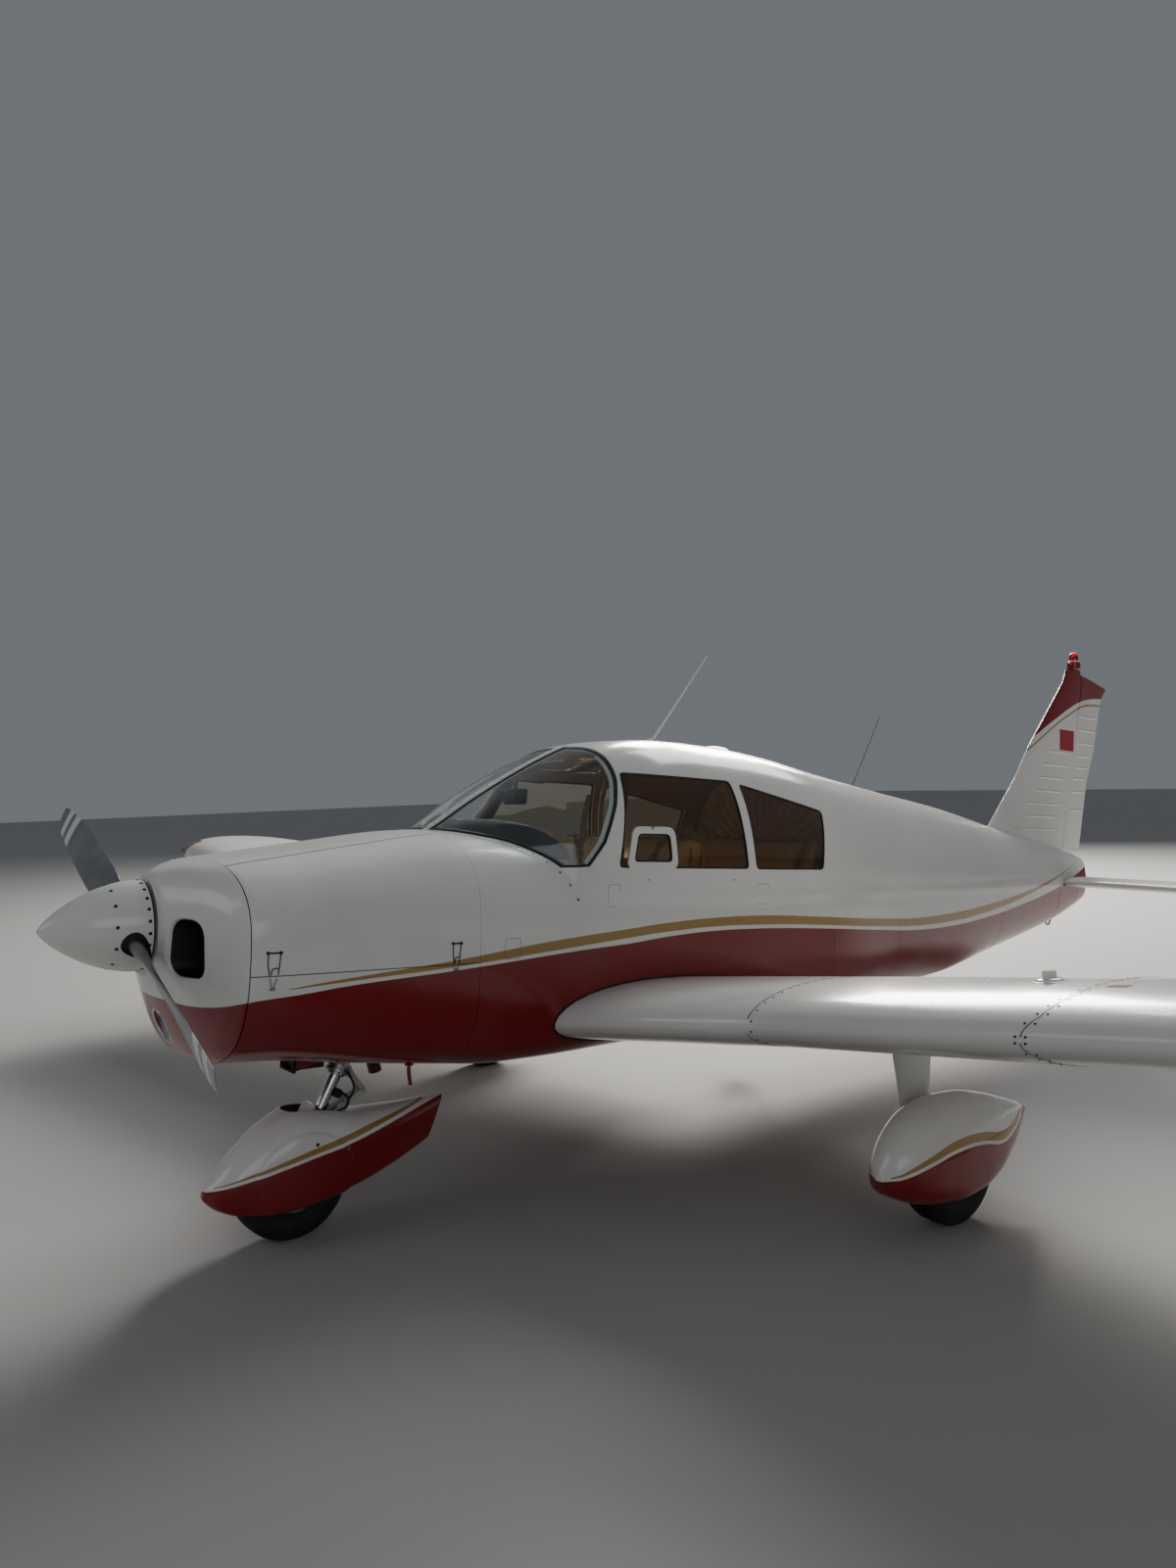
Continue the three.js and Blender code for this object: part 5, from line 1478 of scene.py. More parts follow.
wheelPieces("nose_wheel", gear["noseAxle"], "nose_wheel")
for side, name in bothSides:
    x, y, z = gear["mainAxle"]
    centreY, legY = side * y, side * gear["legY"]
    field = mainFairingField(centreY)
    rings, normals = ringsOf(field, mainXs, mainLine, 120, centreY, 400)
    shell = shellMesh(rings, normals, 0, -gear["fairingWall"])
    hole = loftMesh([legRing(legY, level, chord + 12, thick + 8, 2.0) for level, chord, thick in
                             ((-400, 240, 72), (-640, 165, 66), (-900, 66, 66))])
    under = prism(rounded([(2560, centreY - 96), (3052, centreY - 96), (3052, centreY + 96), (2560, centreY + 96)],
                          (60, 16, 16, 60), 6), -1100, -884, "xy")
    fairing = cutMesh(shell, tyreRoom(x, centreY, z), hole, under)
    makePiece(f"main_fairing_{name}_skin", fairing, ("mainFairing", "primer"), replaces=f"main_fairing_{name}",
              field=field)
    tips = [fairingTip(rings[0], -1), fairingTip(rings[-1], 1)]
    makePiece(f"main_fairing_{name}_tips", tips, "mainFairing", smooth=60)
    leg = loftMesh([legRing(legY, *level) for level in legLevels] + [legRing(legY, -690, 74, 62, 2.0)])
    wingPlug = loftMesh([wingRing(v, side) - [0, 0, 0.6] for v in (1200, 1321, 1500, 1700)])
    leg = cutMesh(leg, wingPlug)
    makePiece(f"main_leg_{name}_fairing", leg, "white", replaces=f"main_leg_{name}", smooth=28)
    lowerLeg = [tube([(legX(-640), legY, -640), (legX(-850), legY, -850)], 29, 32),
                tube([(x, legY, z), (x, side * (y + 66), z)], 25, 32),
                turned((x, centreY - side * 66, z), (0, -side, 0), [(0, 40), (0, 84), (7, 84), (7, 40)], 64),
                box(x - 95, x - 60, *spanOf(side, y - 96, y - 58), z - 24, z + 36)]
    makePiece(f"main_leg_{name}_axle", lowerLeg, "metal", smooth=34)
    hose = smoothPath([(legX(-430) + 95, legY - side * 14, -430), (legX(-500) + 92, legY - side * 30, -500),
                       (legX(-560) + 74, legY - side * 44, -555), (legX(-590) + 40, legY - side * 52, -585),
                       (legX(-600) + 10, legY - side * 34, -640)], 8)
    makePiece(f"brake_hose_{name}", tube(hose, 5.5, 12), "rubber", smooth=40)
    wheelPieces(f"main_wheel_{name}", (x, centreY, z), f"main_wheel_{name}")

# Nose leg: housing, chrome tube, links, fork and axle
strutAxis = Vector(strutPoint(1)) - Vector(strutPoint(0))
strutSide = strutAxis.orthogonal().normalized()
housing = turned(strutPoint(420), strutAxis, [(0, 33), (3, 35), (275, 35), (280, 33)], 48)
makePiece("strut_housing", housing, "white", "nose_leg", replaces="nose_strut")
collars = []
for up, rows in ((410, [(0, 38), (2, 47), (11, 47), (13, 40), (18, 40), (20, 47), (29, 47), (31, 38)]),
                 (398, [(0, 28), (2, 33), (12, 33), (14, 30)]), (470, [(0, 36), (1, 39), (10, 39), (11, 36)])):
    collars.append(turned(strutPoint(up), strutAxis, rows, 48))
for i in range(4):
    a = math.pi / 4 + math.pi / 2 * i
    at = Vector(strutPoint(406)) + (strutSide * math.cos(a) + strutAxis.cross(strutSide) * math.sin(a)) * 42
    collars.append(turned(at, strutAxis, [(0, 6), (5, 6), (5, 4), (40, 4), (41, 6), (46, 6)], 6))
makePiece("strut_collars", collars, "metal", "nose_leg")
makePiece("strut_tube", turned(strutPoint(258), strutAxis, [(0, 24), (160, 24)], 56), "chrome", "nose_leg")


crown = Vector(strutPoint(240))
apex = Vector((1222, 0, -652))
top = Vector(strutPoint(428)) + Vector((30, 0, -8))
rootPoint = Vector((crown.x + 30, 0, crown.z - 8))


def linkArms(a, b, wide, narrow, thick):
    out = []
    along = (b - a).normalized()
    up = Vector((0, 1, 0)).cross(along)
    for side in (-1, 1):
        rings = []
        for share in (0, 0.15, 0.5, 0.85, 1):
            centre = a.lerp(b, share) + Vector((0, side * (wide + (narrow - wide) * share), 0))
            deep = thick * (1.15 - 0.5 * math.sin(math.pi * share))
            rings.append([tuple(centre + up * deep * p + Vector((0, q * 5, 0))) for p, q in
                          ((-1, -0.7), (-0.7, -1), (0.7, -1), (1, -0.7), (1, 0.7), (0.7, 1), (-0.7, 1), (-1, 0.7))])
        out.append(loftMesh(rings))
    centre = a.lerp(b, 0.55)
    out.append(tube([centre + Vector((0, -wide * 0.8, 0)), centre + Vector((0, wide * 0.8, 0))], 5, 16))
    return out


links = linkArms(top, apex, 26, 13, 11) + linkArms(rootPoint, apex + Vector((-6, 0, -8)), 28, 22, 11)
for at, wide, radius in ((top, 34, 10), (apex + Vector((-3, 0, -4)), 36, 9), (rootPoint, 38, 10)):
    links.append(turned(at - Vector((0, wide, 0)), (0, 1, 0),
                        [(0, radius * 0.7), (0, radius), (6, radius), (6, radius * 0.75), (2 * wide - 6, radius * 0.75),
                         (2 * wide - 6, radius), (2 * wide, radius), (2 * wide, radius * 0.6)], 20))
makePiece("torque_links", links, "link", "nose_leg", smooth=34)
fork = [turned(strutPoint(226), strutAxis, [(0, 30), (0, 44), (4, 47), (28, 47), (34, 38), (40, 30), (40, 25)], 48)]
for side in (-1, 1):
    crownZ = crown.z + 5
    arm = smoothPath([(crown.x, side * 20, crownZ), (crown.x - 6, side * 64, crownZ - 12),
                      (crown.x - 14, side * 94, crownZ - 52), (crown.x - 40, side * 97, crownZ - 110),
                      (noseGear["x"], side * 97, noseGear["z"])], 7)
    fork.append(tube(arm, np.interp(np.arange(len(arm)), [0, 8, len(arm) - 1], [16, 14, 12]), 20))
fork.append(tube([(noseGear["x"], -102, noseGear["z"]), (noseGear["x"], 102, noseGear["z"])], 12, 24))
fork.append(tube([(noseGear["x"], -78, noseGear["z"]), (noseGear["x"], 78, noseGear["z"])], 24, 32))
makePiece("nose_fork_forging", fork, "metal", "nose_leg", replaces="nose_fork", smooth=34)
bracket = Vector(strutPoint(246)) + Vector((-42, 0, 16))
bracketShape = [(bracket.x + a, bracket.z + b) for a, b in ((-34, -20), (22, -24), (18, 26), (-6, 34), (-22, 8))]
makePiece("tow_bracket", prism(rounded(bracketShape, 6, 4), -26, 26), "white", "nose_leg")
at = Vector(strutPoint(300)) + Vector((46, -34, 22))
lowHose = [at + Vector(step) for step in ((6, -2, 6), (30, -14, -16), (26, -8, -52), (-6, 4, -66))]
highHose = [strutPoint(440, -38), (1150, -44, -588), (1170, -40, -640), (1150, -30, -690)]
hoses = [turned(at, (0, 1, 0), [(0, 12), (2, 17), (44, 17), (46, 12), (60, 8), (66, 8), (68, 4)], 28),
         tube(smoothPath(lowHose, 8), 5, 12), tube(smoothPath(highHose, 8), 4, 12)]
makePiece("nose_leg_hoses", hoses, "rubber", "nose_leg", smooth=40)
left = onSide([983], [-801], -1, noseFairingField)
both = np.concatenate([left, left * [1, -1, 1]])
makePiece("fairing_screws", heads(both, [[0, -1, 0.1], [0, 1, 0.1]], 7, 1.6), "dark", "nose_leg", smooth=40)
mount = [box(1160, 1395, -88, 88, -396, -302), tube([strutPoint(618), strutPoint(700)], 62, 40)]
makePiece("nose_gear_frame", mount, "dark", replaces="nose_gear_mount")
print("gear ready")

# Skin details: rivets, seams, strips, covers and latches
rivetSize = {"radius": 2.5, "height": 0.55, "pitch": 34, "screw": 4.0, "screwHeight": 1.0, "wing": (2.4, 0.5, 6),
             "wingScrew": (3.8, 0.9, 8)}


def rowsToHeads(name, rows, field=skinField, body="airframe", radius=rivetSize["radius"],
                height=rivetSize["height"], pitch=rivetSize["pitch"]):
    points = np.concatenate([spaced(row, pitch) for row in rows])
    makePiece(name, heads(points, fieldNormals(field, points), radius, height, 6), "body", body, smooth=60)


def ringRow(x, zLow, zHigh):
    return [onSide(x, np.linspace(zLow, zHigh, 60), side) for side in (-1, 1)]


# How far in from the centre line a lid's hinge lies
def hingeY(x):
    return tableAt(lidHinge, x)


def postX(z):
    return tableAt(postLine, z)


# Frames, stringers and laps of the sheet skins
airRows = []
for x in (4085, 4450, 4826, 5110, 5398, 5690, 5990, 6300):
    half = np.interp(x, [4060, 6590], [0.9, 0.86])
    airRows += ringRow(x, tableAt(hullSections, x, 3) * half, tableAt(canopySections, x) * half)
for z0, z1 in ((430, 230), (150, 130), (-250, -40)):
    for side in (-1, 1):
        airRows.append(onSide(np.linspace(4085, 6300, 90), np.linspace(z0, z1, 90), side))
for x, low, high in ((1416, -470, 300), (1446, -470, 300), (3430, -440, 640), (2838, -440, 190)):
    airRows += ringRow(x, low, high)
for side in (-1, 1):
    for z in (-300, 165):
        airRows.append(onSide(np.linspace(1460, 1960, 30), z, side))
    if side < 0:
        airRows += [onSide(np.linspace(2010, 3400, 70), z, side) for z in (180, -80)]
    xs = np.linspace(2040, 3380, 70)
    airRows.append(onSide(xs, np.interp(xs, [2040, 2141, 2760, 3380], [600, 640, 632, 515]), side))
airRows += [onTop(np.linspace(3460, 6250, 120), y) for y in (0, 60)]
rowsToHeads("skin_rivets", airRows)
laps = []
for x in (3415, 4062, 4812, 5384, 6285):  # raised edge of each overlapping sheet
    ring = fieldRings(skinField, [x + 8], centreLine, 96)[0]
    ring = np.concatenate([ring, ring[:1]])
    laps.append(ribbon(ring, fieldNormals(skinField, ring), 22, 0.55, 0.6))
makePiece("skin_laps", laps, "body", smooth=50)

# Cowl screws, rivets and the lids' hinges
cowlScrews = [onSide(x, np.linspace(-410, 190, 22), side) for side in (-1, 1) for x in (536, 1411)]
cowlScrews += [onTop(x, np.linspace(-230, 230, 14)) for x in (536, 1411)]
rowsToHeads("cowl_screws", cowlScrews, radius=rivetSize["screw"], height=rivetSize["screwHeight"], pitch=62)
xs = np.linspace(575, 1380, 40)
topRows = [onTop(xs, side * (hingeY(xs) - 16), hullField) for side in (-1, 1)]
rowsToHeads("cowl_top_rivets", topRows, hullField, pitch=44)
hinges, hingeLines = [], []
for side, name in bothSides:
    rows = [onTop(xs, side * (hingeY(xs) + 16), hullField), onSide(np.linspace(600, 1370, 30), -98, side, hullField)]
    rowsToHeads(f"lid_rivets_{name}", rows, hullField, f"cowl_lid_{name}", pitch=44)
    pinXs, edgeXs = np.linspace(560, 1390, 12), np.linspace(556, 1394, 30)
    hinges.append(tube(onTop(pinXs, side * hingeY(pinXs), hullField) - [0, 0, 4.5], 2.6, 12))
    edge = onTop(edgeXs, side * (hingeY(edgeXs) - 4.4), hullField)
    hingeLines.append(ribbon(edge, fieldNormals(hullField, edge), 5, 0.4, 1.0))
makePiece("lid_hinge_pins", hinges, "dark", smooth=40)
makePiece("cowl_hinge_lines", hingeLines, "dark", smooth=40)


# Flat raised frame that follows the skin: an outline in x and z on one side
def sideFrame(points, side, width, lift):
    path = rounded(points, 8, 6)
    path = np.array(path + [path[0]])
    line = onSide(path[:, 0], path[:, 1], side)
    line = np.concatenate([spaced(line[i : i + 2], 6, False) for i in range(len(line) - 1)] + [line[-1:]])
    return ribbon(line, fieldNormals(skinField, line), width, lift, 0.6)


def rectangle(x0, x1, z0, z1):
    return [(x0, z0), (x1, z0), (x1, z1), (x0, z1)]


latches = {"front": 625, "rear": 1296, "top": -42, "frontLow": -159, "rearLow": -136}


# A wire that lies on the cowl's side
def cowlWire(points, side, radius, lift=2.0):
    points = np.array(points, float)
    line = onSide(points[:, 0], points[:, 1], side, hullField)
    return tube(smoothPath([tuple(p) for p in line + fieldNormals(hullField, line) * lift], 4), radius, 10)


for side, name in bothSides:
    bars, bails, hooks = [], [], []
    for x, low, wide in ((latches["front"], latches["frontLow"], 21), (latches["rear"], latches["rearLow"], 17)):
        top = latches["top"]
        bars.append(cowlWire([(x - wide, top), (x, top), (x + wide, top)], side, 2.6))
        ends = onSide([x - wide, x + wide], top, side, hullField)
        bars.append(heads(ends, fieldNormals(hullField, ends), 6, 5, 12))
        bails.append(cowlWire([(x - wide + 2, top - 3), (x - wide + 1, -78), (x - wide + 7, -113)], side, 1.7))
        bails.append(cowlWire([(x + wide - 2, top - 3), (x + wide - 3, -70), (x + wide - 5, -92)], side, 1.7))
        bails.append(cowlWire([(x - 9, -112), (x - 5, -94), (x + wide - 7, -92), (x + wide - 8, -112)], side, 1.7))
        hooks.append(cowlWire([(x - 13, -122), (x - 9, -134), (x - 6, low + 5)], side, 1.7))
        hooks.append(cowlWire([(x + wide - 10, -122), (x + 6, -136), (x, low + 6)], side, 1.7))
        hooks.append(cowlWire([(x - 10, low + 3), (x - 2, low), (x + 7, low + 4)], side, 4.2))
    makePiece(f"lid_latches_{name}", bars + bails, "dark", f"cowl_lid_{name}", smooth=40)
    makePiece(f"latch_hooks_{name}", hooks, "metal", smooth=40)

outlines = [sideFrame(rectangle(*edges), side, 1.4, 0.35)
            for side, edges in ((-1, (1504, 1571, -109, -36)), (-1, (1996, 2057, 68, 155)),
                                (-1, (2858, 2932, 56, 145)), (1, (1504, 1571, -109, -36)))]
makePiece("cover_outlines", outlines, "dark")
points = onSide([2206, 2706], [172, 165], -1)
makePiece("level_screws", heads(points, fieldNormals(skinField, points), 5, 2.2, 10), "metal", smooth=40)

# Windscreen: base strip, rear frame screws, centre strip with rivets
stripXs = steps(1440, 2010, 10)
rings, normals = ringsOf(hullField, stripXs, centreLine, 200)
base = keepMesh(shellMesh(rings, normals, 1.8, -1.5), bodySolid(canopyField, 27, steps(1431, 2100, 14)))
base = cutMesh(base, bodySolid(canopyField, -10, steps(1431, 2100, 14)), box(1300, 2100, -900, 900, -900, 214))
makePiece("windscreen_base_strip", base, "white", smooth=28)
found = []
ys = np.linspace(0, 545, 700)
for x in np.linspace(1462, 1975, 60):
    line = onTop(x, ys, hullField)
    at = np.where(np.diff(np.sign(canopyField(*line.T) - 15)) != 0)[0]  # 15 outside the glass
    if len(at):
        found.append(line[at[-1]])
half = spaced(found, 62)
both = np.concatenate([half, half * [1, -1, 1]])
makePiece("windscreen_screws", heads(both, fieldNormals(hullField, both), 4.6, 3.0, 10), "dark", smooth=40)
xs = np.linspace(1492, 2172, 60)
line = onTop(xs, 0, canopyField)
normals = fieldNormals(canopyField, line)
makePiece("windscreen_centre_strip", ribbon(line, normals, 46, 2.6, 2.0, 0.8), "white")
dots = spaced(line[2:], 74)
makePiece("strip_screws", heads(dots, fieldNormals(canopyField, dots), 5.2, 4.8, 10), "dark", smooth=40)
z = np.array([250, 320, 472, 580, 640, 690, 725.0])
rowsToHeads("post_rivets", [onSide(postX(z) + 17, z, side) for side in (-1, 1)], pitch=46)

# Wing root seal, seams, caps and rivets
tipYs = np.linspace(4300, 4560, 120)
tipLead, tipChord, _ = planAt(wingPlan, tipYs)


# How far out the tip's seam lies, a strip in from the wing's edge
def tipSeam(xs):
    inside = (tipLead <= xs[:, None]) & (xs[:, None] <= tipLead + tipChord)
    return np.where(inside, tipYs, 4300).max(1) - 50


# Even points of several lines on a skin and the directions out of it there
def pickEvenly(lines, gap):
    points, normals = [], []
    for p, n in lines:
        points.append(spaced(p, gap))
        normals.append(n[np.linspace(0, len(p) - 1, len(points[-1])).round().astype(int)])
    return np.concatenate(points), np.concatenate(normals)


for side, name in bothSides:
    count = len(wingRing(400, side))
    low, high = np.full(count, 362.0), np.full(count, 760.0)
    for _ in range(26):
        mid = (low + high) / 2
        lead, chord, thickness = planAt(wingPlan, mid)
        shape = sectionPoints(1.0, 1.0, False, 22)
        u = np.clip(shape[:, 0], 0, 1)
        edge = np.where(np.arange(count) <= 22, 1, -1)
        x = lead + u * chord
        z = wingZ(x, mid) + chord * camberLine(u) + edge * thickness * halfThickness(u)
        outside = skinField(x, side * mid, z) > 0
        low, high = np.where(outside, low, mid), np.where(outside, mid, high)
    path = np.stack([x, side * low, z], -1)
    makePiece(f"wing_root_seal_{name}", tube(spaced(path[path[:, 0] < 3262], 16), 6.5, 12), "rubber", smooth=60)
    rows, seams, screws = [], [], []
    for upper in (True, False):
        for x, start, end in ((2080, 1000, 4420), (2470, 700, 4420), (2860, 700, 4420), (3235, 640, 4400)):
            rows.append(onWing(x, np.linspace(start, end, 120), side, upper))
        for y in (1000, 1640, 1960, 2640, 2960, 3280, 3600, 3920, 4240):
            rows.append(onWing(np.linspace(planAt(wingPlan, y)[0] + 60, 3235, 50), y, side, upper))
        share = np.linspace(0.012, 1, 60) ** 1.6
        tankXs, innerXs, tipXs = 1991 + share * 1244, 1993 + share * 1242, 2010 + share * 1225
        tank = np.interp(tankXs, [1992, 2037, 2180, 2351, 3235], [2302, 2332, 2362, 2366, 2366])
        for xs, ys, shifts in ((tankXs, tank, (-15, 15)), (innerXs, 1301, (16,)), (tipXs, tipSeam(tipXs), (-14,))):
            seams.append(onWing(xs, ys, side, upper))
            screws += [onWing(xs, ys + shift, side, upper) for shift in shifts]
    makePiece(f"wing_rivets_{name}", heads(*pickEvenly(rows, 44), *rivetSize["wing"]), "white", smooth=60)
    makePiece(f"wing_seams_{name}", [ribbon(p, n, 2.2, 0.35, 0.6) for p, n in seams], "dark", smooth=40)
    makePiece(f"wing_screws_{name}", heads(*pickEvenly(screws, 46), *rivetSize["wingScrew"]), "dark", smooth=60)
    p, n = onWing(2364, 2184, side)
    cap = turned(p - n * 2, n, [(0, 52), (3.2, 52), (4, 50), (4, 41), (9, 39), (12, 34), (12.5, 0.5)], 56)
    makePiece(f"fuel_cap_{name}", cap, "white", smooth=34)
    tabLine = np.array([p + n * 11 + np.array([a, 0, 0]) for a in np.linspace(-30, 30, 9)])
    makePiece(f"fuel_cap_tab_{name}", ribbon(tabLine, np.repeat([n], 9, 0), 15, 19, 2, 4), "white", smooth=34)
    xs = np.linspace(2262, 2300, 9)
    p, n = onWing(xs, 2430, side)
    makePiece(f"wing_label_{name}", ribbon(p, n, 62, 0.5, 0.4), "red")
    # tip lens at the wing's front corner
    lens = []
    for share in np.linspace(0, 1, 10):
        y = 4446 + share * 112
        lead = planAt(wingPlan, y)[0]
        lens.append((lead + 16, side * y, wingZ(lead, y) + 2))
    makePiece(f"wing_tip_lens_{name}", tube(lens, np.interp(np.arange(10), [0, 2, 7, 9], [3, 24, 22, 6]), 20),
              "redLens" if side < 0 else "greenLens", smooth=60)

for side, name in bothSides:  # red strip on the tip's leading edge
    rows = []
    for y in np.linspace(4350, 4500, 10):
        front = wingRing(y, side)[18:25]
        away = front - (front[3] + [60, 0, 0])
        away /= np.linalg.norm(away, axis=1, keepdims=True)
        rows.append(np.concatenate([front + away * 0.9, (front - away)[::-1]]))
    makePiece(f"wing_tip_strip_{name}", loftMesh(rows), "red", smooth=60)

# Fin beads, screws and the beacon
beads = []
for z, start, end in ((957, 6239, 6609), (867, 6178, 6566), (776, 6138, 6502), (686, 6078, 6471), (598, 5979, 6440),
                      (513, 5941, 6420), (427, 5804, 6400)):
    for side in (-1, 1):
        p, n = onFin(np.linspace(start, min(end, hingeX(z) - 40), 16), z, side)
        beads.append(ribbon(p, n, np.interp(np.arange(16), [0, 1, 13, 15], [1, 17, 15, 1]), 0.6, 1.0, 5.0))
makePiece("fin_beads", beads, "fin", smooth=60)
finRows = []
for side in (-1, 1):
    z = np.linspace(300, 1380, 46)
    finRows.append(onFin(hingeX(z) - 34, z, side))
    z = np.linspace(300, 1380, 40)
    finRows.append(onFin(tableAt(finSections, z) + 46, z, side))
points, normals = (np.concatenate(part) for part in zip(*finRows))
makePiece("fin_rivets", heads(points, normals, *rivetSize["wing"]), "fin", smooth=60)
beaconX = 6648
for part, z, sides, look, smooth, standsFor, rows in (
        ("base", 1548, 56, "red", 34, "beacon", [(0, 30), (10, 44), (16, 46), (52, 42), (56, 36), (56, 1)]),
        ("ring", 1603, 56, "white", 34, None, [(0, 30), (0, 35), (7, 35.5), (9, 33), (9, 28)]),
        ("dome", 1611, 56, "redLens", 60, None,
         [(0, 31), (24, 31), (40, 29), (52, 23), (59, 14), (62.5, 5), (63, 0.5)]),
        ("lamp", 1608, 24, "chrome", 60, None, [(0, 12), (10, 12), (12, 7), (34, 7), (38, 3)])):
    mesh = turned((beaconX, 0, z), (0, 0, 1), rows, sides)
    makePiece(f"beacon_{part}", mesh, look, replaces=standsFor, smooth=smooth)

# Roof fittings
whip = smoothPath([(2680, 0, 776), (2760, 0, 878), (2900, 0, 1052), (3048, 0, 1240)], 8)
foot = onTop(2680, 0)
whipPieces = [tube(whip, np.interp(np.arange(len(whip)), [0, 4, len(whip) - 1], [9, 6.5, 3.4]), 20),
              turned(foot - [0, 0, 4], (-0.1, 0, 1), [(0, 30), (5, 30), (8, 24), (16, 14), (26, 10.5)], 40)]
makePiece("whip_antenna_rod", whipPieces, "white", replaces="whip_antenna", smooth=40)
wire = smoothPath([(4200, 0, 622), (4262, 0, 724), (4350, 0, 872), (4448, 0, 1046)], 8)
foot = onTop(4196, 0)
wirePieces = [tube(wire, np.interp(np.arange(len(wire)), [0, 4, len(wire) - 1], [5.5, 3.4, 2.2]), 16),
              turned(foot - [0, 0, 4], (0.12, 0, 1), [(0, 22), (6, 22), (9, 16), (22, 9), (30, 6)], 32)]
makePiece("wire_antenna_rod", wirePieces, "metal", replaces="wire_antenna", smooth=40)
dome = [[(3120 + 108 * math.cos(t) * math.cos(a), 58 * math.sin(t) * math.cos(a), 756 + 38 * math.sin(a))
         for t in np.linspace(0, 2 * math.pi, 48, endpoint=False)] for a in np.linspace(0, 1, 12)[:-1] * math.pi / 2]
dome.insert(0, [(p[0], p[1], 740) for p in dome[0]])
makePiece("roof_vent_dome", loftMesh(dome), "white", replaces="roof_dome", smooth=50)

# Under the nose and tail: scoop, drain, exhaust, step, pitot mast, tie-down
rings = [[(x, 12 - wide, low), (x, wide - 12, low), (x, wide, low + 12), (x, wide, -455), (x, -wide, -455),
          (x, -wide, low + 12)] for x, wide, low in ((916, 58, -548), (1054, 58, -522), (1150, 52, -486))]
makePiece("cowl_scoop", cutMesh(loftMesh(rings), box(900, 1040, -50, 50, -541, -440)), "red")
# black block set back inside the scoop's opening: painted shade, so that the hole reads dark
makePiece("scoop_painted_shade_plug", box(932, 1038, -49.5, 49.5, -540.5, -446), "black")
makePiece("scoop_lip", cutMesh(box(912, 922, -59.5, 59.5, -549.5, -458), box(900, 930, -51, 51, -541, -440)), "rubber")
drain = [tube(smoothPath([(1321, -190, -520), (1321, -190, -560), (1326, -191, -598), (1330, -192, -616)], 6), 8, 16),
         turned((1321, -190, -541), (0, 0, 1), [(0, 12), (0, 17), (4, 17), (8, 12)], 24)]
makePiece("drain_stub", drain, "red", smooth=40)
exhaust = Vector((1345, 120, -625)) - Vector((1290, 120, -440))
pipe = turned((1290, 120, -440), exhaust, [(0, 27), (192, 27), (193, 25.5), (193, 24), (150, 24), (0, 24)], 40)
makePiece("exhaust_tailpipe", pipe, "burnt", replaces="exhaust_pipe", smooth=34)
stepRod = smoothPath([(3800, 290, -400), (3806, 340, -520), (3820, 400, -640), (3830, 424, -702)], 8)
stepPieces = [cutMesh(tube(stepRod, 15, 24), bodySolid(skinField, 0.5, steps(3600, 4000, 50))),
              prism(rounded([(3772, 382), (3898, 382), (3898, 518), (3772, 518)], 16, 6), -714, -701, "xy")]
stepPieces += [box(x, x + 6, 392, 508, -703, -699.4) for x in range(3786, 3898, 16)]  # treads
makePiece("boarding_step_plate", stepPieces, "black", replaces="boarding_step")
mastPoint, _ = onWing(2500.0, 2740.0, -1, False)
mastRings = [[(2500 + c * math.cos(t), -2740 + w * math.sin(t), z)
              for t in np.linspace(0, 2 * math.pi, 28, endpoint=False)]
             for z, c, w in ((mastPoint[2] + 6, 34, 15), (mastPoint[2] - 12, 26, 11), (-300, 20, 9), (-322, 18, 9))]
probe = turned((2372, -2740, -330), (1, 0, 0),
               [(0, 5), (2, 10), (16, 13), (40, 14.5), (150, 14.5), (160, 12), (167, 5)], 32)
makePiece("pitot_head", [loftMesh(mastRings), probe], "white", replaces="pitot_mast", smooth=34)
low = onTop([6330, 6400], 0, reach=(-50.0, -900.0))
tie = smoothPath([tuple(low[0] + [0, 0, 12]), (6331, 0, -150), (6318, 0, -186), (6320, 0, -212), (6350, 0, -214),
                  (6372, 0, -180), (6392, 0, -140), tuple(low[1] + [0, 0, 12])], 6)
makePiece("tail_ring", tube(tie, 6, 16), "metal", replaces="tail_tiedown", smooth=60)

# Landing light: reflector, lens, rim, sleeve and lip ring
lz, lr = lightAt["z"], lightAt["radius"]
makePiece("light_reflector", turned((500, 0, lz), (-1, 0, 0), [(0, 3), (2, 18), (8, 34), (18, 46), (26, lr),
                                                               (24, lr + 1), (2, 36), (-3, 20), (-3, 3)], 64),
          "chrome", smooth=50)
lens = turned((lightAt["x"] + 3, 0, lz), (-1, 0, 0), [(-5, lr - 1), (0, lr), (2, lr - 2), (4.5, lr - 16), (6, lr - 32),
                                                     (6.3, 1), (3.3, 1), (2.5, lr - 20), (-4, lr - 4)], 64)
makePiece("landing_light_lens", lens, "clear", replaces="landing_light", smooth=60)
makePiece("light_rim", turned((lightAt["x"] + 1, 0, lz), (-1, 0, 0), [(-6, lr - 3), (-6, lr + 3.4), (3, lr + 3.4),
                                                                      (5, lr), (3, lr - 3)], 64), "metal", smooth=50)
sleeve = sleeveMesh(lightShape, bowlFace(lightShape) + 8, 478, ((-0.5, 0), (-0.5, 1), (-1.8, 1), (-1.8, 0)))
makePiece("light_sleeve", sleeve, "chrome", smooth=60)
edge = smoothShape(lightShape, 5.5)
edge = np.column_stack([bowlFace(edge) + 1.5, edge])
makePiece("light_lip_ring", tube(np.concatenate([edge, edge[:1]]), 3.4, 12, False), "chrome", smooth=60)
print("details ready")

# Cabin interior
cabin = {"floorZ": -325, "panelX": 1735, "yokeY": 240, "dialRadius": (40, 34, 30)}
leather = {"color": "#c8aa80", "light": "#d9bf96", "dirt": "#7c5f42", "roughness": 0.42, "pleat": 6.0, "swell": 12,
           "pressure": 4.0}


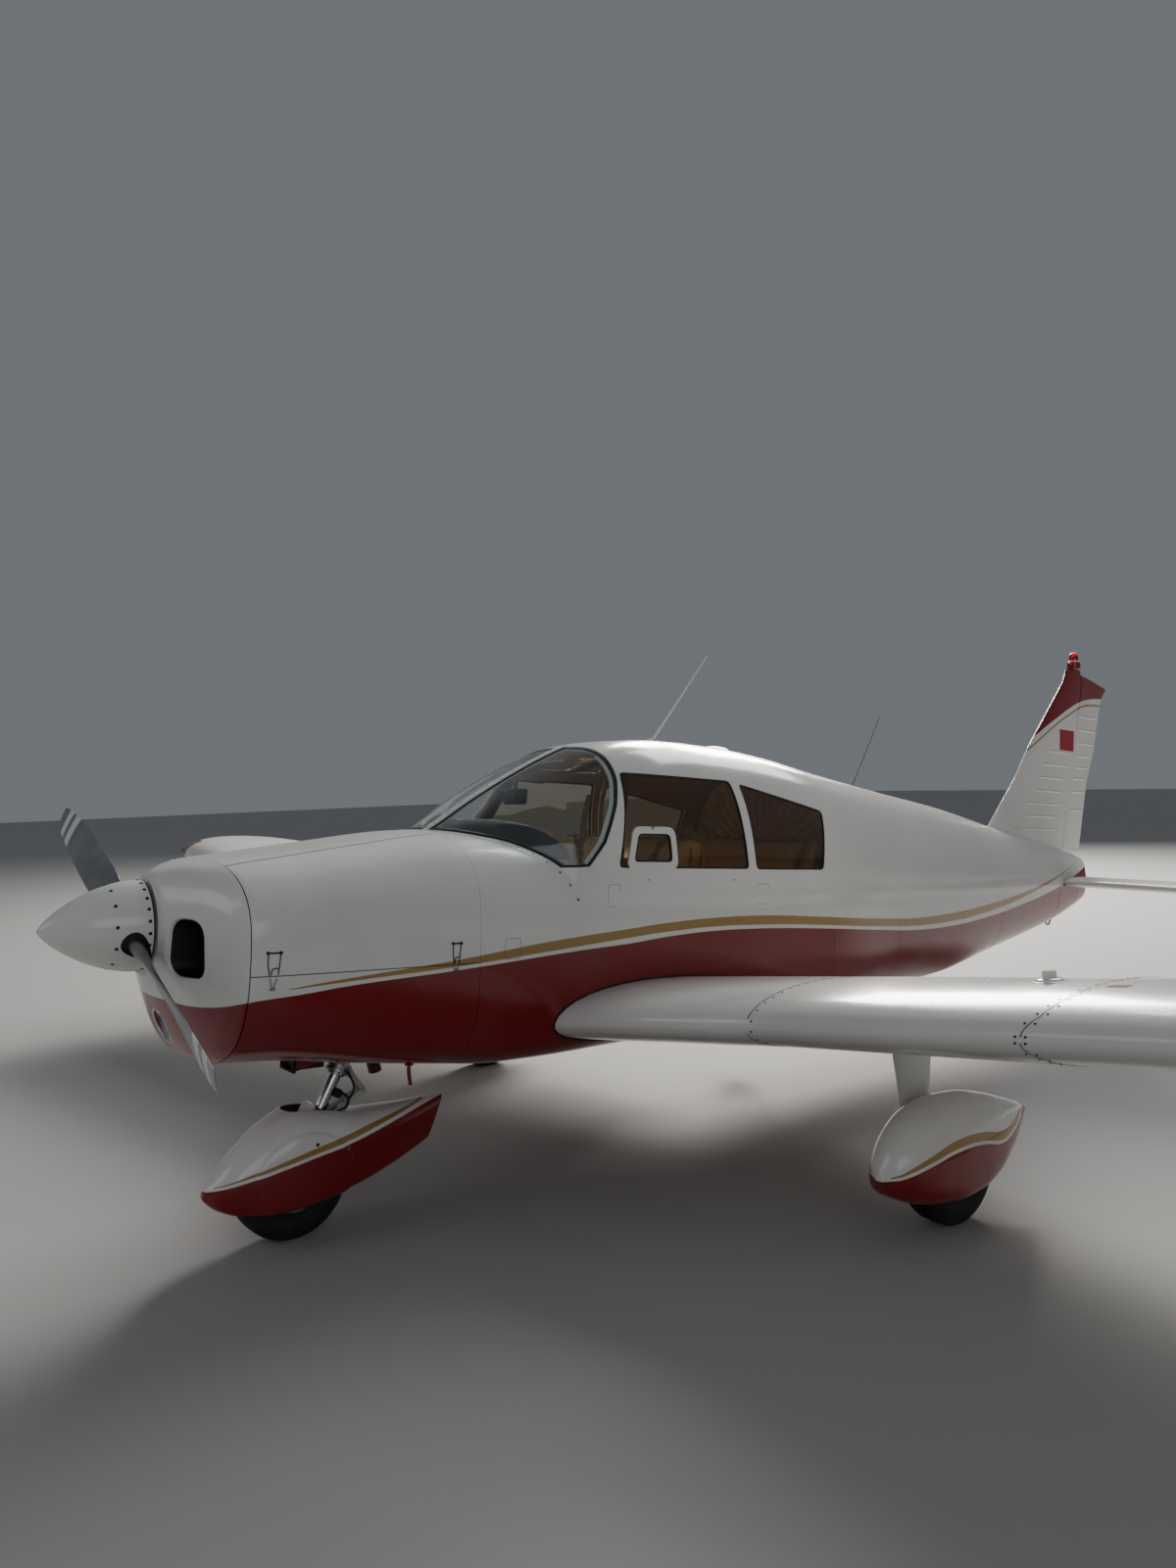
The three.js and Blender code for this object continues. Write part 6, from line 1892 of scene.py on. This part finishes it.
def makeLeather():
    material, tree, shader = newMaterial("creamLeather")
    place = node(tree, "TexCoord").outputs["Object"]
    cells = node(tree, "TexVoronoi", {"Vector": place, "Scale": 420.0})
    tone = node(tree, "TexNoise", {"Vector": place, "Scale": 7.0, "Detail": 4.0}).outputs["Fac"]
    base = mixColor(tree, tone, rgb(leather["light"]), rgb(leather["color"]))
    skin = coverShader(tree, shader, base, leather["dirt"], amount=0.3, scale=5.0, grain=300.0, wave=14.0,
                       grainHeight=0.2, waveHeight=0.35, roughness=leather["roughness"], spread=0.2)
    bump = node(tree, "Bump", {"Strength": 0.25, "Distance": 0.0015, "Height": cells.outputs["Distance"],
                               "Normal": skin["Normal"]})
    tree.links.new(bump.outputs[0], shader.inputs["Normal"])
    return material


finish["leather"] = makeLeather()

# Floor with its tunnel and seat rails
floorMesh = keepMesh(bodySolid(skinField, -21, steps(1410, 4045, 60)),
                     box(1419, 4039, -900, 900, -334, cabin["floorZ"]))
makePiece("floor_carpet", floorMesh, "carpet", replaces="cabin_floor")
tunnel = loftMesh([[(x, y, z) for y, z in rounded([(-75, -330), (-62, -262), (62, -262), (75, -330)],
                                                            (1, 24, 24, 1), 6)] for x in (1425, 1900, 2380)])
makePiece("floor_tunnel", tunnel, "carpet")
rails = [box(1960, 2620, y - 9, y + 9, -326, -316) for y in (-430, -100, 100, 430)]
makePiece("seat_rails", rails, "metal")


# Rounded block of quads, its cells lined up with the sewn channels
def padBlock(size, matrix, crown, cells):
    half = Vector(size) / 2
    edge = min(half) * 0.84
    index, points, faces = {}, [], []

    def corner(unit):
        key = tuple(round(c * 1000) for c in unit)
        if key not in index:
            point = Vector([unit[i] * half[i] for i in range(3)])
            core = Vector([max(min(point[i], half[i] - edge), edge - half[i]) for i in range(3)])
            away = point - core
            if away.length > 1e-6:
                away = away.normalized() * min(edge, max(abs(c) for c in away))
            point = core + away
            lift = max(0, 1 - abs(unit[0]) ** 2.4) * max(0, 1 - abs(unit[1]) ** 2.4)
            point.z += crown * lift * unit[2]
            index[key] = len(points)
            points.append(matrix @ point)
        return index[key]

    for axis in range(3):
        u, v = (axis + 1) % 3, (axis + 2) % 3
        for sign in (-1, 1):
            for i in range(cells[u]):
                for j in range(cells[v]):
                    quad = []
                    for a, b in ((i, j), (i + 1, j), (i + 1, j + 1), (i, j + 1)):
                        unit = [0, 0, 0]
                        unit[axis], unit[u], unit[v] = sign, 2 * a / cells[u] - 1, 2 * b / cells[v] - 1
                        quad.append(corner(unit))
                    faces.append(quad if sign > 0 else quad[::-1])
    return meshFrom(points, faces)


# Cloth swells the pad under its own pressure, and no point moves further than the cap
def swellPad(mesh, cap):
    mesh.transform(Matrix.Scale(0.001, 4))
    soft = tempObject(mesh)
    start = np.zeros(len(mesh.vertices) * 3)
    mesh.vertices.foreach_get("co", start)
    cloth = soft.modifiers.new("swell", "CLOTH")
    settings = cloth.settings
    settings.quality = 4
    settings.use_pressure = True
    settings.uniform_pressure_force = leather["pressure"]
    settings.effector_weights.gravity = 0
    for frameNumber in range(1, 21):
        bpy.context.scene.frame_set(frameNumber)
    shaped = soft.evaluated_get(bpy.context.evaluated_depsgraph_get())
    end = np.zeros(len(start))
    shaped.to_mesh().vertices.foreach_get("co", end)
    shaped.to_mesh_clear()
    bpy.context.scene.frame_set(1)
    bpy.data.objects.remove(soft)
    moved = (end - start).reshape(-1, 3)
    moved -= moved.mean(0)
    length = np.linalg.norm(moved, axis=1, keepdims=True)
    moved *= np.minimum(1, cap / 1000 / np.maximum(length, 1e-9))
    mesh.vertices.foreach_set("co", (start.reshape(-1, 3) + moved).ravel())
    mesh.transform(Matrix.Scale(1000, 4))
    mesh.update()
    return mesh


def subdivided(mesh):
    obj = tempObject(mesh)
    layer = obj.modifiers.new("finer", "SUBSURF")
    layer.levels = layer.render_levels = 1
    fine = evaluatedMesh(obj)
    bpy.data.objects.remove(obj)
    return fine


# Sewn channels along the pad's face, and a few across it
def sewChannels(mesh, matrix, size, pleats, across):
    inverse = np.array(matrix.inverted())
    turn = inverse[:3, :3]
    count = len(mesh.vertices)
    points, normals = np.zeros(count * 3), np.zeros(count * 3)
    mesh.vertices.foreach_get("co", points)
    mesh.vertices.foreach_get("normal", normals)
    points, normals = points.reshape(-1, 3), normals.reshape(-1, 3)
    local = points @ turn.T + inverse[:3, 3]
    facing = np.clip((normals @ turn.T)[:, 2] * 1.6, 0, 1)
    within = [np.clip((size[i] / 2 - np.abs(local[:, i])) / 26, 0, 1) for i in (0, 1)]
    push = np.zeros(count)
    for line in pleats:
        push = np.maximum(push, np.exp(-((local[:, 1] - line) / 6) ** 2) * within[0] * within[1])
    for line in across:
        push = np.maximum(push, np.exp(-((local[:, 0] - line) / 7) ** 2) * within[1])
    points = points - normals * (leather["pleat"] * push * facing)[:, None]
    mesh.vertices.foreach_set("co", points.ravel())
    mesh.update()
    return mesh


def cushion(name, size, place, degrees, cells, pleats, across, corner=60, replaces=None):
    matrix = Matrix.Translation(place) @ Matrix.Rotation(math.radians(degrees), 4, "Y")
    mesh = swellPad(padBlock(size, matrix, 6, cells), leather["swell"])
    mesh = sewChannels(subdivided(mesh), matrix, size, pleats, across)
    piece = makePiece(name, mesh, "leather", replaces=replaces, smooth=60)
    rim = rounded(rectangle(8 - size[0] / 2, size[0] / 2 - 8, 8 - size[1] / 2, size[1] / 2 - 8), corner, 8)
    rim = [tuple(matrix @ Vector((a, b, size[2] / 2 - 16))) for a, b in rim + rim[:1]]
    makePiece(name + "_piping", tube(rim, 4.5, 10, False), "piping", smooth=60)


def seatBase(name, x0, x1, y0, y1):
    rings = [[(x, y, z) for x, y in rounded(rectangle(x0 + d, x1, y0 + d, y1 - d), 40, 6)]
             for z, d in ((-322, 14), (-250, 6), (-162, 0))]
    makePiece(name, loftMesh(rings), "lining", smooth=40)


for side, name in bothSides:
    y = side * 264
    cushion(f"front_seat_cushion_{name}", (440, 430, 104), Vector((2216, y, -106)), 5, (30, 42, 8),
            (-132, -66, 0, 66, 132), (70,), replaces=f"front_seat_{name}")
    cushion(f"front_seat_back_{name}", (464, 424, 92), Vector((2514, y, 112)), -78, (32, 42, 8),
            (-124, -62, 0, 62, 124), (130,), corner=100)
    seatBase(f"front_seat_base_{name}", 2020, 2430, y - 200, y + 200)
    shellRows = [[(x, y + v, z) for x, v, z in ((x0, -half, z), (x0 + 16, -half + 10, z), (x0 + 16, half - 10, z),
                                                (x0, half, z))]
                 for z, x0, half in ((-120, 2512, 196), (0, 2540, 200), (160, 2573, 200), (270, 2596, 190),
                                     (320, 2604, 160))]
    makePiece(f"front_seat_shell_{name}", loftMesh(shellRows), "lining", smooth=40)
cushion("rear_seat_cushion", (396, 930, 96), Vector((3072, 0, -106)), 5, (24, 72, 6),
        (-352, -264, -176, -88, 0, 88, 176, 264, 352), (60,), replaces="rear_seat")
cushion("rear_seat_back", (464, 900, 88), Vector((3364, 0, 112)), -75, (26, 72, 6),
        (-340, -255, -170, -85, 0, 85, 170, 255, 340), (120,), corner=110)
seatBase("rear_seat_base", 2900, 3300, -440, 440)

# Bulkhead behind the rear seat, covered in fanned pleats
arch = keepMesh(bodySolid(skinField, -24, steps(3380, 3560, 30)), box(3466, 3478, -900, 900, -320, 900))
makePiece("rear_bulkhead", arch, "lining")
folds = []
for i in range(21):
    a = math.pi * (i + 0.5) / 21
    radius = np.arange(60, 700, 4.0)
    value = skinField(np.full(len(radius), 3466.0), np.cos(a) * radius, 190 + np.sin(a) * radius)
    along = np.linspace(60, radius[np.argmax(value > -46)], 16)
    line = np.stack([np.full(16, 3464.0), np.cos(a) * along, 190 + np.sin(a) * along], -1)
    folds.append(ribbon(line, np.repeat([[-1.0, 0, 0]], 16, 0), along * math.pi / 21 * 0.96, 3, 3, 12))
fan = makePiece("rear_trim_pleats", folds, "leather", smooth=70)

# Instrument panel: board, dials and radios
x = cabin["panelX"]
board = keepMesh(bodySolid(skinField, -23, steps(1700, 1800, 20)), box(x, x + 14, -900, 900, -60, 286))
makePiece("panel_board", board, "black", replaces="instrument_panel")
bezels, faces, needles = [], [], []
large, medium, small = cabin["dialRadius"]
dials = [(y, z, large) for y in (-390, -300, -210) for z in (190, 95)] + [(-120, z, medium) for z in (190, 95)]
dials += [(y, z, small) for y in (250, 320, 390) for z in (200, 120)]
for y, z, r in dials:
    bezels.append(turned((x + 14, y, z), (1, 0, 0), [(0, r + 2), (5, r + 2), (7, r - 1), (5, r - 4), (2, r - 4)], 40))
    faces.append(turned((x + 14, y, z), (1, 0, 0), [(0, r - 4), (2.2, r - 4), (2.3, 0.3)], 40))
    for k in range(12):
        a = 2 * math.pi * k / 12
        ty, tz = y + math.sin(a) * (r - 9), z + math.cos(a) * (r - 9)
        needles.append(box(x + 16.4, x + 17, ty - 1, ty + 1, tz - 2.6, tz + 2.6))
    a = y * 0.7 + z
    tip = (x + 17.4, y + math.sin(a) * (r - 12), z + math.cos(a) * (r - 12))
    needles.append(tube([(x + 17.4, y, z), tip], (1.8, 0.7), 8))
makePiece("dial_bezels", bezels, "dark", smooth=40)
makePiece("dial_faces", faces, "black", smooth=40)
makePiece("dial_needles", needles, "white")
radios = []
for z0, z1 in ((170, 225), (112, 164), (54, 106), (0, 48)):
    radios.append(cutMesh(box(x + 14, x + 22, -60, 110, z0, z1), box(x + 19, x + 30, -48, 60, z0 + 12, z1 - 12)))
    for y in (76, 96):
        radios.append(turned((x + 22, y, (z0 + z1) / 2), (1, 0, 0), [(0, 8), (10, 7.4), (11, 5), (11, 0.3)], 20))
makePiece("radio_stack", radios, "dark", smooth=34)

# Glare shield: a rolled dome over the panel, with a small device on it
domeRings = []
for share in np.linspace(0, 1, 25):
    y = -505 + share * 1010
    tall = 132 * max(0.0, 1 - abs(2 * share - 1) ** 3.2) ** 0.5 + 8
    ring = [(1712 + 134 * math.cos(math.pi * k / 14), y, 262 + tall * math.sin(math.pi * k / 14) ** 0.75)
            for k in range(15)]
    domeRings.append(ring + [(1578, y, 252), (1846, y, 252)])
shield = keepMesh(loftMesh(domeRings), bodySolid(skinField, -30, steps(1500, 1900, 14)))
makePiece("glare_shield", shield, "vinyl", smooth=50)
shelf = keepMesh(bodySolid(skinField, -23, steps(1460, 1800, 16)), box(1500, 1745, -900, 900, 252, 264))
makePiece("panel_shelf", shelf, "black")
makePiece("shield_device", turned((1690, -150, 360), (0, 0, 1), [(0, 34), (14, 36), (26, 30), (32, 20), (33, 1)], 32),
          "black", smooth=40)

# Yokes, pedals and throttle levers
yokes = []
for side in (-1, 1):
    y = side * cabin["yokeY"]
    yokes.append(tube([(1745, y, 130), (1900, y, 130)], 13, 24))
    yokes.append(turned((1745, y, 130), (1, 0, 0), [(0, 30), (8, 30), (14, 20), (20, 14)], 32))
    wheel = smoothPath([(1902, y - 128, 205), (1904, y - 134, 165), (1903, y - 108, 130), (1903, y - 50, 122),
                        (1903, y, 128), (1903, y + 50, 122), (1903, y + 108, 130), (1904, y + 134, 165),
                        (1902, y + 128, 205)], 7)
    thick = np.interp(np.linspace(0, 1, len(wheel)), [0, 0.06, 0.2, 0.5, 0.8, 0.94, 1], [9, 15, 14, 17, 14, 15, 9])
    yokes.append(tube(wheel, thick, 18))
    yokes.append(turned((1893, y, 128), (1, 0, 0), [(0, 26), (20, 26), (24, 18), (24, 1)], 28))
makePiece("yokes", yokes, "black", smooth=50)
pedals = []
for y in (-330, -190, 190, 330):
    pedals.append(tube([(1560, y, -180), (1545, y, -322)], 8, 12))
    pedals.append(box(1556, 1570, y - 38, y + 38, -222, -168))
makePiece("rudder_pedals", pedals, "dark")
levers = [box(1749, 1786, -56, 56, -52, -8)]
for y, z in ((-26, 4), (4, 8), (32, 12)):
    levers.append(tube([(1780, y, -26), (1838, y, z - 12)], 4, 10))
    levers.append(turned((1834, y, z - 14), (1, 0, 0.2), [(0, 6), (4, 12), (18, 12), (22, 7), (22, 0.4)], 20))
makePiece("throttle_levers", levers, "black")

# Compass on the centre strip, sun visors, post trims and headliner bows
compass = [prism(rounded([(1878, 470), (1942, 470), (1948, 536), (1874, 536)], 14, 6), -42, 42),
           tube([(1910, 0, 534), (1922, 0, 584)], 8, 14)]
makePiece("compass", compass, "black", smooth=40)
makePiece("compass_face", turned((1943, 0, 503), (1, 0, 0), [(0, 26), (4, 26), (6, 22), (4, 20), (4, 0.5)], 32),
          "white", smooth=40)
visors = []
for side in (-1, 1):
    edge = ((90, -1), (110, -4), (272, -4), (292, -1), (272, 3), (110, 3))
    visors.append(loftMesh([[(x, side * y, z + c) for y, c in edge]
                                     for x, z in ((2056, 612), (2064, 614), (2150, 652), (2210, 670), (2218, 671))]))
    visors.append(tube([(2216, side * 60, 676), (2216, side * 292, 672)], 4, 10))
makePiece("sun_visors", visors, "tinted", smooth=40)


# Strip along the inside of the post on one side
def postStrip(side, shift, depth, *size):
    z = np.linspace(236, 690, 24)
    wall = onSide(postX(z) + shift, z, side)
    out = fieldNormals(skinField, wall)
    return ribbon(wall - out * depth, -out, *size)


trims = [postStrip(side, 34, 25, 44, 6, 3, 4) for side in (-1, 1)]
linings = [postStrip(side, -18, 15, 26, 4, 2, 3) for side in (-1, 1)]
makePiece("windscreen_lining", linings, "white", smooth=50)
makePiece("door_post_trim", trims, "trim", smooth=50)
bows = []
for x, low in ((2190, 610), (2790, 600), (3400, 500)):
    ring = fieldRings(skinField, [x], centreLine, 200)[0]
    ring = ring[ring[:, 2] > low]
    ring = ring[np.argsort(ring[:, 1])]
    out = fieldNormals(skinField, ring)
    bows.append(ribbon(ring - out * 22, -out, 26, 3, 3, 5))
makePiece("headliner_bows", bows, "lining", smooth=50)

# Padded panels on the cabin sides, the door's own with its pull, and the belts
def sidePanel(x0, x1, z0, z1, side):
    rings, normals = ringsOf(skinField, steps(x0 - 10, x1 + 10, 24), centreLine, 200)
    return keepMesh(shellMesh(rings, normals, -19, -27), sideCut(rectangle(x0, x1, z0, z1), 40, side, 6))


panels = [sidePanel(2050, 2780, -290, 150, -1), sidePanel(2870, 3380, -290, 130, -1),
          sidePanel(2870, 3380, -290, 130, 1)]
makePiece("side_trim_panels", panels, "lining", field=skinField)
makePiece("door_trim_panel", sidePanel(2040, 2770, -60, 150, 1), "lining", "cabin_door", field=skinField)
pull = smoothPath([(2560, 512, 60), (2560, 490, 66), (2590, 482, 68), (2650, 482, 68), (2676, 490, 66),
                   (2676, 512, 60)], 6)
makePiece("door_pull", tube(pull, 8, 14), "black", "cabin_door", smooth=50)
belts = []
for side in (-1, 1):
    for points in ([(2700, 470, 540), (2665, 464, 420), (2645, 440, 330), (2600, 360, 366), (2540, 300, 356),
                    (2482, 260, 260), (2450, 240, 150)],
                   [(2420, 60, -30), (2330, 120, -42), (2290, 220, -38)],
                   [(3385, 430, 400), (3350, 420, 350), (3300, 390, 220), (3236, 360, 20)],
                   [(3210, 60, -34), (3120, 130, -40), (3080, 240, -40)]):
        path = np.array(smoothPath([(a, side * b, c) for a, b, c in points], 8))
        belts.append(ribbon(path, np.repeat([[-0.6, 0.0, 0.8]], len(path), 0), 44, 1.6, 0.6))
makePiece("seat_belts", belts, "webbing", smooth=40)
wall = onSide([2232], [383], -1)
out = fieldNormals(skinField, wall)
makePiece("storm_window_knob", turned(wall[0] + out[0] * 2, out[0], [(0, 6), (4, 6), (7, 4), (8, 0.4)], 20), "metal",
          smooth=40)

# Cooling fins on the engine's front, seen through the inlets
fins = []
for side in (-1, 1):
    for i in range(14):
        fins.append(box(552 + i % 2 * 4, 572, *spanOf(side, 130, 372), -118 + i * 18, -113 + i * 18))
makePiece("cooling_fins", fins, "dark")
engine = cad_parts["engine_block"]
engine.data.materials.clear()
engine.data.materials.append(finish["dark"])
print("cabin ready")

# Camera, floor and lights
cameraFit = {"focal": 1131.0, "height": 1600, "place": (-830.6, -3921.8, 403.9), "yaw": 38.71, "pitch": 1.93,
             "roll": 1.45}


def placeCamera():
    yaw, pitch, roll = (math.radians(cameraFit[k]) for k in ("yaw", "pitch", "roll"))
    ahead = Vector((math.sin(yaw) * math.cos(pitch), math.cos(yaw) * math.cos(pitch), math.sin(pitch)))
    right = Vector((math.cos(yaw), -math.sin(yaw), 0))
    up = right.cross(ahead)
    across = right * math.cos(roll) + up * math.sin(roll)
    upward = -right * math.sin(roll) + up * math.cos(roll)
    turn = Matrix((across, upward, -ahead)).transposed()
    turn = toRow.to_3x3().normalized() @ turn
    data = bpy.data.cameras.new("camera")
    camera = bpy.data.objects.new("camera", data)
    bpy.context.scene.collection.objects.link(camera)
    camera.matrix_world = Matrix.Translation(rowPoint(*cameraFit["place"])) @ turn.to_4x4()
    data.sensor_fit = "VERTICAL"
    data.sensor_height = 36
    data.lens = 36 * cameraFit["focal"] / cameraFit["height"]
    data.clip_end = 200
    bpy.context.scene.camera = camera


placeCamera()


def makeStage():
    size = 60.0
    mesh = bpy.data.meshes.new("floor")
    mesh.from_pydata([(-size, -size, 0), (size, -size, 0), (size, size, 0), (-size, size, 0)], [], [(0, 1, 2, 3)])
    floor = bpy.data.objects.new("floor", mesh)
    bpy.context.scene.collection.objects.link(floor)
    material, tree, shader = newMaterial("floorPaint")
    shader.inputs["Base Color"].default_value = (0.42, 0.41, 0.395, 1)
    shader.inputs["Roughness"].default_value = 0.75
    mesh.materials.append(material)
    world = bpy.data.worlds.new("studio")
    bpy.context.scene.world = world
    world.use_nodes = True
    sky = world.node_tree.nodes["Background"]
    sky.inputs["Color"].default_value = (0.80, 0.86, 0.95, 1)
    sky.inputs["Strength"].default_value = 0.2


def areaLight(name, place, aim, size, power, color=(1, 1, 1)):
    data = bpy.data.lights.new(name, "AREA")
    data.shape, data.size, data.size_y = "RECTANGLE", size[0], size[1]
    data.energy, data.color = power, color
    lamp = bpy.data.objects.new(name, data)
    bpy.context.scene.collection.objects.link(lamp)
    lamp.location = place
    lamp.rotation_euler = (Vector(aim) - Vector(place)).to_track_quat("-Z", "Y").to_euler()


makeStage()
areaLight("key", (11, 9, 8.5), (0, 0, 0.6), (6, 5), 3700, (1.0, 0.97, 0.92))
areaLight("fill", (-6, -12, 5), (0, 0, 1), (10, 5), 160, (0.92, 0.96, 1.0))
areaLight("top", (9, 3, 10), (0, 0, 0), (6, 6), 800)
areaLight("front", (-12, 3, 7), (-2, 0, 1), (5, 4), 70)
